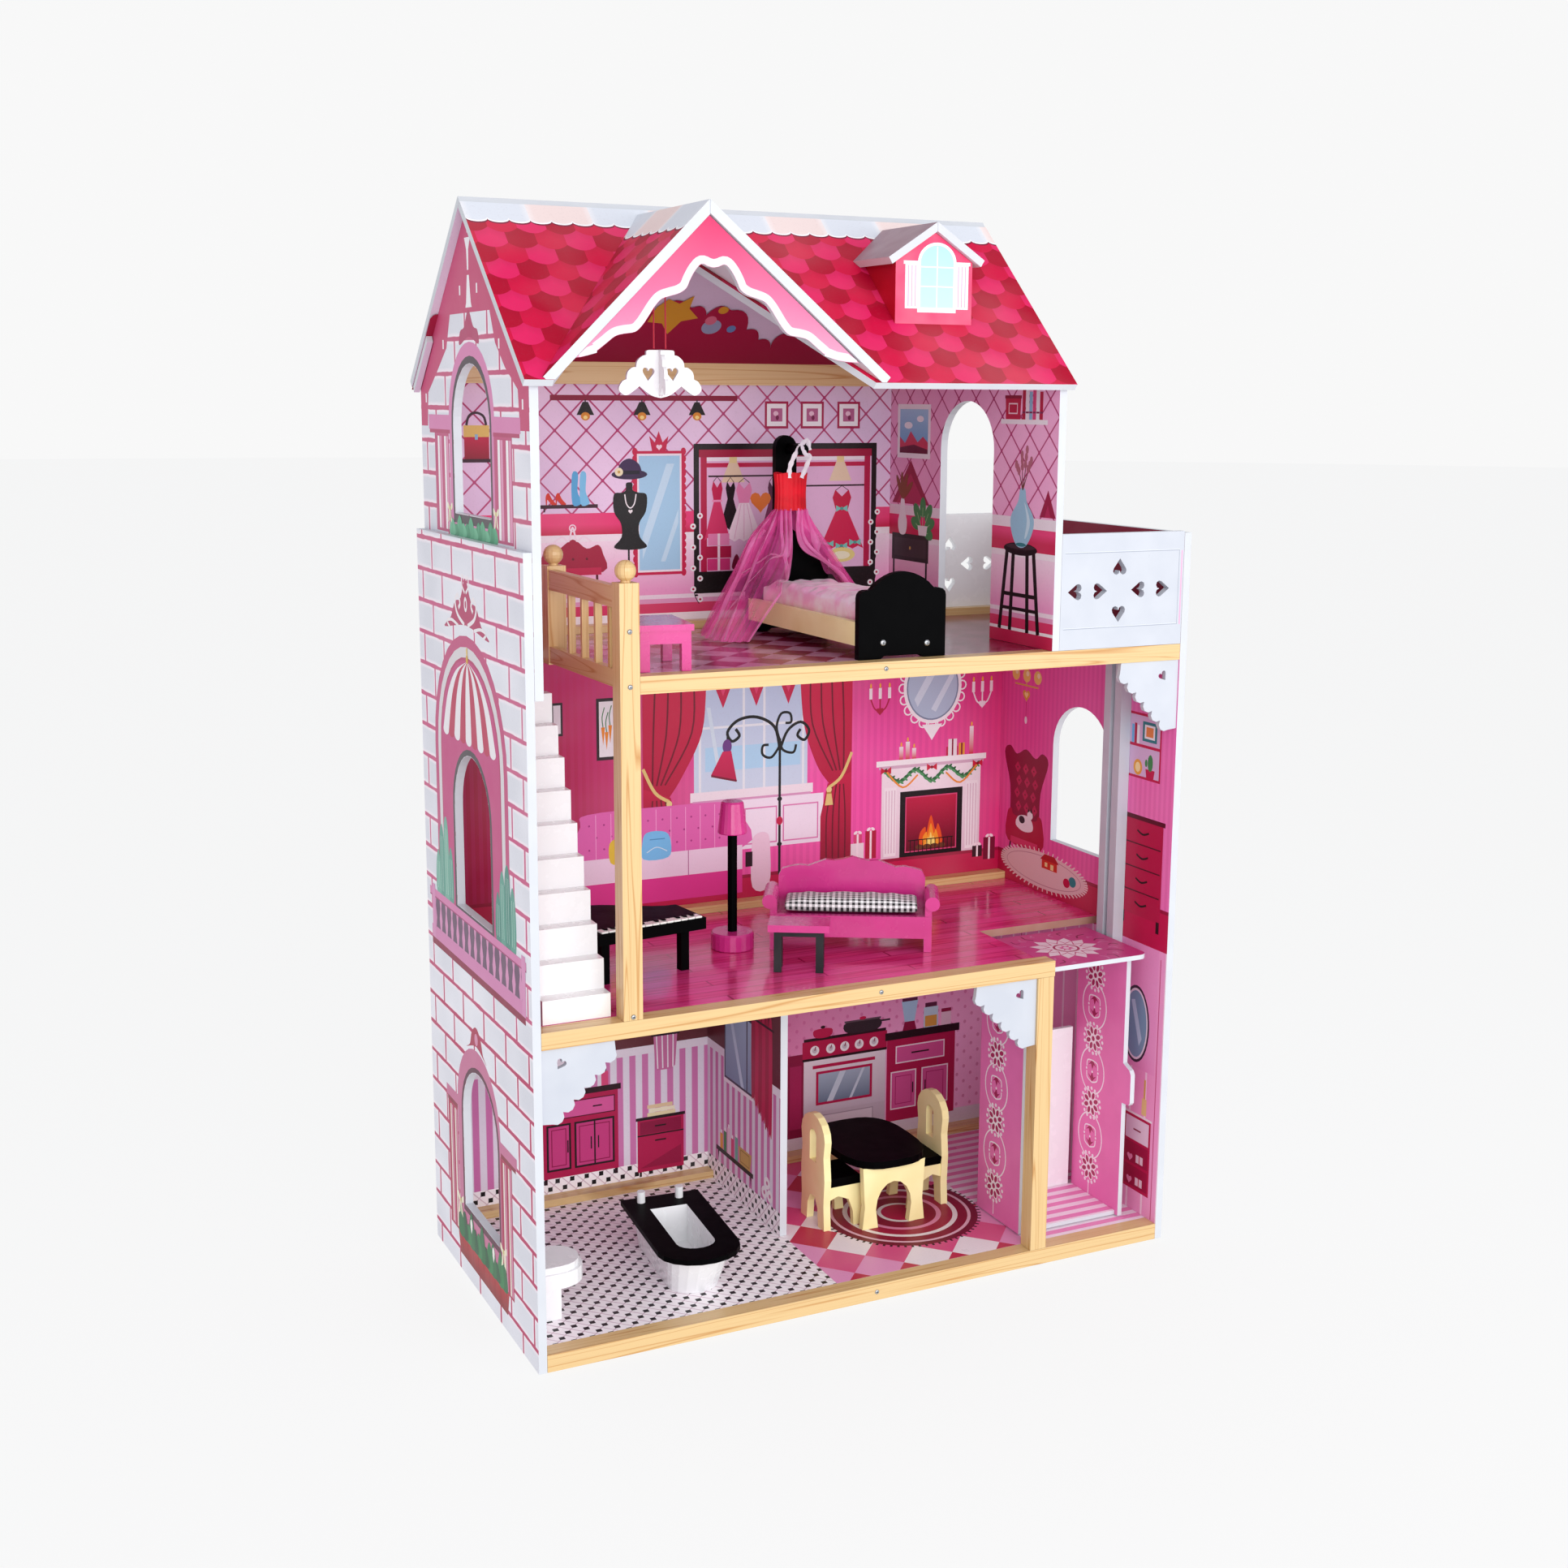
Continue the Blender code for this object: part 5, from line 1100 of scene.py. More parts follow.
drape(p, 268, 352, 302, 475, -1)
drape(p, 553, 479, 521, 410, 1)
# printed sofa, running on past the stair post
p.blob([(187, 440), (187, 486), (196, 500), (290, 502), (382, 500), (397, 486), (399, 440)], "E468B4")
for row in range(3):
    for k in range(11):
        p.oval(198 + 19 * k + (9.5 if row % 2 else 0), 456 + 15 * row, 1.4, 1.4, "B03A84", steps=6)
for k in range(1, 11):
    p.line([(187 + 19.5 * k, 442), (187 + 19.5 * k, 499)], 0.9, "F6A6D8")
p.rect(183, 412, 400, 444, "F2D6EC").rect(183, 383, 400, 413, "E23C94")
p.line([(255, 412), (255, 444)], 1.2, "B9679C").line([(327, 412), (327, 444)], 1.2, "B9679C")
p.blob([(268, 438), (266, 456), (272, 471), (297, 470), (304, 455), (300, 438)], "7CC4F4")
p.stroke([(272, 446), (285, 452), (299, 446)], 1, "D9ECF8").line([(276, 462), (296, 462)], 1.2, "4C8FC8")
p.blob([(225, 438), (224, 462), (238, 466), (240, 438)], "E5C341")
p.blob([(414, 388), (413, 440), (418, 455), (432, 457), (438, 444), (437, 388)], "F0CFE3")
p.rect(404.5, 415, 414, 434, "2B1420")
# lamp standard with scrolls
p.rect(449.8, 400, 453.2, 575, "0C070A").oval(451.5, 470, 4.4, 5.4, "C21A48")
p.oval(451.5, 498, 3.4, 2.8, "1A1118").oval(451.5, 440, 3.4, 2.8, "1A1118")
p.stroke([(451.5, 560), (444, 590), (420, 604), (395, 602), (380, 588), (386, 576), (396, 582), (391, 591)],
         3.8, "0C070A")
p.stroke([(451.5, 560), (462, 584), (480, 594), (492, 583), (486, 571), (476, 577), (480, 585)], 3.6,
         "0C070A")
p.stroke([(451.5, 572), (447, 590), (453, 606), (465, 606), (467, 595), (459, 594)], 3.2, "0C070A")
p.stroke([(451.5, 572), (456, 560), (470, 556), (474, 566)], 3.2, "0C070A")
p.stroke([(451.5, 566), (440, 552), (428, 556), (428, 567), (436, 568)], 3.2, "0C070A")
p.line([(380, 588), (379, 560)], 2.2, "0C070A").oval(379.5, 570, 6.2, 9, "6E3A86")
p.poly([(373.5, 564), (385, 564), (392.5, 526), (357.5, 535)], ("B8164A", "D0205A"))
p.line([(358, 534.5), (392.5, 525.8)], 2.6, "7A0D30")
# fireplace
p.rect(597, 405, 745, 527, ("E9CFDF", "F7ECF3")).rect(589, 527, 753, 534.5, "FAF6F9")
p.rect(593, 523.5, 749, 527.5, "D9B5CB")
for u in (601, 723):
    p.rect(u, 408, u + 18, 499, "F7EEF4")
    for k in range(4):
        p.rect(u + 2.2 + 4.2 * k, 412, u + 3.6 + 4.2 * k, 495, "DDBFD1")
p.rect(624.5, 405, 718, 492, "150B10").rect(634, 412, 708.5, 483, ("5E0A20", "C01845"))
p.frame(632.5, 410.5, 710, 484.5, 1.6, "D9487A")
for u, v, wide, tall, code in ((671, 418, 30, 40, "E5531F"), (671, 418, 21, 29, "F59A2B"),
                               (671, 418, 11, 17, "FBE07A")):
    p.blob([(u - wide / 2, v), (u - wide * 0.55, v + tall * 0.40), (u - wide * 0.28, v + tall * 0.62),
            (u - wide * 0.22, v + tall * 0.42), (u, v + tall), (u + wide * 0.22, v + tall * 0.50),
            (u + wide * 0.36, v + tall * 0.70), (u + wide * 0.55, v + tall * 0.30), (u + wide / 2, v)],
           code)
for k in range(4):
    p.oval(654.5 + 11 * k, 416.5, 6, 3.2, "6B3A22", steps=10)
for k in range(11):
    p.rect(640 + 6.2 * k, 410, 641.2 + 6.2 * k, 426, "1A0E12")
p.rect(637, 425.5, 705, 426.8, "1A0E12")
swag = curve([(600, 522), (623, 506), (647, 520), (671, 504), (695, 520), (719, 506), (742, 522)], steps=8)
p.line(swag, 4.2, "3B7B4A")
for k, (u, v) in enumerate(swag):
    if k % 2:
        p.oval(u, v + 1.6, 4, 1.6, "2E6A3E", steps=8, tilt=35)
        p.oval(u, v - 1.6, 4, 1.6, "57A066", steps=8, tilt=-35)
p.stroke([(604, 520), (628, 498), (650, 513)], 2.4, "F0953B")
p.stroke([(692, 513), (714, 498), (739, 520)], 2.4, "F0953B")
for u in (603, 671, 740):
    p.poly([(u - 7.5, 526.5), (u, 521.5), (u - 7.5, 517)], "CE1B3E")
    p.poly([(u + 7.5, 526.5), (u, 521.5), (u + 7.5, 517)], "CE1B3E")
    p.oval(u, 521.5, 2.2, 2.2, "8E0C26", steps=8)
for u, tall in ((625, 17), (634.5, 23), (644, 14), (730, 37)):
    p.rect(u - 3, 534.5, u + 3, 534.5 + tall, ("D92A4A", "F6EEF2"))
    p.oval(u, 537.5 + tall, 1.3, 3, "F5B23A", steps=8)
for u0, u1, tall, code in ((692, 710, 12, "C9204C"), (695, 708, 22, "F1E6EC"),
                           (711, 720, 16, "E9A23B")):
    p.rect(u0, 534.5, u1, 534.5 + tall, code)
    p.rect((u0 + u1) / 2 - 1.2, 534.5, (u0 + u1) / 2 + 1.2, 534.5 + tall, "8E1236")
# oval mirror in a white scrolled frame
for k in range(20):
    a = 2 * math.pi * k / 20
    p.ring(670 + 44 * math.cos(a), 627 + 49 * math.sin(a), 6.8, 6.8, 2, "F7F2F7", 12)
p.poly([(655, 578), (664, 566), (670, 557), (676, 566), (685, 578)], "F7F2F7")
p.oval(670, 627, 43, 48, "F7F2F7", steps=36).oval(670, 627, 38.5, 43.5, "7C8AA6", steps=36)
p.oval(670, 627, 36.5, 41.5, "B3C6DC", steps=36)
p.poly([(643, 612), (672, 660), (684, 660), (648, 602)], "D3E2F0")
p.poly([(668, 598), (697, 645), (702, 640), (675, 594)], "D3E2F0")
for u, code in ((593, "B3153F"), (745, "F3E6EF")):
    for reach in (-13.5, 0.0, 13.5):
        p.stroke([(u, 599), (u + reach * 0.6, 604), (u + reach, 616)], 2, code)
        p.rect(u + reach - 2.2, 616, u + reach + 2.2, 630, "F6E9EF")
        p.oval(u + reach, 633, 1.4, 3.4, "F5B23A", steps=8)
    p.heart(u, 600, 11, code)
for u0, v0, u1, v1, code in ((553, 408, 572, 430, "F1E1EA"), (574, 408, 590, 445, "B5173F"),
                             (735, 395, 750, 410, "3A1A26"), (752, 390, 770, 420, "7A1234"),
                             (557, 430, 569, 442, "D9487A")):
    p.rect(u0, v0, u1, v1, code).rect((u0 + u1) / 2 - 1.4, v0, (u0 + u1) / 2 + 1.4, v1, "FBE9F1")
    p.oval((u0 + u1) / 2 - 3, v1 + 2, 3.2, 2, "FBE9F1", steps=8, tilt=30)
    p.oval((u0 + u1) / 2 + 3, v1 + 2, 3.2, 2, "FBE9F1", steps=8, tilt=-30)
p.done()

# Living room, right wall
p = Print("lounge_side_pictures", on_left("lower_right_wall"))
p.frame(27, 553, 92, 631, 3, "C4154A").rect(30, 556, 89, 628, "D9B5DA")
p.rect(27, 590.5, 92, 594, "C4154A").rect(36, 598.5, 64, 622, "2B7E86")
p.rect(40, 602, 60, 618.5, "F1ECF2").rect(43, 604.5, 57, 616, "E98A4B")
for k, code in enumerate(("F1ECF2", "B5173F", "6FB1E4")):
    p.rect(70 + 5.2 * k, 594, 74.6 + 5.2 * k, 616 + 2 * (k % 2), code)
p.poly([(40, 556), (54, 556), (56, 566), (38, 566)], "C4154A")
p.oval(47, 574, 5, 10, "3E8A4E").oval(55, 573, 2.4, 4.5, "3E8A4E")
p.oval(71, 566, 8.5, 9.5, "E9A23B").oval(71, 566, 5, 6, "F8DDA0")
p.rect(16.5, 387, 94, 506, "B81346").rect(13, 503, 97.5, 508.5, "5A0A22")
for v in (474, 445, 416):
    p.rect(20, v - 0.8, 90.5, v + 0.8, "4A0A1E")
for v in (488.5, 459, 430, 401):
    p.stroke([(44, v + 2), (55.5, v - 1.6), (67, v + 2)], 2.4, "1A0A10")
for y in (21, 89.5):
    p.rect(y - 3, 374, y + 3, 388, "2A0A14")
p.rect(288, 629, 343, 631, "E3B24A").rect(315, 629, 317, 656, "E3B24A")
for y in (290, 315.5, 341):
    p.oval(y, 643, 8.8, 8.8, "F1CF6E").oval(y - 2, 645.5, 3.4, 3.4, "FCEFC0")
p.heart(315.5, 617.5, 17, "E0A83C").heart(315.5, 618, 9, "F7DE96").oval(315.5, 585, 3, 5, "F4EEF2")
p.rect(315, 589, 316, 609, "B5173F")
# wing chair with a sleeping cat
p.blob([(284, 440), (276, 495), (260, 536), (274, 547), (290, 538), (312, 547), (334, 538), (350, 547),
        (363, 536), (348, 495), (340, 440)], "8E0F38")
for row in range(4):
    for k in range(3):
        u, v = 293 + 19 * k + (0.0 if row % 2 else -4), 470 + 17 * row
        p.poly([(u - 7, v), (u, v - 7.5), (u + 7, v), (u, v + 7.5)], "C02254")
        p.oval(u, v, 1.4, 1.4, "5A0A22", steps=6)
p.blob([(272, 420), (270, 456), (280, 464), (288, 456), (336, 456), (343, 464), (353, 456), (350, 420)],
       "B5173F")
p.rect(280, 418, 344, 427, "D93A6C")
for y in (280, 344):
    p.line([(y, 419), (y + (4 if y > 300 else -4), 400)], 3.4, "3A0A18")
p.blob([(293, 442), (294, 454), (308, 460), (327, 456), (332, 444), (314, 438)], "F3F0F3")
p.oval(318, 453, 7, 5, "241A20").oval(299, 462, 6.6, 5.8, "F3F0F3")
p.poly([(294, 465), (295, 473), (299, 467)], "241A20")
p.poly([(300, 467), (304, 472.5), (304.5, 465)], "241A20")
# fringed oval rug with toys
for k in range(56):
    a = 2 * math.pi * k / 56
    c, s = math.cos(a), math.sin(a)
    p.line([(265 + 88 * c, 396 + 21 * s), (265 + 101 * c, 396 + 27.5 * s)], 2.2, "F3DDDD")
p.oval(265, 396, 94, 23.5, "EBCFD0", steps=40).ring(265, 396, 86, 19.5, 1.2, "C99AA6", 40)
p.rect(233, 400, 268, 411, "D23A2B").poly([(229, 411), (272, 411), (262, 419), (239, 419)], "B5202B")
p.rect(241, 401, 248, 408, "F3E6A0").rect(255, 403, 261, 408.5, "F3E6A0")
p.oval(198, 396, 8, 6.6, "2F8E93").oval(211, 392, 7.5, 6, "C4154A")
p.done()
# Bathroom and kitchen, back wall
p = Print("ground_rear_pictures", on_front("back_panel_ground"))
p.poly([(279, 212), (311, 212), (308, 170), (303, 166), (283, 166), (281, 170)], "C9709F")
for k in range(4):
    p.line([(283 + 7.5 * k, 211), (284.5 + 6.8 * k, 168)], 1.6, "F1E4EE")
p.rect(276, 210.5, 314, 213, "2A1520")
# washstand with a drawer between two doors
p.rect(133, 47, 231, 150, "B2164C").rect(129, 150, 235, 157.5, "2A0D18")
p.rect(137, 122, 227, 144, "D9599A").frame(137, 122, 227, 144, 1.4, "5A0A28")
for u in (160, 204):
    p.rect(u - 6, 132, u + 6, 133.8, "2A0D18")
for u0, u1 in ((137.5, 169), (173.5, 226)):
    p.rect(u0, 56, u1, 116, "C73C7E").frame(u0, 56, u1, 116, 2.6, "1E0C14")
    p.frame(u0 + 6, 62, u1 - 6, 110, 1.2, "8E1248")
p.rect(199, 56, 201, 116, "1E0C14").rect(194.5, 78, 196.2, 94, "1E0C14")
p.rect(204, 78, 205.7, 94, "1E0C14").rect(164, 78, 165.7, 94, "1E0C14")
for u in (136, 228):
    p.rect(u - 2, 40, u + 2, 47, "2A0D18")
for u, tall, code in ((148, 20, "E9A23B"), (160, 14, "8FB9D6"), (214, 18, "D9487A")):
    p.rect(u - 4.5, 157.5, u + 4.5, 157.5 + tall, code)
    p.rect(u - 2, 157.5 + tall, u + 2, 160.5 + tall, "2A0D18")
# bedside cabinet under folded towels
p.rect(256.5, 35, 319, 106, "B41A4E").rect(254.5, 103, 321, 107, "241018")
p.rect(260, 84.5, 315.5, 101, "8E1240").rect(256.5, 82, 319, 83.8, "1E0C14")
p.rect(280, 92.5, 295, 94.5, "1E0C14").rect(280, 73.5, 295, 75.5, "1E0C14")
p.poly([(260, 40), (315.5, 40), (315.5, 64)], "9A1443").rect(259, 29, 262, 35, "241018")
p.rect(314, 29, 317, 35, "241018")
for k, (u0, u1) in enumerate(((270, 308), (273, 307), (270, 304))):
    p.rect(u0, 107 + 5.2 * k, u1, 111.8 + 5.2 * k, ("E9D9AE", "F2E9CC", "E3C9A0")[k])
# cooker
p.rect(465, 44, 488, 157, "8A1440").rect(468, 56, 485, 142, "A82458")
p.rect(488, 75, 609, 146, ("CFC3D0", "EADFE8")).rect(488, 44, 609, 75, "C9BCC8")
p.rect(486, 149, 610.5, 172.5, "B8164A").rect(486, 146, 610.5, 149.5, "2A0D18")
p.rect(488, 172.5, 609, 176.5, "2A0D18")
for u in (503.7, 527, 547.6, 569, 591):
    p.oval(u, 159.5, 6.6, 6.6, "F5F0F4").oval(u, 159.5, 3.6, 3.6, "CFC6D0", steps=12)
    p.line([(u, 159.5), (u + 1.5, 164.5)], 1.4, "8E1240")
p.rect(506, 84, 589, 130, "B8164A").rect(509.5, 87.5, 585.5, 126.5, ("6E7F96", "A9B9CC"))
p.poly([(522, 87.5), (541, 126.5), (550, 126.5), (531, 87.5)], "C9D6E4")
p.poly([(555, 87.5), (574, 126.5), (578, 126.5), (559, 87.5)], "C9D6E4")
p.rect(501, 134.5, 593, 139, "B8164A").rect(504, 52, 591, 70, "DDD3DC")
p.frame(504, 52, 591, 70, 1.4, "A89AA8")
p.blob([(552, 176.5), (550, 191), (598, 191), (596, 176.5)], "33252D").rect(547, 190.5, 601, 193, "5A4852")
p.rect(596, 186, 615, 188.5, "33252D").oval(574, 194.5, 5, 2.2, "C9154C")
p.blob([(505, 176.5), (503, 187), (528, 187), (526, 176.5)], "C01A4E").oval(515.5, 190, 3.4, 2, "2A0D18")
# kitchen cupboard, worktop, mixer and jars
p.rect(610.7, 44, 715, 158, "B41A4E").rect(608, 157.5, 721.5, 168, "241018")
p.rect(624, 123.5, 699, 148, "D9599A").frame(624, 123.5, 699, 148, 1.8, "F6E3EE")
p.rect(648, 135, 675, 137.2, "241018")
for u0, u1 in ((617, 656), (664, 705)):
    p.rect(u0, 60, u1, 113, "D9599A").frame(u0, 60, u1, 113, 1.8, "F6E3EE")
    p.frame(u0 + 7, 67, u1 - 7, 106, 1, "B5246B")
p.rect(650, 80, 651.8, 95, "241018").rect(669, 80, 670.8, 95, "241018")
p.poly([(634, 168), (655, 168), (652, 180), (637, 180)], "8E1240")
p.poly([(637, 180), (652, 180), (657, 209), (632, 209)], "A9C9E4").rect(633, 208, 656, 212.5, "5A2040")
p.rect(666, 168, 688, 196, "BFD8E8").rect(668, 169, 686, 184, "D9A04A")
p.rect(668, 196, 686, 202, "5A2040").rect(693, 168, 708, 186, "E9C9DA")
p.rect(693, 186, 708, 191, "8E1240")
p.done()

# Bathroom partition: curtained window and a shelf of bottles
p = Print("bathroom_side_pictures", on_left("partition_wall"))
p.rect(237, 165, 320, 260, "3A3246").rect(240, 168, 317, 257, ("7E90AE", "A9BCD6"))
p.poly([(262, 168), (300, 257), (309, 257), (271, 168)], "C3D2E6").rect(252, 165, 255, 260, "3A3246")
p.rect(234.5, 160, 322.5, 165, "F1E4EE")
for k in range(6):
    y = 183 + 9.5 * k
    p.blob([(y, 266), (y + 9.5, 266), (y + 9.5, 142 + 6 * k), (y + 4.7, 136 + 6 * k), (y, 142 + 6 * k)],
           "A6143E" if k % 2 else "BE1C4C")
p.rect(178, 264, 325, 267, "2A0D18").rect(235, 62, 345, 68, "1E0C14")
for y in (242, 338):
    p.poly([(y - 2, 62), (y + 2, 62), (y, 50)], "1E0C14")
p.poly([(244, 68), (274, 68), (278, 90), (240, 90)], "C9A25C").frame(246, 71, 272, 87, 1, "8E6A2E")
for y, tall, code in ((284, 30, "6FB1A0"), (296, 24, "D9487A"), (307, 34, "E9C9DA"),
                      (318, 26, "3E8A4E"), (329, 20, "E9A23B")):
    p.rect(y - 4.2, 68, y + 4.2, 68 + tall, code).rect(y - 2, 68 + tall, y + 2, 72.5 + tall, "F3EEF2")
for y, z in ((188, 58), (203, 58), (195.5, 72)):
    p.oval(y, z, 7.8, 7.8, "F4EBF0").oval(y, z, 2.6, 2.6, "C96A9A")
p.done()

# Elevator bay wall, seen past the cabin
p = Print("bay_pictures", on_left("lower_right_wall"))
for y in (10, 84, 160, 235, 310):
    p.rect(y, 20, y + 1.6, 345, "C9447F")
p.oval(55, 254, 27, 48, "3A2A3A", steps=32).oval(55, 254, 24, 44.5, "E9DDE9", steps=32)
p.oval(55, 254, 21.5, 41.5, "7F9DB8", steps=32)
p.poly([(42, 238), (58, 284), (65, 282), (47, 228)], "BAD0E2")
p.rect(30, 150, 33.5, 190, "D9B25C").rect(27, 145, 36.5, 166, "E9C98A")
p.rect(17, 45, 70, 140, "B8164A").rect(20.5, 108, 66.5, 136.5, "E9CFE3")
p.rect(20.5, 78, 66.5, 104.5, "9E1240").rect(20.5, 49, 66.5, 74.5, "9E1240")
p.rect(36, 121, 51, 123, "8E1240").rect(15, 140, 72, 143, "F1E4EE")
for z in (56, 85):
    p.rect(30, z - 4, 44, z + 6, "E9C9DA").rect(36.2, z - 4, 37.8, z + 6, "C9154C")
    p.heart(56, z, 11, "E98AB4")
p.done()

# Kitchen floor: a round fringed rug under the dining table
p = Print("kitchen_rug", on_top("ground_floor"))
u, v = 514, 160
for k in range(72):
    a = 2 * math.pi * k / 72
    c, s = math.cos(a), math.sin(a)
    p.line([(u + 93 * c, v + 93 * s), (u + 98.5 * c, v + 98.5 * s)], 3, "2A0D14")
for radius, code in ((94.5, "7A1030"), (86, "E9B9CC"), (82, "8E1236"), (70, "F0E6EA"), (64, "A3153F"),
                     (50, "E58FB4"), (44, "8E1236"), (28, "F0E6EA"), (23, "B8164A")):
    p.oval(u, v, radius, radius, code, steps=56)
p.done()

# Elevator: a lace column on each panel and a rosette on the roof


def lace(name, node):
    """A white rod with rosettes, ovals and hearts down the middle of an elevator panel."""
    p = Print(name, on_left(node), "elevator")
    white, y = "FCF2F8", 98.5
    for z in (60, 143.5, 226, 309):
        if z < 300:
            p.ring(y, z + 41.5, 25.5, 30, 1.9, white, 32)
            for dz, flip in ((27.5, 1), (55.5, -1)):
                p.poly([(y, z + dz), (y - 8.5, z + dz + 8.5 * flip), (y - 3, z + dz + 6 * flip),
                        (y, z + dz + 12.5 * flip), (y + 3, z + dz + 6 * flip),
                        (y + 8.5, z + dz + 8.5 * flip)], "A92258")
                for side in (-1, 1):
                    p.stroke([(y, z + dz - 1), (y + side * 10, z + dz + 3 * flip),
                              (y + side * 11.5, z + dz + 11 * flip)], 1.7, white)
            for dy, dz in ((-12, 41.5), (12, 41.5), (0, 40)):
                p.oval(y + dy, z + dz, 1.6, 1.6, white, steps=10)
        if z > 300:
            z = 306
        for step in range(8):
            a = math.pi * (step + 0.5) / 4
            u, w = y + 10.5 * math.cos(a), z + 10.5 * math.sin(a)
            p.oval(u, w, 6.2, 4.4, white, steps=12, tilt=math.degrees(a))
            p.oval(u, w, 4.6, 2.9, "B02A60", steps=12, tilt=math.degrees(a))
        p.oval(y, z, 5.2, 5.2, white).oval(y, z, 3.2, 3.2, "B02A60")
        for step in range(16):
            a = math.pi * step / 8
            p.oval(y + 18.8 * math.cos(a), z + 18.8 * math.sin(a), 2.3, 2.3, white, steps=8)
    p.rect(y - 0.8, 24, y + 0.8, 40, white)
    p.done()


lace("elevator_left_lace", "elevator_left_panel")
lace("elevator_right_lace", "elevator_right_panel")

p = Print("elevator_top_rosette", on_top("elevator_top"), "elevator")
u, v = 682.5, 70.3
for k in range(30):
    a = 2 * math.pi * (k + 0.3) / 30
    r0, r1 = 47 + 4 * (k % 3), 62 + 5 * (k % 2)
    if 12 < v + r1 * math.sin(a) < 136 and 627 < u + r1 * math.cos(a) < 752:
        p.stroke([(u + r0 * math.cos(a), v + r0 * math.sin(a)), (u + (r0 + r1) / 2 * math.cos(a + 0.06),
                v + (r0 + r1) / 2 * math.sin(a + 0.06)), (u + r1 * math.cos(a - 0.03),
                                                          v + r1 * math.sin(a - 0.03))], 2.2,
                 "8E1A50" if k % 2 else "D97FB0")
p.poly(star_outline(u, v, 43, 31, 12), "F0DCE6").poly(star_outline(u, v, 33, 21, 12, 75), "C9447F")
p.poly(star_outline(u, v, 31, 18, 12, 75), "F0DCE6").ring(u, v, 16, 16, 3, "B02A60")
p.poly(star_outline(u, v, 12, 5.5, 8), "D9609E").oval(u, v, 3.6, 3.6, "F0DCE6")
p.done()

# Attic slope: a rosy cloud bank, a gold star and party shapes
drop = math.tan(SLOPE)
inner_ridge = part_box("roof_back")[1][2] - 0.0093 / math.cos(SLOPE)


def on_attic(u, v, out):
    return at(u, v - out * math.sin(SLOPE), inner_ridge - drop * (v - 0.189) - out * math.cos(SLOPE))


p = Print("attic_pictures", on_attic)
bank = []
cusps = [(1.5, 304), (12, 300), (55, 285), (100, 296), (150, 284), (205, 297), (255, 290), (297, 284.5),
         (318, 292), (346, 286), (375.5, 308.5), (396, 320.5), (416.3, 331.1), (426.2, 311.9), (455, 306),
         (485, 318), (520, 309), (560, 320), (606, 308)]
for (u0, v0), (u1, v1) in zip(cusps, cusps[1:]):
    reach = math.hypot(u1 - u0, v1 - v0)
    for k in range(6):
        t = k / 6
        bulge = 4 * t * (1 - t) * reach * 0.26
        bank.append((u0 + (u1 - u0) * t + bulge * (v1 - v0) / reach,
                     v0 + (v1 - v0) * t - bulge * (u1 - u0) / reach))
p.poly([*bank, cusps[-1], (606, 386), (1.5, 386)], ("A3123C", "7E0D30"))
p.poly([(265.6, 275), (280, 280), (294.4, 270.6), (294.2, 285.3), (309.2, 296.1), (290.1, 300.2),
        (279.5, 315.5), (268, 303.2), (250, 301.9), (254.4, 285)], "C9902A")
p.oval(330, 306, 12, 8.5, "8C93AE").oval(326.2, 298.5, 7, 5.2, "C9667E")
p.oval(336.5, 286.2, 6.2, 4.2, "C9902A").oval(355.7, 308, 5.5, 4.2, "5F7FAE")
p.done()

# A groove frame painted on the balcony's flat front panel: grey lines of painted shade with pale lines of
# painted highlight above them
p = Print("balcony_groove_shade_highlight", on_front("balcony_front_panel"))
(x0, _, z0), (x1, _, z1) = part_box("balcony_front_panel")
x0, x1, z0, z1 = (value * 1000 for value in (x0 - LEFT, x1 - LEFT, z0, z1))
# Painted shade in each grey line, painted highlight in the pale line just above it
for height in (z1 - 21.5, z0 + 22.5):
    p.rect(x0 + 4, height, x1 - 6, height + 0.9, "A3A8B6")
    p.rect(x0 + 4, height + 0.9, x1 - 6, height + 1.7, "D6DAE4")
p.rect(x1 - 6.8, z0 + 22.5, x1 - 6, z1 - 21.5, "A3A8B6")
p.rect(x1 - 3.5, z0 + 22.5, x1 - 1.8, z1 - 21.5, "E8A6C8")
p.done()

# White wavy border along the gable board's lower edge
half_wave = [(5.5, 1116.5), (12.5, 1118.5), (19, 1112.5), (24.5, 1103.5), (28.5, 1095.5), (36, 1090.5),
             (46, 1087.5), (54.5, 1084.5), (61, 1078), (67, 1069.5), (74, 1060), (81.5, 1053.5),
             (93, 1051.5), (102, 1049), (111.5, 1042), (122.5, 1034)]
wave = [(194.5 - u, z) for u, z in reversed(half_wave)] + [(194.5, 1115.5)] + [(194.5 + u, z) for u,
        z in half_wave]
wave = curve(wave, steps=4)
border = []
for before, here, after in zip(wave, wave[1:], wave[2:]):
    du, dv = after[0] - before[0], after[1] - before[1]
    border.append((here[0] - dv / math.hypot(du, dv) * 4.1, here[1] + du / math.hypot(du, dv) * 4.1))
p = Print("gable_border", on_front("gable_board"))
p.line(border, 7.8, "DDD6DE")
p.poly([(74, 1033.5), (64, 1030.8), (56, 1029.2), (56, 1031.8), (64, 1038.5), (73.5, 1042)], "DDD6DE")
p.poly([(315, 1033.8), (330, 1029.7), (342, 1028.4), (352, 1027.9), (352, 1029.8), (342, 1036.2),
        (330, 1038), (318, 1042)], "DDD6DE")
p.done()

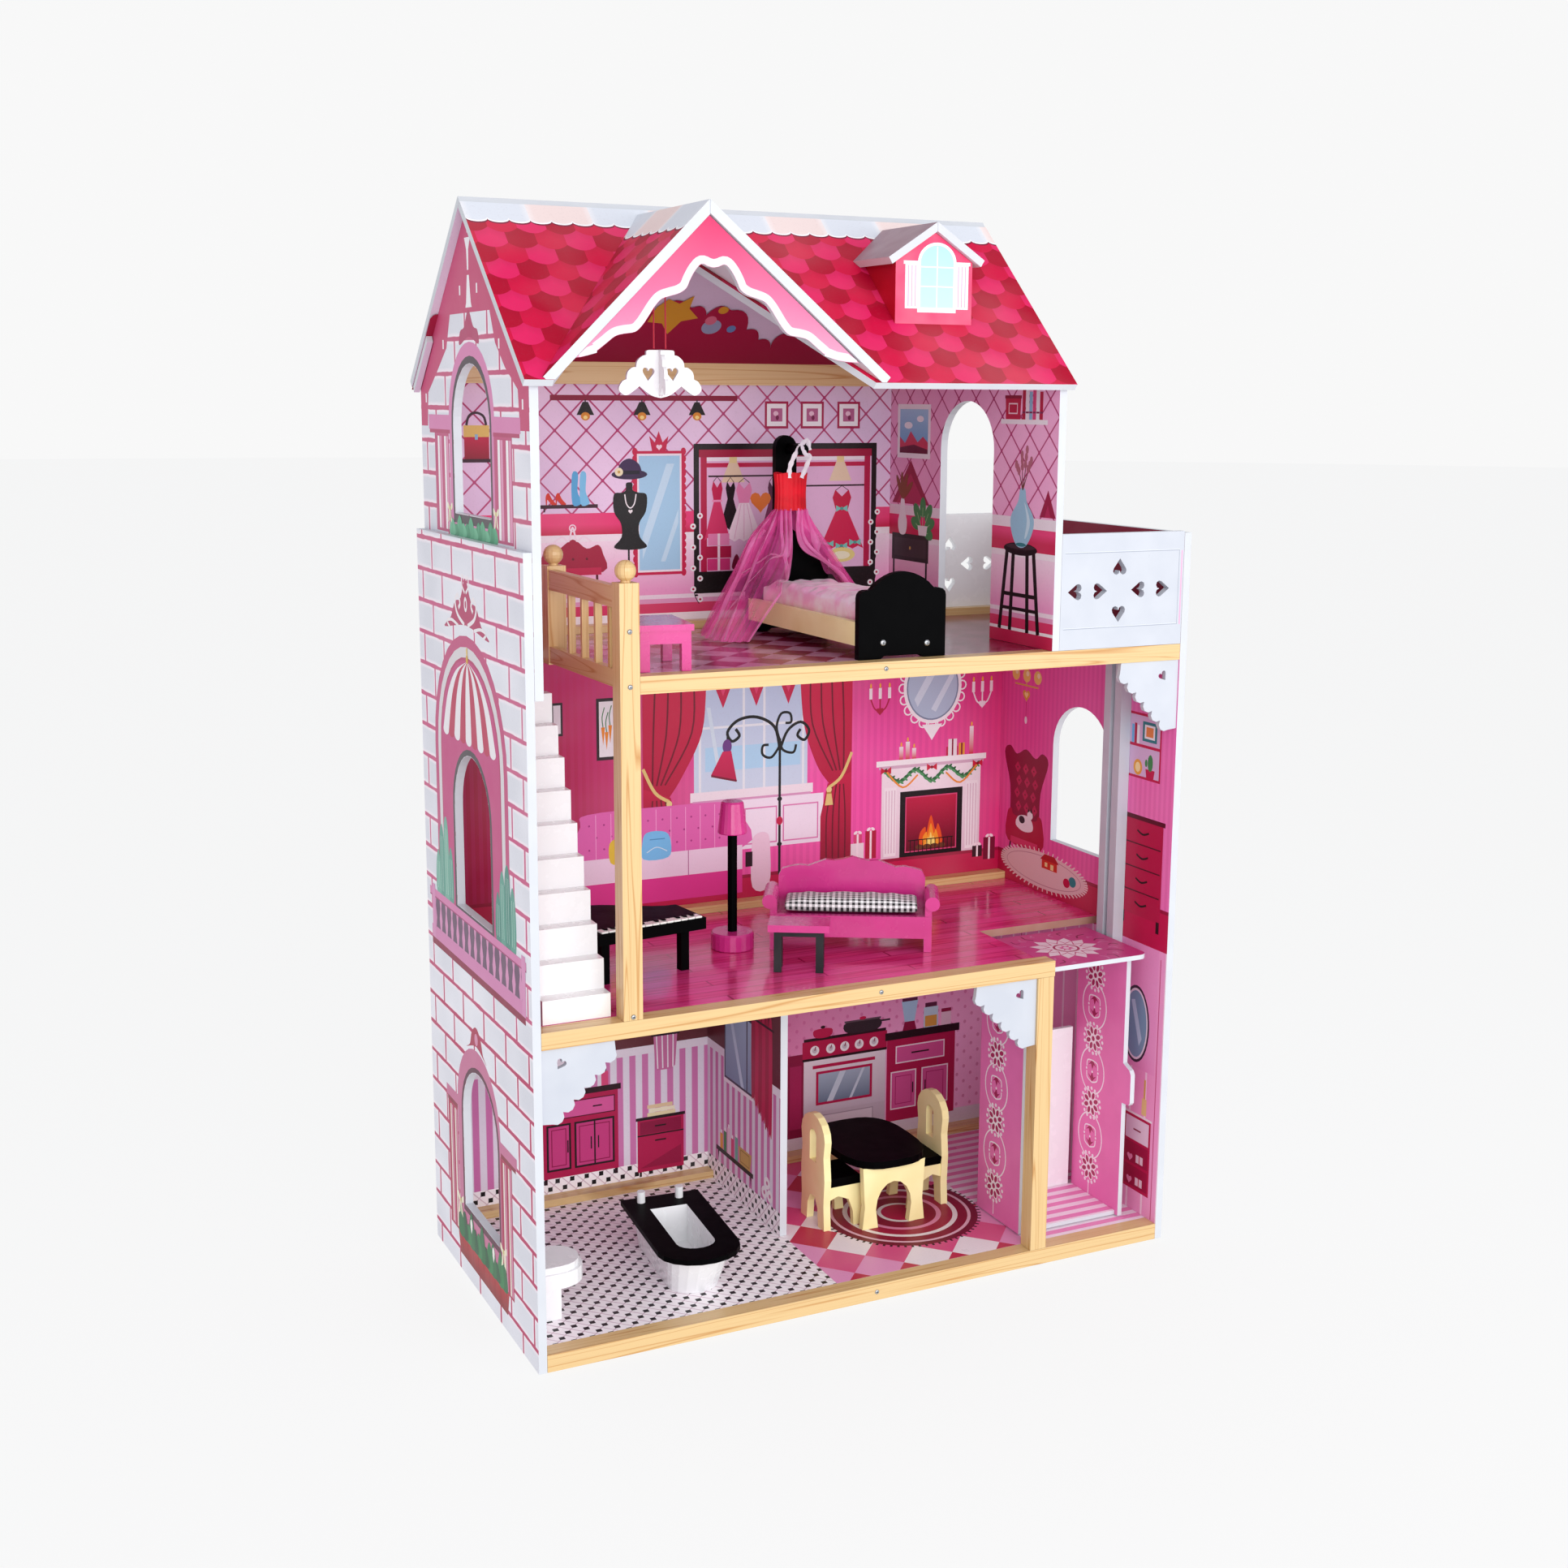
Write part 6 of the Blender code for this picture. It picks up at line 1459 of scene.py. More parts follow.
# Dormer window
p = Print("dormer_window", on_front("dormer_box"))
mid = ((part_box("dormer_box")[0][0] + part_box("dormer_box")[1][0]) / 2 - LEFT) * 1000 + 3.5
p.poly(arch_outline(mid, 23.5, 1081.9, 1154, 0.9), "F6F2F5")
for side in (-1, 1):
    inner, outer = mid + side * 21.5, mid + side * 38.5
    p.rect(min(inner, outer), 1085.7, max(inner, outer), 1133, "F7EEF3")
    p.rect(min(inner, outer) - 2, 1131, max(inner, outer) + 2, 1134.5, "F8F5F8")
    for k in range(3):
        u = mid + side * (26.2 + 4.2 * k)
        p.rect(u - 0.6, 1088, u + 0.6, 1130, "EFA9C6")
p.rect(mid - 22.5, 1081.9, mid + 22.5, 1087, "F8F5F8")
p.poly(arch_outline(mid, 20, 1087, 1151, 0.9), ("BFE4F2", "AEDDF0"))
p.rect(mid - 0.7, 1087, mid + 0.7, 1150, "E9F7FB").rect(mid - 20, 1108, mid + 20, 1109.4, "E9F7FB")
p.rect(mid - 20, 1128, mid + 20, 1129.4, "E9F7FB")
p.done()

# Outside of the left wall: a balustraded arch with an awning upstairs, a planted window below
HOLE_LOW = arch_outline(190, 64.5, 87.5, 262.5)
HOLE_MID = arch_outline(190, 64.5, 439.5, 617.1)
HOLE_TOP = arch_outline(190, 64.5, 869.5, 1025.5)


def shutters(p, spans, low, high, red, pale, pink):
    for y0, y1 in spans:
        p.rect(y0, low, y1, high, red)
        wide = (y1 - y0 - 4) / 6
        for k in range(6):
            p.rect(y0 + 2 + wide * k + 0.8, low + 3, y0 + 2 + wide * (k + 1) - 0.8, high - 3,
                   (pink, pale, red)[k % 3])


def bow(p, y, z, size, code):
    for side in (-1, 1):
        p.blob([(y, z), (y + side * size * 0.9, z + size * 0.7), (y + side * size, z + size * 0.1),
                (y + side * size * 0.5, z - size * 0.2)], code)
        p.poly([(y, z), (y + side * size * 0.3, z), (y + side * size * 0.8, z - size * 1.7),
                (y + side * size * 0.2, z - size * 1.4)], code)
    p.oval(y, z, size * 0.24, size * 0.28, "D9C083", steps=10)


def bushes(p, y0, y1, z, tall, codes):
    count = int((y1 - y0) / 13)
    for k in range(count):
        y = y0 + (k + 0.5) * (y1 - y0) / count
        high = tall * (0.75 + 0.25 * math.sin(k * 2.3))
        p.blob([(y - 10, z), (y - 9, z + high * 0.6), (y, z + high), (y + 9, z + high * 0.6), (y + 10, z)],
               codes[k % len(codes)])
        p.stroke([(y, z + 2), (y + 1, z + high * 0.8)], 1, codes[(k + 1) % len(codes)])


p = Print("outside_lower_pictures", on_left("lower_left_wall"))
p.poly(arch_outline(195, 80, 45, 288), "C86E96", HOLE_LOW)
p.poly(arch_outline(190, 70, 80, 268), "5A1A38", HOLE_LOW)
p.blob([(160, 283), (172, 290), (180, 306), (196, 315), (212, 306), (220, 290), (233, 283), (196, 293)],
       "AE1F4C")
p.oval(196, 301, 6, 7, "D98AAC")
for y0, y1 in ((60, 119), (271.5, 319)):
    p.rect(y0, 200, y1, 212.5, "C86E96").rect(y0 + 4, 195, y1 - 4, 200, "8E1236")
shutters(p, ((78, 117), (276, 314)), 45, 195, "B01E50", "EFE6DC", "D98AAC")
p.poly([(102, 20), (278, 20), (285, 46), (96, 46)], ("8A0C1A", "B8121F"))
for k in range(9):
    p.line([(108 + 20 * k, 22), (106 + 20.5 * k, 44)], 1, "7A0A18")
bushes(p, 105, 278, 45, 41, ("1E6B3C", "2F7F4A", "175532"))
bow(p, 113, 88, 11, "EFE6CC")
bow(p, 273, 86, 11, "EFE6CC")
for y in (150, 232):
    p.oval(y, 72, 4.2, 5.8, "F4F1EC", steps=10).poly([(y - 4, 68), (y + 4, 68), (y, 60)], "F4F1EC")
# arch
p.poly(arch_outline(194, 131, 378, 745), "C44C7E", HOLE_MID)
p.poly(arch_outline(194, 119, 378, 733), "DCD5DA", HOLE_MID)
p.poly(arch_outline(194, 108, 378, 722), "B83A6C", HOLE_MID)
p.poly(arch_outline(194, 105, 378, 719), "C54480", HOLE_MID)
# A grey ring hugging the window opening: painted shade
p.poly(arch_outline(190, 70.5, 434, 623.5), "4A4048", HOLE_MID)
hem = [100 + 21.1 * k for k in range(10)]
for k in range(9):
    left_edge, right_edge = ([(193.5 + (y - 193.5) * s, z) for s,
                              z in ((0.03, 717), (0.45, 703), (0.78, 675),
                                    (1.0, 633))] for y in hem[k:k + 2])
    low = oval((hem[k] + hem[k + 1]) / 2, 633, 10.55, 6, 8, 180, 180)
    p.poly([*curve(left_edge)[:-1], *low, *reversed(curve(right_edge)[:-1])],
           "EFE9EE" if k % 2 == 0 else "BE2C56")
p.oval(193.5, 720, 4, 5, "D9A83C").oval(193.5, 728, 2.4, 4.6, "E9C36A")
p.blob([(115, 747), (140, 760), (156, 778), (175, 783), (194, 805), (213, 783), (233, 778), (250, 760),
        (274, 747), (194, 756)], "B83A68")
for side in (-1, 1):
    p.stroke([(194.5 + side * u, v) for u, v in ((6, 756), (30, 765), (38, 778), (28, 786), (20, 778),
                                                 (26, 772))], 4.4, "F1E9EE")
    p.stroke([(194.5 + side * u, v) for u, v in ((28, 753), (52, 757), (70, 754), (60, 748))], 3.4,
             "F1E9EE")
    p.stroke([(194.5 + side * u, v) for u, v in ((2, 790), (12, 798), (10, 808), (3, 804))], 3.2, "F1E9EE")
p.oval(194.5, 778, 5.5, 8, "F1E9EE").oval(194.5, 778, 2.6, 4.2, "B83A68")
# cacti either side of the window
for group, codes in ((((55, 505), (72, 525), (89, 515), (104, 490)), ("5F9E8F", "4B8A7E")),
                     (((276, 500), (293, 532), (311, 520), (326, 488)), ("5F9E8F", "76B09F"))):
    for k, (y, top) in enumerate(group):
        p.blob([(y - 8.5, 438), (y - 8.8, top - 20), (y, top), (y + 8.8, top - 20), (y + 8.5, 438)],
               codes[k % 2])
        for offset in (-3, 3):
            p.line([(y + offset, 442), (y + offset, top - 14)], 0.8, "CFE6DC")
# balustrade
p.rect(20, 370, 360, 379, "8E1240").rect(20, 378, 360, 393, "D583B4")
p.rect(30, 393, 352, 428, "6A4A66")
for k in range(15):
    y = 34 + 22.2 * k
    p.poly([(y - 3, 393), (y + 3, 393), (y + 5.8, 405), (y + 2, 418), (y + 4.2, 428), (y - 4.2, 428),
            (y - 2, 418), (y - 5.8, 405)], "D98FBC")
p.rect(15, 428, 365, 437, "D77FB0").rect(15, 426.8, 365, 428.4, "A83A74")
for y in (24, 350):
    p.rect(y - 6, 378, y + 6, 442, "D98FBC")
p.done()

gable_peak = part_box("upper_left_wall")[1][2] * 1000


def verge(y):
    return gable_peak - abs(y - 189) * drop


p = Print("outside_upper_pictures", on_left("upper_left_wall"))
p.poly([(1, 960), (1, verge(1)), (189, gable_peak), (377, verge(377)), (377, 960), (352, 960), (347, 996),
        (310, 1018), (272, 1042), (256, 1076), (118, 1076), (102, 1044), (72, 1020), (34, 999), (29, 960)],
       "C94D77")
for y, z in ((159, 1099), (218, 1099), (90, 1043), (284, 1046), (20, 985), (356, 990)):
    p.rect(y - 2.2, z - 4.8, y + 2.2, z + 4.8, "F4EFF4")
p.poly([(178, 1150), (198, 1150), (191.5, 1138), (190.5, 1118), (185.5, 1118), (184.5, 1138)], "F4EFF4")
p.poly([(184.5, 1113), (191.5, 1113), (196, 1086), (199, 1081), (177, 1081), (180, 1086)], "F4EFF4")
p.poly([(185, 1160), (191, 1160), (188, 1154)], "F4EFF4")
p.poly(arch_outline(190, 80, 855, 1047), "DB86B5", HOLE_TOP)
# A grey ring hugging the window opening: painted shade
p.poly(arch_outline(190, 70, 860, 1033), "54484F", HOLE_TOP)
p.blob([(157, 1044), (160, 1058), (174, 1062), (190, 1079), (206, 1062), (220, 1058), (224, 1044),
        (190, 1052)], "B8476F")
for y0, y1 in ((28, 118), (264, 348)):
    p.rect(y0, 957, y1, 972.5, "DB86B5").rect(y0 + 3, 953, y1 - 3, 957, "B8476F")
shutters(p, ((55, 113), (272, 326)), 848, 953, "C4557F", "F7F1F4", "E39ABC")
p.rect(108, 844, 274, 856, "5A3A4A")
bushes(p, 110, 272, 847, 21.5, ("5FAE86", "4C9A74", "73BD97"))
bow(p, 111, 876, 9, "EFE6CC")
bow(p, 274, 874, 9, "EFE6CC")
p.done()
# ---------------- cloth


def cloth(name, code, deep, scale, roughness=0.55, veil=None, **sockets):
    """Woven cloth: crossed threads in the bump, a deeper colour as painted shade where it creases; veil is a
    range of cover.
    """
    s = Shader(name, roughness, **sockets)
    warp = (s.x / scale).frac().centred(1.0)
    weft = ((s.y + s.z) / scale).frac().centred(1.0)
    crease_and_shade = s.noise(38, detail=3)
    # Painted shade: the colour deepens where the crease noise rises
    s.colour(s.mix(s.soft(crease_and_shade, 0.38, 0.66), code, deep))
    s.bump(warp + weft + crease_and_shade * 2, 0.18, 0.0003)
    if veil:
        cover = s.soft(s.noise(16, detail=0), 0.30, 0.70) * (veil[1] - veil[0]) + veil[0]
        s.tree.links.new(cover.socket, s.bsdf.inputs["Alpha"])
    return s.material


TULLE = cloth("tulle", "FF62BA", "EA409E", 0.0009, 0.6, (0.30, 0.58), Sheen_Weight=0.45,
              Specular_IOR_Level=0.2)
# A lighter pink than the net on its doubled edges and folds: painted highlight
TULLE_EDGE = cloth("tulle_edge", "FF9AD8", "FF74C6", 0.0009, 0.6, Alpha=0.5, Sheen_Weight=0.6,
                   Specular_IOR_Level=0.2)
RED_SATIN = cloth("red_satin", "E80C26", "C8081C", 0.0007, 0.45, Sheen_Weight=0.1, Specular_IOR_Level=0.2)
PINK_SATIN = cloth("pink_satin", "FFE8F6", "FAA8DA", 0.0007, 0.18, Sheen_Weight=0.5, Coat_Weight=0.4)
RIBBON = cloth("white_ribbon", "F6F2F7", "DDD4DF", 0.0006, 0.38, Sheen_Weight=0.3)


def gingham(place):
    """Black and white checks woven square to the sofa."""
    s = Shader("gingham", 0.8, Sheen_Weight=0.2)
    turned = place.inverted()
    u = s.x * turned[0][0] + s.y * turned[0][1]
    v = s.x * turned[1][0] + s.y * turned[1][1] + s.z
    one = (u / 0.0066).frac().above(0.5)
    two = (v / 0.0066).frac().above(0.5)
    grey = s.mix((one + two) * 0.5, "FBFBFD", "050508")
    thread = (s.x / 0.0005).frac().centred(1.0) + ((s.y + s.z) / 0.0005).frac().centred(1.0)
    s.colour(s.mix(s.noise(700, detail=1) * 0.06, grey, "8A8A92"))
    s.bump(thread + s.noise(60, detail=2) * 2, 0.25, 0.0003)
    return s.material


def add_mesh(name, corners, faces, look, body, rounded=True):
    mesh = bpy.data.meshes.new(name)
    mesh.from_pydata(corners, [], faces)
    mesh.materials.append(look)
    for polygon in mesh.polygons:
        polygon.use_smooth = rounded
    made = placed(name, mesh)
    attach(made, body)
    return made


def sheet_grid(name, columns, rows, point, look, body, loop=False):
    """A cloth grid whose corners come from point(across, down), both from 0 to 1."""
    wide = columns if loop else columns + 1
    corners = [point(i / columns, j / rows) for j in range(rows + 1) for i in range(wide)]
    faces = []
    for j in range(rows):
        for i in range(columns):
            k = (i + 1) % wide
            faces.append((j * wide + i, j * wide + k, (j + 1) * wide + k, (j + 1) * wide + i))
    return add_mesh(name, corners, faces, look, body)


# The bed's corner of origin; all the cloth on it is drawn from there
BED = at(0.425, 0.018, THIRD + 0.0003)
COLLAR_MID = Vector((-0.007, 0.260, 0))
COLLAR_FOOT = 0.1445  # height at which the net leaves the collar
NET_ROWS = 40
CUFF_TALL = 0.043
PAD_TOP = 0.0655
# The net's upright lines from one front edge round the back to the other: each has its angle at the collar in
# degrees, then its shoulder, knee and hem; the gap between the first and the last is the parting at the front
CURTAIN = [(-100, (-0.0125, 0.2470, 0.0860), (-0.0520, 0.1860, 0.0570), (-0.1035, 0.1635, 0.0040)),
           (-140, (-0.0300, 0.2460, 0.1050), (-0.0720, 0.2120, 0.0580), (-0.1220, 0.1740, 0.0030)),
           (-180, (-0.0480, 0.2560, 0.1120), (-0.0860, 0.2360, 0.0520), (-0.1320, 0.2000, 0.0030)),
           (-210, (-0.0520, 0.2640, 0.1130), (-0.0900, 0.2560, 0.0470), (-0.1270, 0.2400, 0.0030)),
           (-240, (-0.0490, 0.2680, 0.1130), (-0.0830, 0.2700, 0.0550), (-0.1120, 0.2680, 0.0040)),
           (-270, (-0.0070, 0.2700, 0.1400), (-0.0070, 0.2710, 0.1370), (-0.0070, 0.2720, 0.1340)),
           (-320, (0.0340, 0.2640, 0.1130), (0.0680, 0.2620, 0.0620), (0.1020, 0.2620, 0.0040)),
           (-365, (0.0240, 0.2560, 0.1120), (0.0600, 0.2550, 0.0660), (0.1080, 0.2400, 0.0030)),
           (-435, (0.0010, 0.2490, 0.1030), (0.0480, 0.2480, 0.0690), (0.0850, 0.2320, 0.0040))]


def curtain_stops(across):
    """The four stops of one upright line of the net: collar, shoulder, knee and hem."""
    spot = min(across * 8, 7.9999)
    i, t = int(spot), spot - int(spot)
    low, high = (0, 4) if i < 4 else (6, 8) if i > 5 else (i, i + 1)
    four = [CURTAIN[min(max(i + k, low), high)] for k in (-1, 0, 1, 2)]
    angle = math.radians(between(*(c[0] for c in four), t))
    top = COLLAR_MID + Vector((0.0195 * math.cos(angle), 0.0085 * math.sin(angle), COLLAR_FOOT))
    return [top] + [between(*(Vector(c[k]) for c in four), t) for k in (1, 2, 3)]


def net_point(across, down):
    """The net leaves the collar in pleats that open and soften on their way down."""
    stops = curtain_stops(across)
    spot = min(down * 3, 2.9999)
    i, t = int(spot), spot - int(spot)
    p = between(*(stops[min(max(i + k, 0), 3)] for k in (-1, 0, 1, 2)), t)
    slow = space_noise.noise(Vector((across * 6, down * 1.8, 4.2)))
    quick = space_noise.noise(Vector((across * 19, down * 4.5, 8.1)))
    outward = Vector((p.x - COLLAR_MID.x, (p.y - COLLAR_MID.y) * 1.6 - 0.012, 0)).normalized()
    wave = math.sin(2 * math.pi * (across * 17 + 0.5 * slow))
    wave += 0.5 * math.sin(2 * math.pi * across * 41 + down * 3.1)
    swell = 0.0008 + 0.0030 * math.sin(math.pi * min(down * 1.1, 1.0) * 0.66)
    p += outward * (wave * swell + 0.0035 * quick * down)
    ripple = 0.0035 * quick + 0.0020 * math.sin(26 * across + 9 * down)
    p += Vector((0, 0, ripple * math.sin(math.pi * down)))
    p.y = min(p.y, 0.2745)
    over_pad = abs(p.x) < 0.0545 and 0.01 < p.y < 0.272
    p.z = min(max(p.z, PAD_TOP if over_pad else 0.0022), COLLAR_FOOT)
    return p + BED


net = sheet_grid("canopy_tulle", 240, NET_ROWS, net_point, TULLE, "bed")
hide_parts("canopy_net")


def front_edge(name, across, inward):
    """The doubled, turned-back front edge of a curtain."""
    def point(u, v):
        bow = Vector((0, -0.0010 - 0.0012 * math.sin(math.pi * u), 0.0004))
        return net_point(across + inward * u, v) + bow
    return sheet_grid(name, 4, NET_ROWS, point, TULLE_EDGE, "bed")


def gathered_fold(name, route, width):
    """A doubled fold of the net that follows a route of (across, down) stops."""
    line = curve(route, steps=8)

    def point(u, v):
        across, down = line[round(v * (len(line) - 1))]
        narrow = width * (0.35 + 0.65 * math.sin(math.pi * min(0.15 + v * 0.85, 1.0)))
        spot = net_point(min(max(across + (u - 0.5) * narrow, 0.0), 1.0),
                         min(down + (u - 0.5) * narrow * 1.2, 1.0))
        return spot + Vector((-0.0003, -0.0008 - 0.0030 * math.sin(math.pi * u),
                              0.0010 * math.sin(math.pi * u)))
    return sheet_grid(name, 6, len(line) - 1, point, TULLE_EDGE, "bed")


edges = [front_edge("canopy_edge_left", 0.0, 0.020), front_edge("canopy_edge_right", 1.0, -0.020)]
for k, (wide, stops) in enumerate((
        (0.045, [(0.02, 0.03), (0.02, 0.18), (0.045, 0.34), (0.11, 0.42), (0.20, 0.49), (0.28, 0.56)]),
        (0.035, [(0.07, 0.02), (0.07, 0.20), (0.06, 0.34), (0.03, 0.42), (0.015, 0.52)]),
        (0.025, [(0.12, 0.02), (0.11, 0.22), (0.08, 0.36), (0.14, 0.50), (0.21, 0.64), (0.25, 0.80)]),
        (0.022, [(0.18, 0.02), (0.20, 0.30), (0.21, 0.60), (0.17, 0.98)]),
        (0.022, [(0.26, 0.02), (0.30, 0.30), (0.31, 0.62), (0.28, 0.98)]),
        (0.030, [(0.96, 0.03), (0.95, 0.25), (0.965, 0.45), (0.975, 0.62)]),
        (0.025, [(0.91, 0.02), (0.90, 0.25), (0.92, 0.45), (0.95, 0.64)]))):
    edges.append(gathered_fold("canopy_fold_%d" % k, stops, wide))


def collar_point(across, down):
    angle = 2 * math.pi * across
    waist = math.sin(math.pi * down)
    pleat = 1 + 0.030 * math.sin(22 * angle) * (1 - 0.5 * waist) - 0.05 * waist
    flare = 1 + 0.05 * (1 - down)
    radius = 0.0200 * pleat * flare
    rim = 0.0010 * math.sin(3 * angle + 0.6) * (1 - down)
    return BED + COLLAR_MID + Vector((radius * math.cos(angle), radius * 0.45 * math.sin(angle),
                                      0.1855 - CUFF_TALL * down + rim))


collar = sheet_grid("canopy_cuff", 132, 14, collar_point, RED_SATIN, "bed", loop=True)
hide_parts("canopy_collar")


def ribbon_strip(name, route, width):
    """A flat satin ribbon along a route of points, lying square to the line of sight along +y."""
    count = len(route)
    corners, faces = [], []
    for i, spot in enumerate(route):
        before, after = Vector(route[max(i - 1, 0)]), Vector(route[min(i + 1, count - 1)])
        along = (after - before).normalized()
        across = along.cross(Vector((0.25, 1, 0.1))).normalized()
        pinch = width * (0.85 + 0.15 * math.cos(i * 1.7))
        for k in range(5):
            u = k / 4 - 0.5
            bow = Vector((0, -0.0009 * math.cos(math.pi * u), 0))
            corners.append(BED + Vector(spot) + across * pinch * u + bow)
    for i in range(count - 1):
        for k in range(4):
            a = i * 5 + k
            faces.append((a, a + 1, a + 6, a + 5))
    return add_mesh(name, corners, faces, RIBBON, "bed")


def smooth_route(points, steps=6):
    flat = curve([(p[0], p[2]) for p in points], steps=steps)
    deep = curve([(p[1], 0.0) for p in points], steps=steps)
    return [(a, d, z) for (a, z), (d, _) in zip(flat, deep)]


LEFT_LOOP = [(-0.0130, 0.2515, 0.1800), (-0.0125, 0.2500, 0.1930), (-0.0080, 0.2450, 0.2080),
             (-0.0010, 0.2400, 0.2205), (0.0060, 0.2415, 0.2225), (0.0085, 0.2430, 0.2120)]
RIGHT_LOOP = [(0.0030, 0.2515, 0.1800), (0.0075, 0.2490, 0.1920), (0.0095, 0.2430, 0.2050),
              (0.0040, 0.2395, 0.2060), (-0.0010, 0.2400, 0.2120), (-0.0040, 0.2405, 0.2200)]
loops = [ribbon_strip("canopy_ribbon_left", smooth_route(LEFT_LOOP), 0.0062),
         ribbon_strip("canopy_ribbon_right", smooth_route(RIGHT_LOOP), 0.0060)]


def block(name, low, high, cell):
    """A closed block cut into even cells, ready to be blown up."""
    work = bmesh.new()
    bmesh.ops.create_cube(work, size=1.0)
    size = [b - a for a, b in zip(low, high)]
    for v in work.verts:
        v.co = Vector([low[k] + (v.co[k] + 0.5) * size[k] for k in range(3)])
    for axis in range(3):
        count = max(2, round(size[axis] / cell))
        for step in range(1, count):
            normal = [0, 0, 0]
            normal[axis] = 1
            place = [0, 0, 0]
            place[axis] = low[axis] + size[axis] * step / count
            whole = work.verts[:] + work.edges[:] + work.faces[:]
            bmesh.ops.bisect_plane(work, geom=whole, plane_co=place, plane_no=normal)
    bmesh.ops.recalc_face_normals(work, faces=work.faces[:])
    return finished(work, name)


def inflated(name, node, low, high, place, look, body, cap, limits, crumple):
    """A stuffed cushion: the CAD block drawn in, blown up as cloth, creased, and kept inside its limits."""
    inset = [0.0035, 0.0030, 0.0022]
    mesh = block(name, [a + d for a, d in zip(low, inset)], [b - d for b, d in zip(high, inset)], 0.0045)
    piece = placed(name, mesh)
    start = [v.co.copy() for v in mesh.vertices]
    blown = piece.modifiers.new("blown", "CLOTH")
    blown.settings.use_pressure = True
    blown.settings.uniform_pressure_force = 4
    blown.settings.mass = 0.05
    blown.settings.bending_stiffness = 0.8
    blown.settings.effector_weights.gravity = 0
    blown.point_cache.frame_end = 22
    for step in range(1, 21):
        bpy.context.scene.frame_set(step)
    ready = piece.evaluated_get(bpy.context.evaluated_depsgraph_get())
    moved = [v.co.copy() for v in ready.data.vertices]
    piece.modifiers.remove(blown)
    bpy.context.scene.frame_set(1)
    for v, old, new in zip(mesh.vertices, start, moved):
        step = new - old
        v.co = old + step * min(1, cap / max(step.length, 1e-9))
    middle = [(a + b) / 2 for a, b in zip(low, high)]
    half = [(b - a) / 2 for a, b in zip(low, high)]
    for v in mesh.vertices:
        edge = [abs(v.co[k] - middle[k]) / half[k] for k in range(3)]
        crown = (1 - min(edge[0], 1) ** 4) * (1 - min(edge[1], 1) ** 4)
        if v.co.z > middle[2]:
            broad = space_noise.noise(Vector((v.co.x * 60, v.co.y * 60, 3)))
            fine = space_noise.noise(Vector((v.co.x * 130, v.co.y * 150, 9)))
            ridge = 0.35 - abs(space_noise.noise(Vector((v.co.x * 42, v.co.y * 55, 5))))
            v.co.z += crumple * ((broad + 0.6 * fine) * 0.7 + crown + ridge * 0.9)
        for k in range(3):
            v.co[k] = min(max(v.co[k], limits[0][k]), limits[1][k])
    mesh.transform(place)
    mesh.materials.append(look)
    shade_smooth(mesh)
    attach(piece, body)
    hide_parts(node)
    finer = piece.modifiers.new("finer", "SUBSURF")
    finer.levels = finer.render_levels = 1
    return piece


inflated("bed_mattress_satin", "bed_mattress", (-0.0435, 0.012, 0.0348), (0.0435, 0.268, 0.0570),
         Matrix.Translation(BED), PINK_SATIN, "bed", 0.004,
         ((-0.0438, 0.0112, 0.0348), (0.0438, 0.2695, 0.0645)), 0.0046)
SOFA_TURN = Matrix.Rotation(math.radians(-28.5), 4, "Z")
SOFA = Matrix.Translation(at(0.4270, 0.1320, SECOND + 0.0003)) @ SOFA_TURN
inflated("sofa_cushion_gingham", "sofa_cushion", (-0.080, 0.007, 0.042), (0.080, 0.0555, 0.056),
         SOFA, gingham(SOFA), "sofa_cushion", 0.003,
         ((-0.0828, 0.0064, 0.0420), (0.0828, 0.0565, 0.0600)), 0.0022)

# Red cord: a loop from the chandelier's plate up over the underside of the ridge and back
PIVOT = at(0.190, 0.1186, 1.161)
half_route = [(-0.0065, -0.1196), (-0.0065, -0.0910), (-0.00585, -0.0200), (-0.0045, -0.0055),
              (0.0, -0.0025)]
route = half_route + [(-x, z) for x, z in reversed(half_route[:-1])]
route = [PIVOT + Vector((x, 0, z)) for x, z in curve(route, steps=3)]
CORD_THICK = 0.0016
line = bpy.data.curves.new("chandelier_red_cord", "CURVE")
line.dimensions = "3D"
line.bevel_depth = CORD_THICK / 2
line.bevel_resolution = 3
spline = line.splines.new("POLY")
spline.points.add(len(route) - 1)
for point, spot in zip(spline.points, route):
    point.co = (*spot, 1)
red_cord = placed("chandelier_red_cord", line)
twist = Shader("twisted_red_cord", 0.7, Sheen_Weight=0.3)
strand = ((twist.x + twist.z) / 0.0012).frac().centred(1.0)
# Painted shade and highlight: darker red where the strand pattern dips and brighter red where it rises, as in
# the bump
twist.colour(twist.mix(twist.soft(strand, 0.1, 0.4), "A80C28", "DE1E42"))
twist.bump(strand, 0.5, 0.0003)
line.materials.append(twist.material)
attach(red_cord, "chandelier")
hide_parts("chandelier_cord")
cord_length = sum((b - a).length for a, b in zip(route, route[1:]))
tuple(route[0])

# ---------------- screws, keys and small fittings

STEEL = Shader("screw_steel", 0.28, Metallic=1.0)
STEEL.colour(STEEL.mix(STEEL.noise(300, detail=2), "C9CBCF", "8E9196"))
STEEL.bump(STEEL.noise(900, detail=1), 0.1, 0.0002)
SLOT = paint("screw_slot_shadow", "17181A", roughness=0.6)


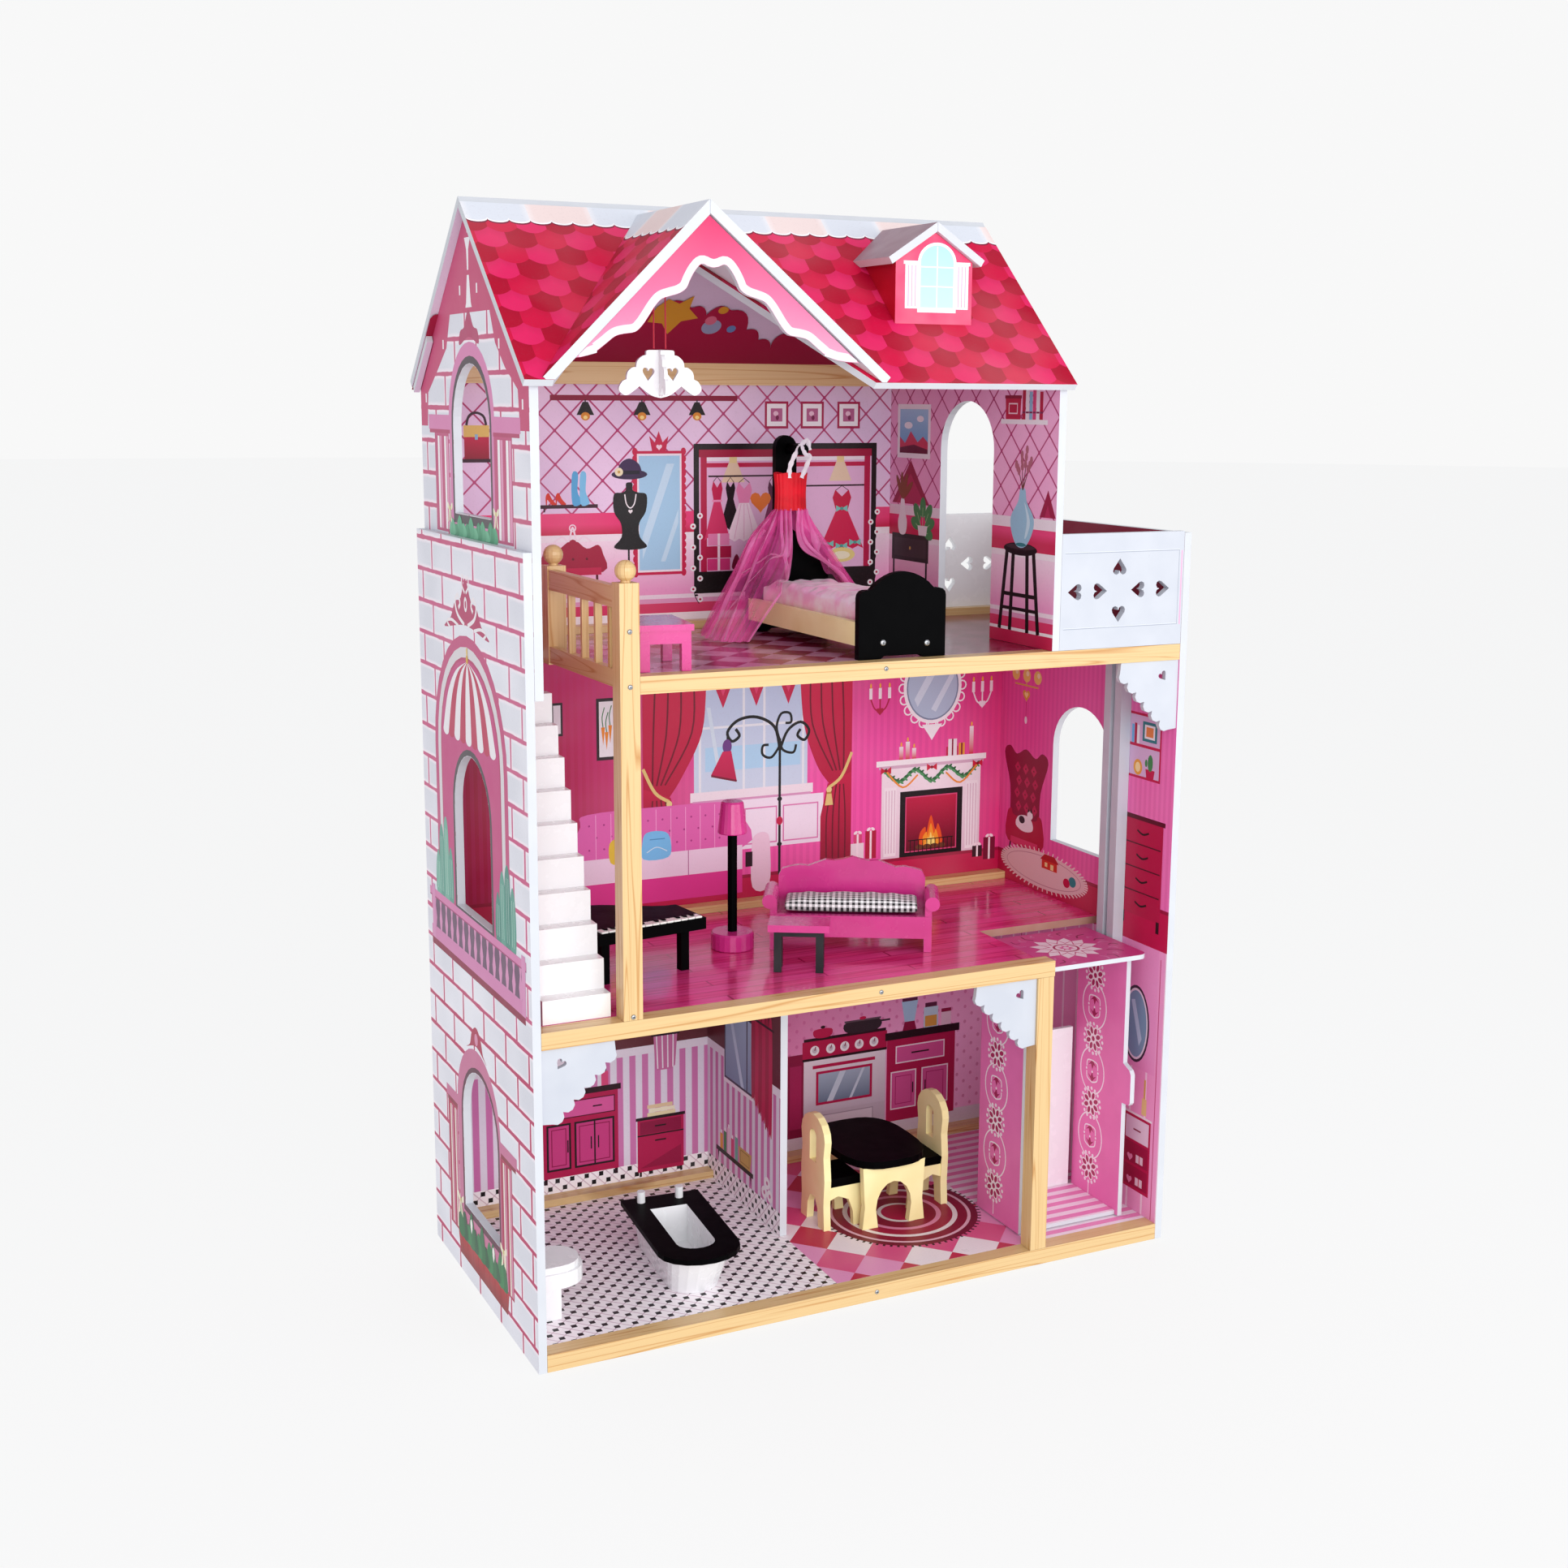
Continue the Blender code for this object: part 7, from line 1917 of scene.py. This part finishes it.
def screws(name, body, spots, radius=0.0032):
    """Pan-head cross screws: spots are (centre, outward direction)."""
    corners, faces, looks = [], [], []
    for centre, outward in spots:
        axis = Vector(outward).normalized()
        side = axis.orthogonal().normalized()
        other = axis.cross(side)
        first = len(corners)
        rings = ((1.0, 0.0), (0.97, 0.28), (0.74, 0.52), (0.40, 0.62))
        for reach, rise in rings:
            for k in range(16):
                a = 2 * math.pi * k / 16
                corners.append(centre + (side * math.cos(a) + other * math.sin(a)) * radius * reach
                               + axis * rise * radius * 0.8)
        for ring in range(3):
            for k in range(16):
                j = (k + 1) % 16
                faces.append((first + ring * 16 + k, first + ring * 16 + j, first + ring * 16 + 16 + j,
                              first + ring * 16 + 16 + k))
                looks.append(0)
        faces.append(tuple(first + 48 + k for k in range(16)))
        looks.append(0)
        for turned in (0.6, 0.6 + math.pi / 2):
            u = side * math.cos(turned) + other * math.sin(turned)
            w = axis.cross(u)
            lift = axis * (0.62 * 0.8 * radius + 0.00005)
            first = len(corners)
            for a, b in ((-1, -1), (1, -1), (1, 1), (-1, 1)):
                corners.append(centre + u * a * radius * 0.5 + w * b * radius * 0.11 + lift)
            faces.append(tuple(range(first, first + 4)))
            looks.append(1)
    made = add_mesh(name, corners, faces, STEEL.material, body)
    made.data.materials.append(SLOT)
    for polygon, look in zip(made.data.polygons, looks):
        polygon.material_index = look


rail_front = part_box("third_front_rail")[0][1] - FRONT
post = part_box("stair_post")
post_x, post_y = (post[0][0] + post[1][0]) / 2 - LEFT, post[0][1] - FRONT
screws("frame_screws", "house", [(at(0.3960, rail_front, THIRD - 0.0075), SOUTH),
                                 (at(0.3960, rail_front, SECOND - 0.0075), SOUTH),
                                 (at(0.3960, rail_front, 0.0100), SOUTH),
                                 (at(post_x, post_y, THIRD + 0.045), SOUTH),
                                 (at(post_x, post_y, THIRD - 0.010), SOUTH),
                                 (at(post_x, post_y, SECOND + 0.004), SOUTH)], 0.0026)
down_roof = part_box("roof_front")
screws("roof_screws", "house", [(at(u, v, down_roof[1][2] - (0.189 - v) * drop), slope_up) for u,
                                v in ((0.0130, 0.0350), (0.6040, 0.0350))], 0.0022)
screws("bed_screws", "bed", [(BED + Vector((-0.0235, 0.0, 0.0174)), SOUTH),
                             (BED + Vector((0.0300, 0.0, 0.0148)), SOUTH)], 0.0036)

PIANO = Matrix.Translation(at(0.178, 0.118, SECOND + 0.0003)) @ Matrix.Rotation(math.radians(8), 4, "Z")
IVORY = paint("ivory_keys", "F4F2EF", "E6E2DC", roughness=0.22, coat=0.3)


def bars(name, place, look, body, spans, rounding):
    """Small rounded bars from (low, high) corner pairs, as one piece."""
    work = bmesh.new()
    for low, high in spans:
        made = bmesh.ops.create_cube(work, size=1.0)
        for v in made["verts"]:
            v.co = Vector([low[k] + (v.co[k] + 0.5) * (high[k] - low[k]) for k in range(3)])
    bmesh.ops.bevel(work, geom=work.edges[:], offset=rounding, segments=2, affect="EDGES")
    mesh = finished(work, name)
    mesh.transform(place)
    mesh.materials.append(look)
    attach(placed(name, mesh), body)


keys = [((-0.0630 + 0.0090 * k, 0.0008, 0.0620), (-0.0543 + 0.0090 * k, 0.0135, 0.0640)) for k in range(14)]
bars("piano_white_keys", PIANO, IVORY, "piano", keys, 0.0006)
sharps = [((-0.0567 + 0.0090 * k, 0.0062, 0.0638),
           (-0.0519 + 0.0090 * k, 0.0140, 0.0652)) for k in range(13) if k % 7 not in (2, 6)]
bars("piano_black_keys", PIANO, BLACK, "piano", sharps, 0.0005)

# ---------------- camera, light and floor

EYE = at(-0.58197, -1.77798, 0.99361)
YAW, PITCH, ROLL = 0.45279, 0.1872, 0.00561
camera_data = bpy.data.cameras.new("camera")
camera_data.sensor_width = 36
camera_data.lens = 44.61335
camera_data.shift_x = -0.0032547
camera_data.shift_y = -0.0122888
camera_data.clip_end = 100
camera = placed("camera", camera_data)
forward = Vector((math.sin(YAW) * math.cos(PITCH), math.cos(YAW) * math.cos(PITCH), -math.sin(PITCH)))
right = Vector((math.cos(YAW), -math.sin(YAW), 0))
over = right.cross(forward)
right, over = right * math.cos(ROLL) + over * math.sin(ROLL), over * math.cos(ROLL) - right * math.sin(ROLL)
turn = Matrix((right, over, -forward)).transposed()
camera.matrix_world = Matrix.Translation(EYE) @ turn.to_4x4()
bpy.context.scene.camera = camera

bpy.context.scene.view_settings.view_transform = "Standard"
world = bpy.data.worlds.new("studio")
world.use_nodes = True
world_tree = world.node_tree
backdrop = world_tree.nodes["Background"]
backdrop.inputs["Color"].default_value = (0.94, 0.94, 0.94, 1)
glow = world_tree.nodes.new("ShaderNodeBackground")
glow.inputs["Color"].default_value = (0.95, 0.97, 1.0, 1)
glow.inputs["Strength"].default_value = 0.72
rays = world_tree.nodes.new("ShaderNodeLightPath")
choose = world_tree.nodes.new("ShaderNodeMixShader")
world_tree.links.new(rays.outputs["Is Camera Ray"], choose.inputs[0])
world_tree.links.new(glow.outputs[0], choose.inputs[1])
world_tree.links.new(backdrop.outputs[0], choose.inputs[2])
world_tree.links.new(choose.outputs[0], world_tree.nodes["World Output"].inputs["Surface"])
bpy.context.scene.world = world


def lamp(name, place, aim, size, power):
    """A square area light at place, turned to look at aim."""
    data = bpy.data.lights.new(name, "AREA")
    data.shape = "SQUARE"
    data.size = size
    data.energy = power
    made = placed(name, data)
    made.location = place
    made.rotation_euler = (Vector(aim) - Vector(place)).to_track_quat("-Z", "Y").to_euler()


lamp("key_light", (-0.7, -3.0, 1.4), (0, 0, 0.6), 2.2, 50)
lamp("fill_light", (1.4, -2.8, 0.9), (0.1, 0, 0.5), 2.0, 24)

disc = bmesh.new()
bmesh.ops.create_circle(disc, cap_ends=True, segments=64, radius=30)
floor_mesh = finished(disc, "studio_floor")
studio_floor = placed("studio_floor", floor_mesh)
floor_look = Shader("studio_floor", 0.9, Specular_IOR_Level=0.0, Emission_Strength=0.83)
floor_look.bsdf.inputs["Emission Color"].default_value = (1, 1, 1, 1)
floor_look.colour(floor_look.mix(floor_look.noise(3, detail=1) * 0.02, "626262", "606060"))
floor_mesh.materials.append(floor_look.material)
studio_floor.location = (0, 0, -0.0005)
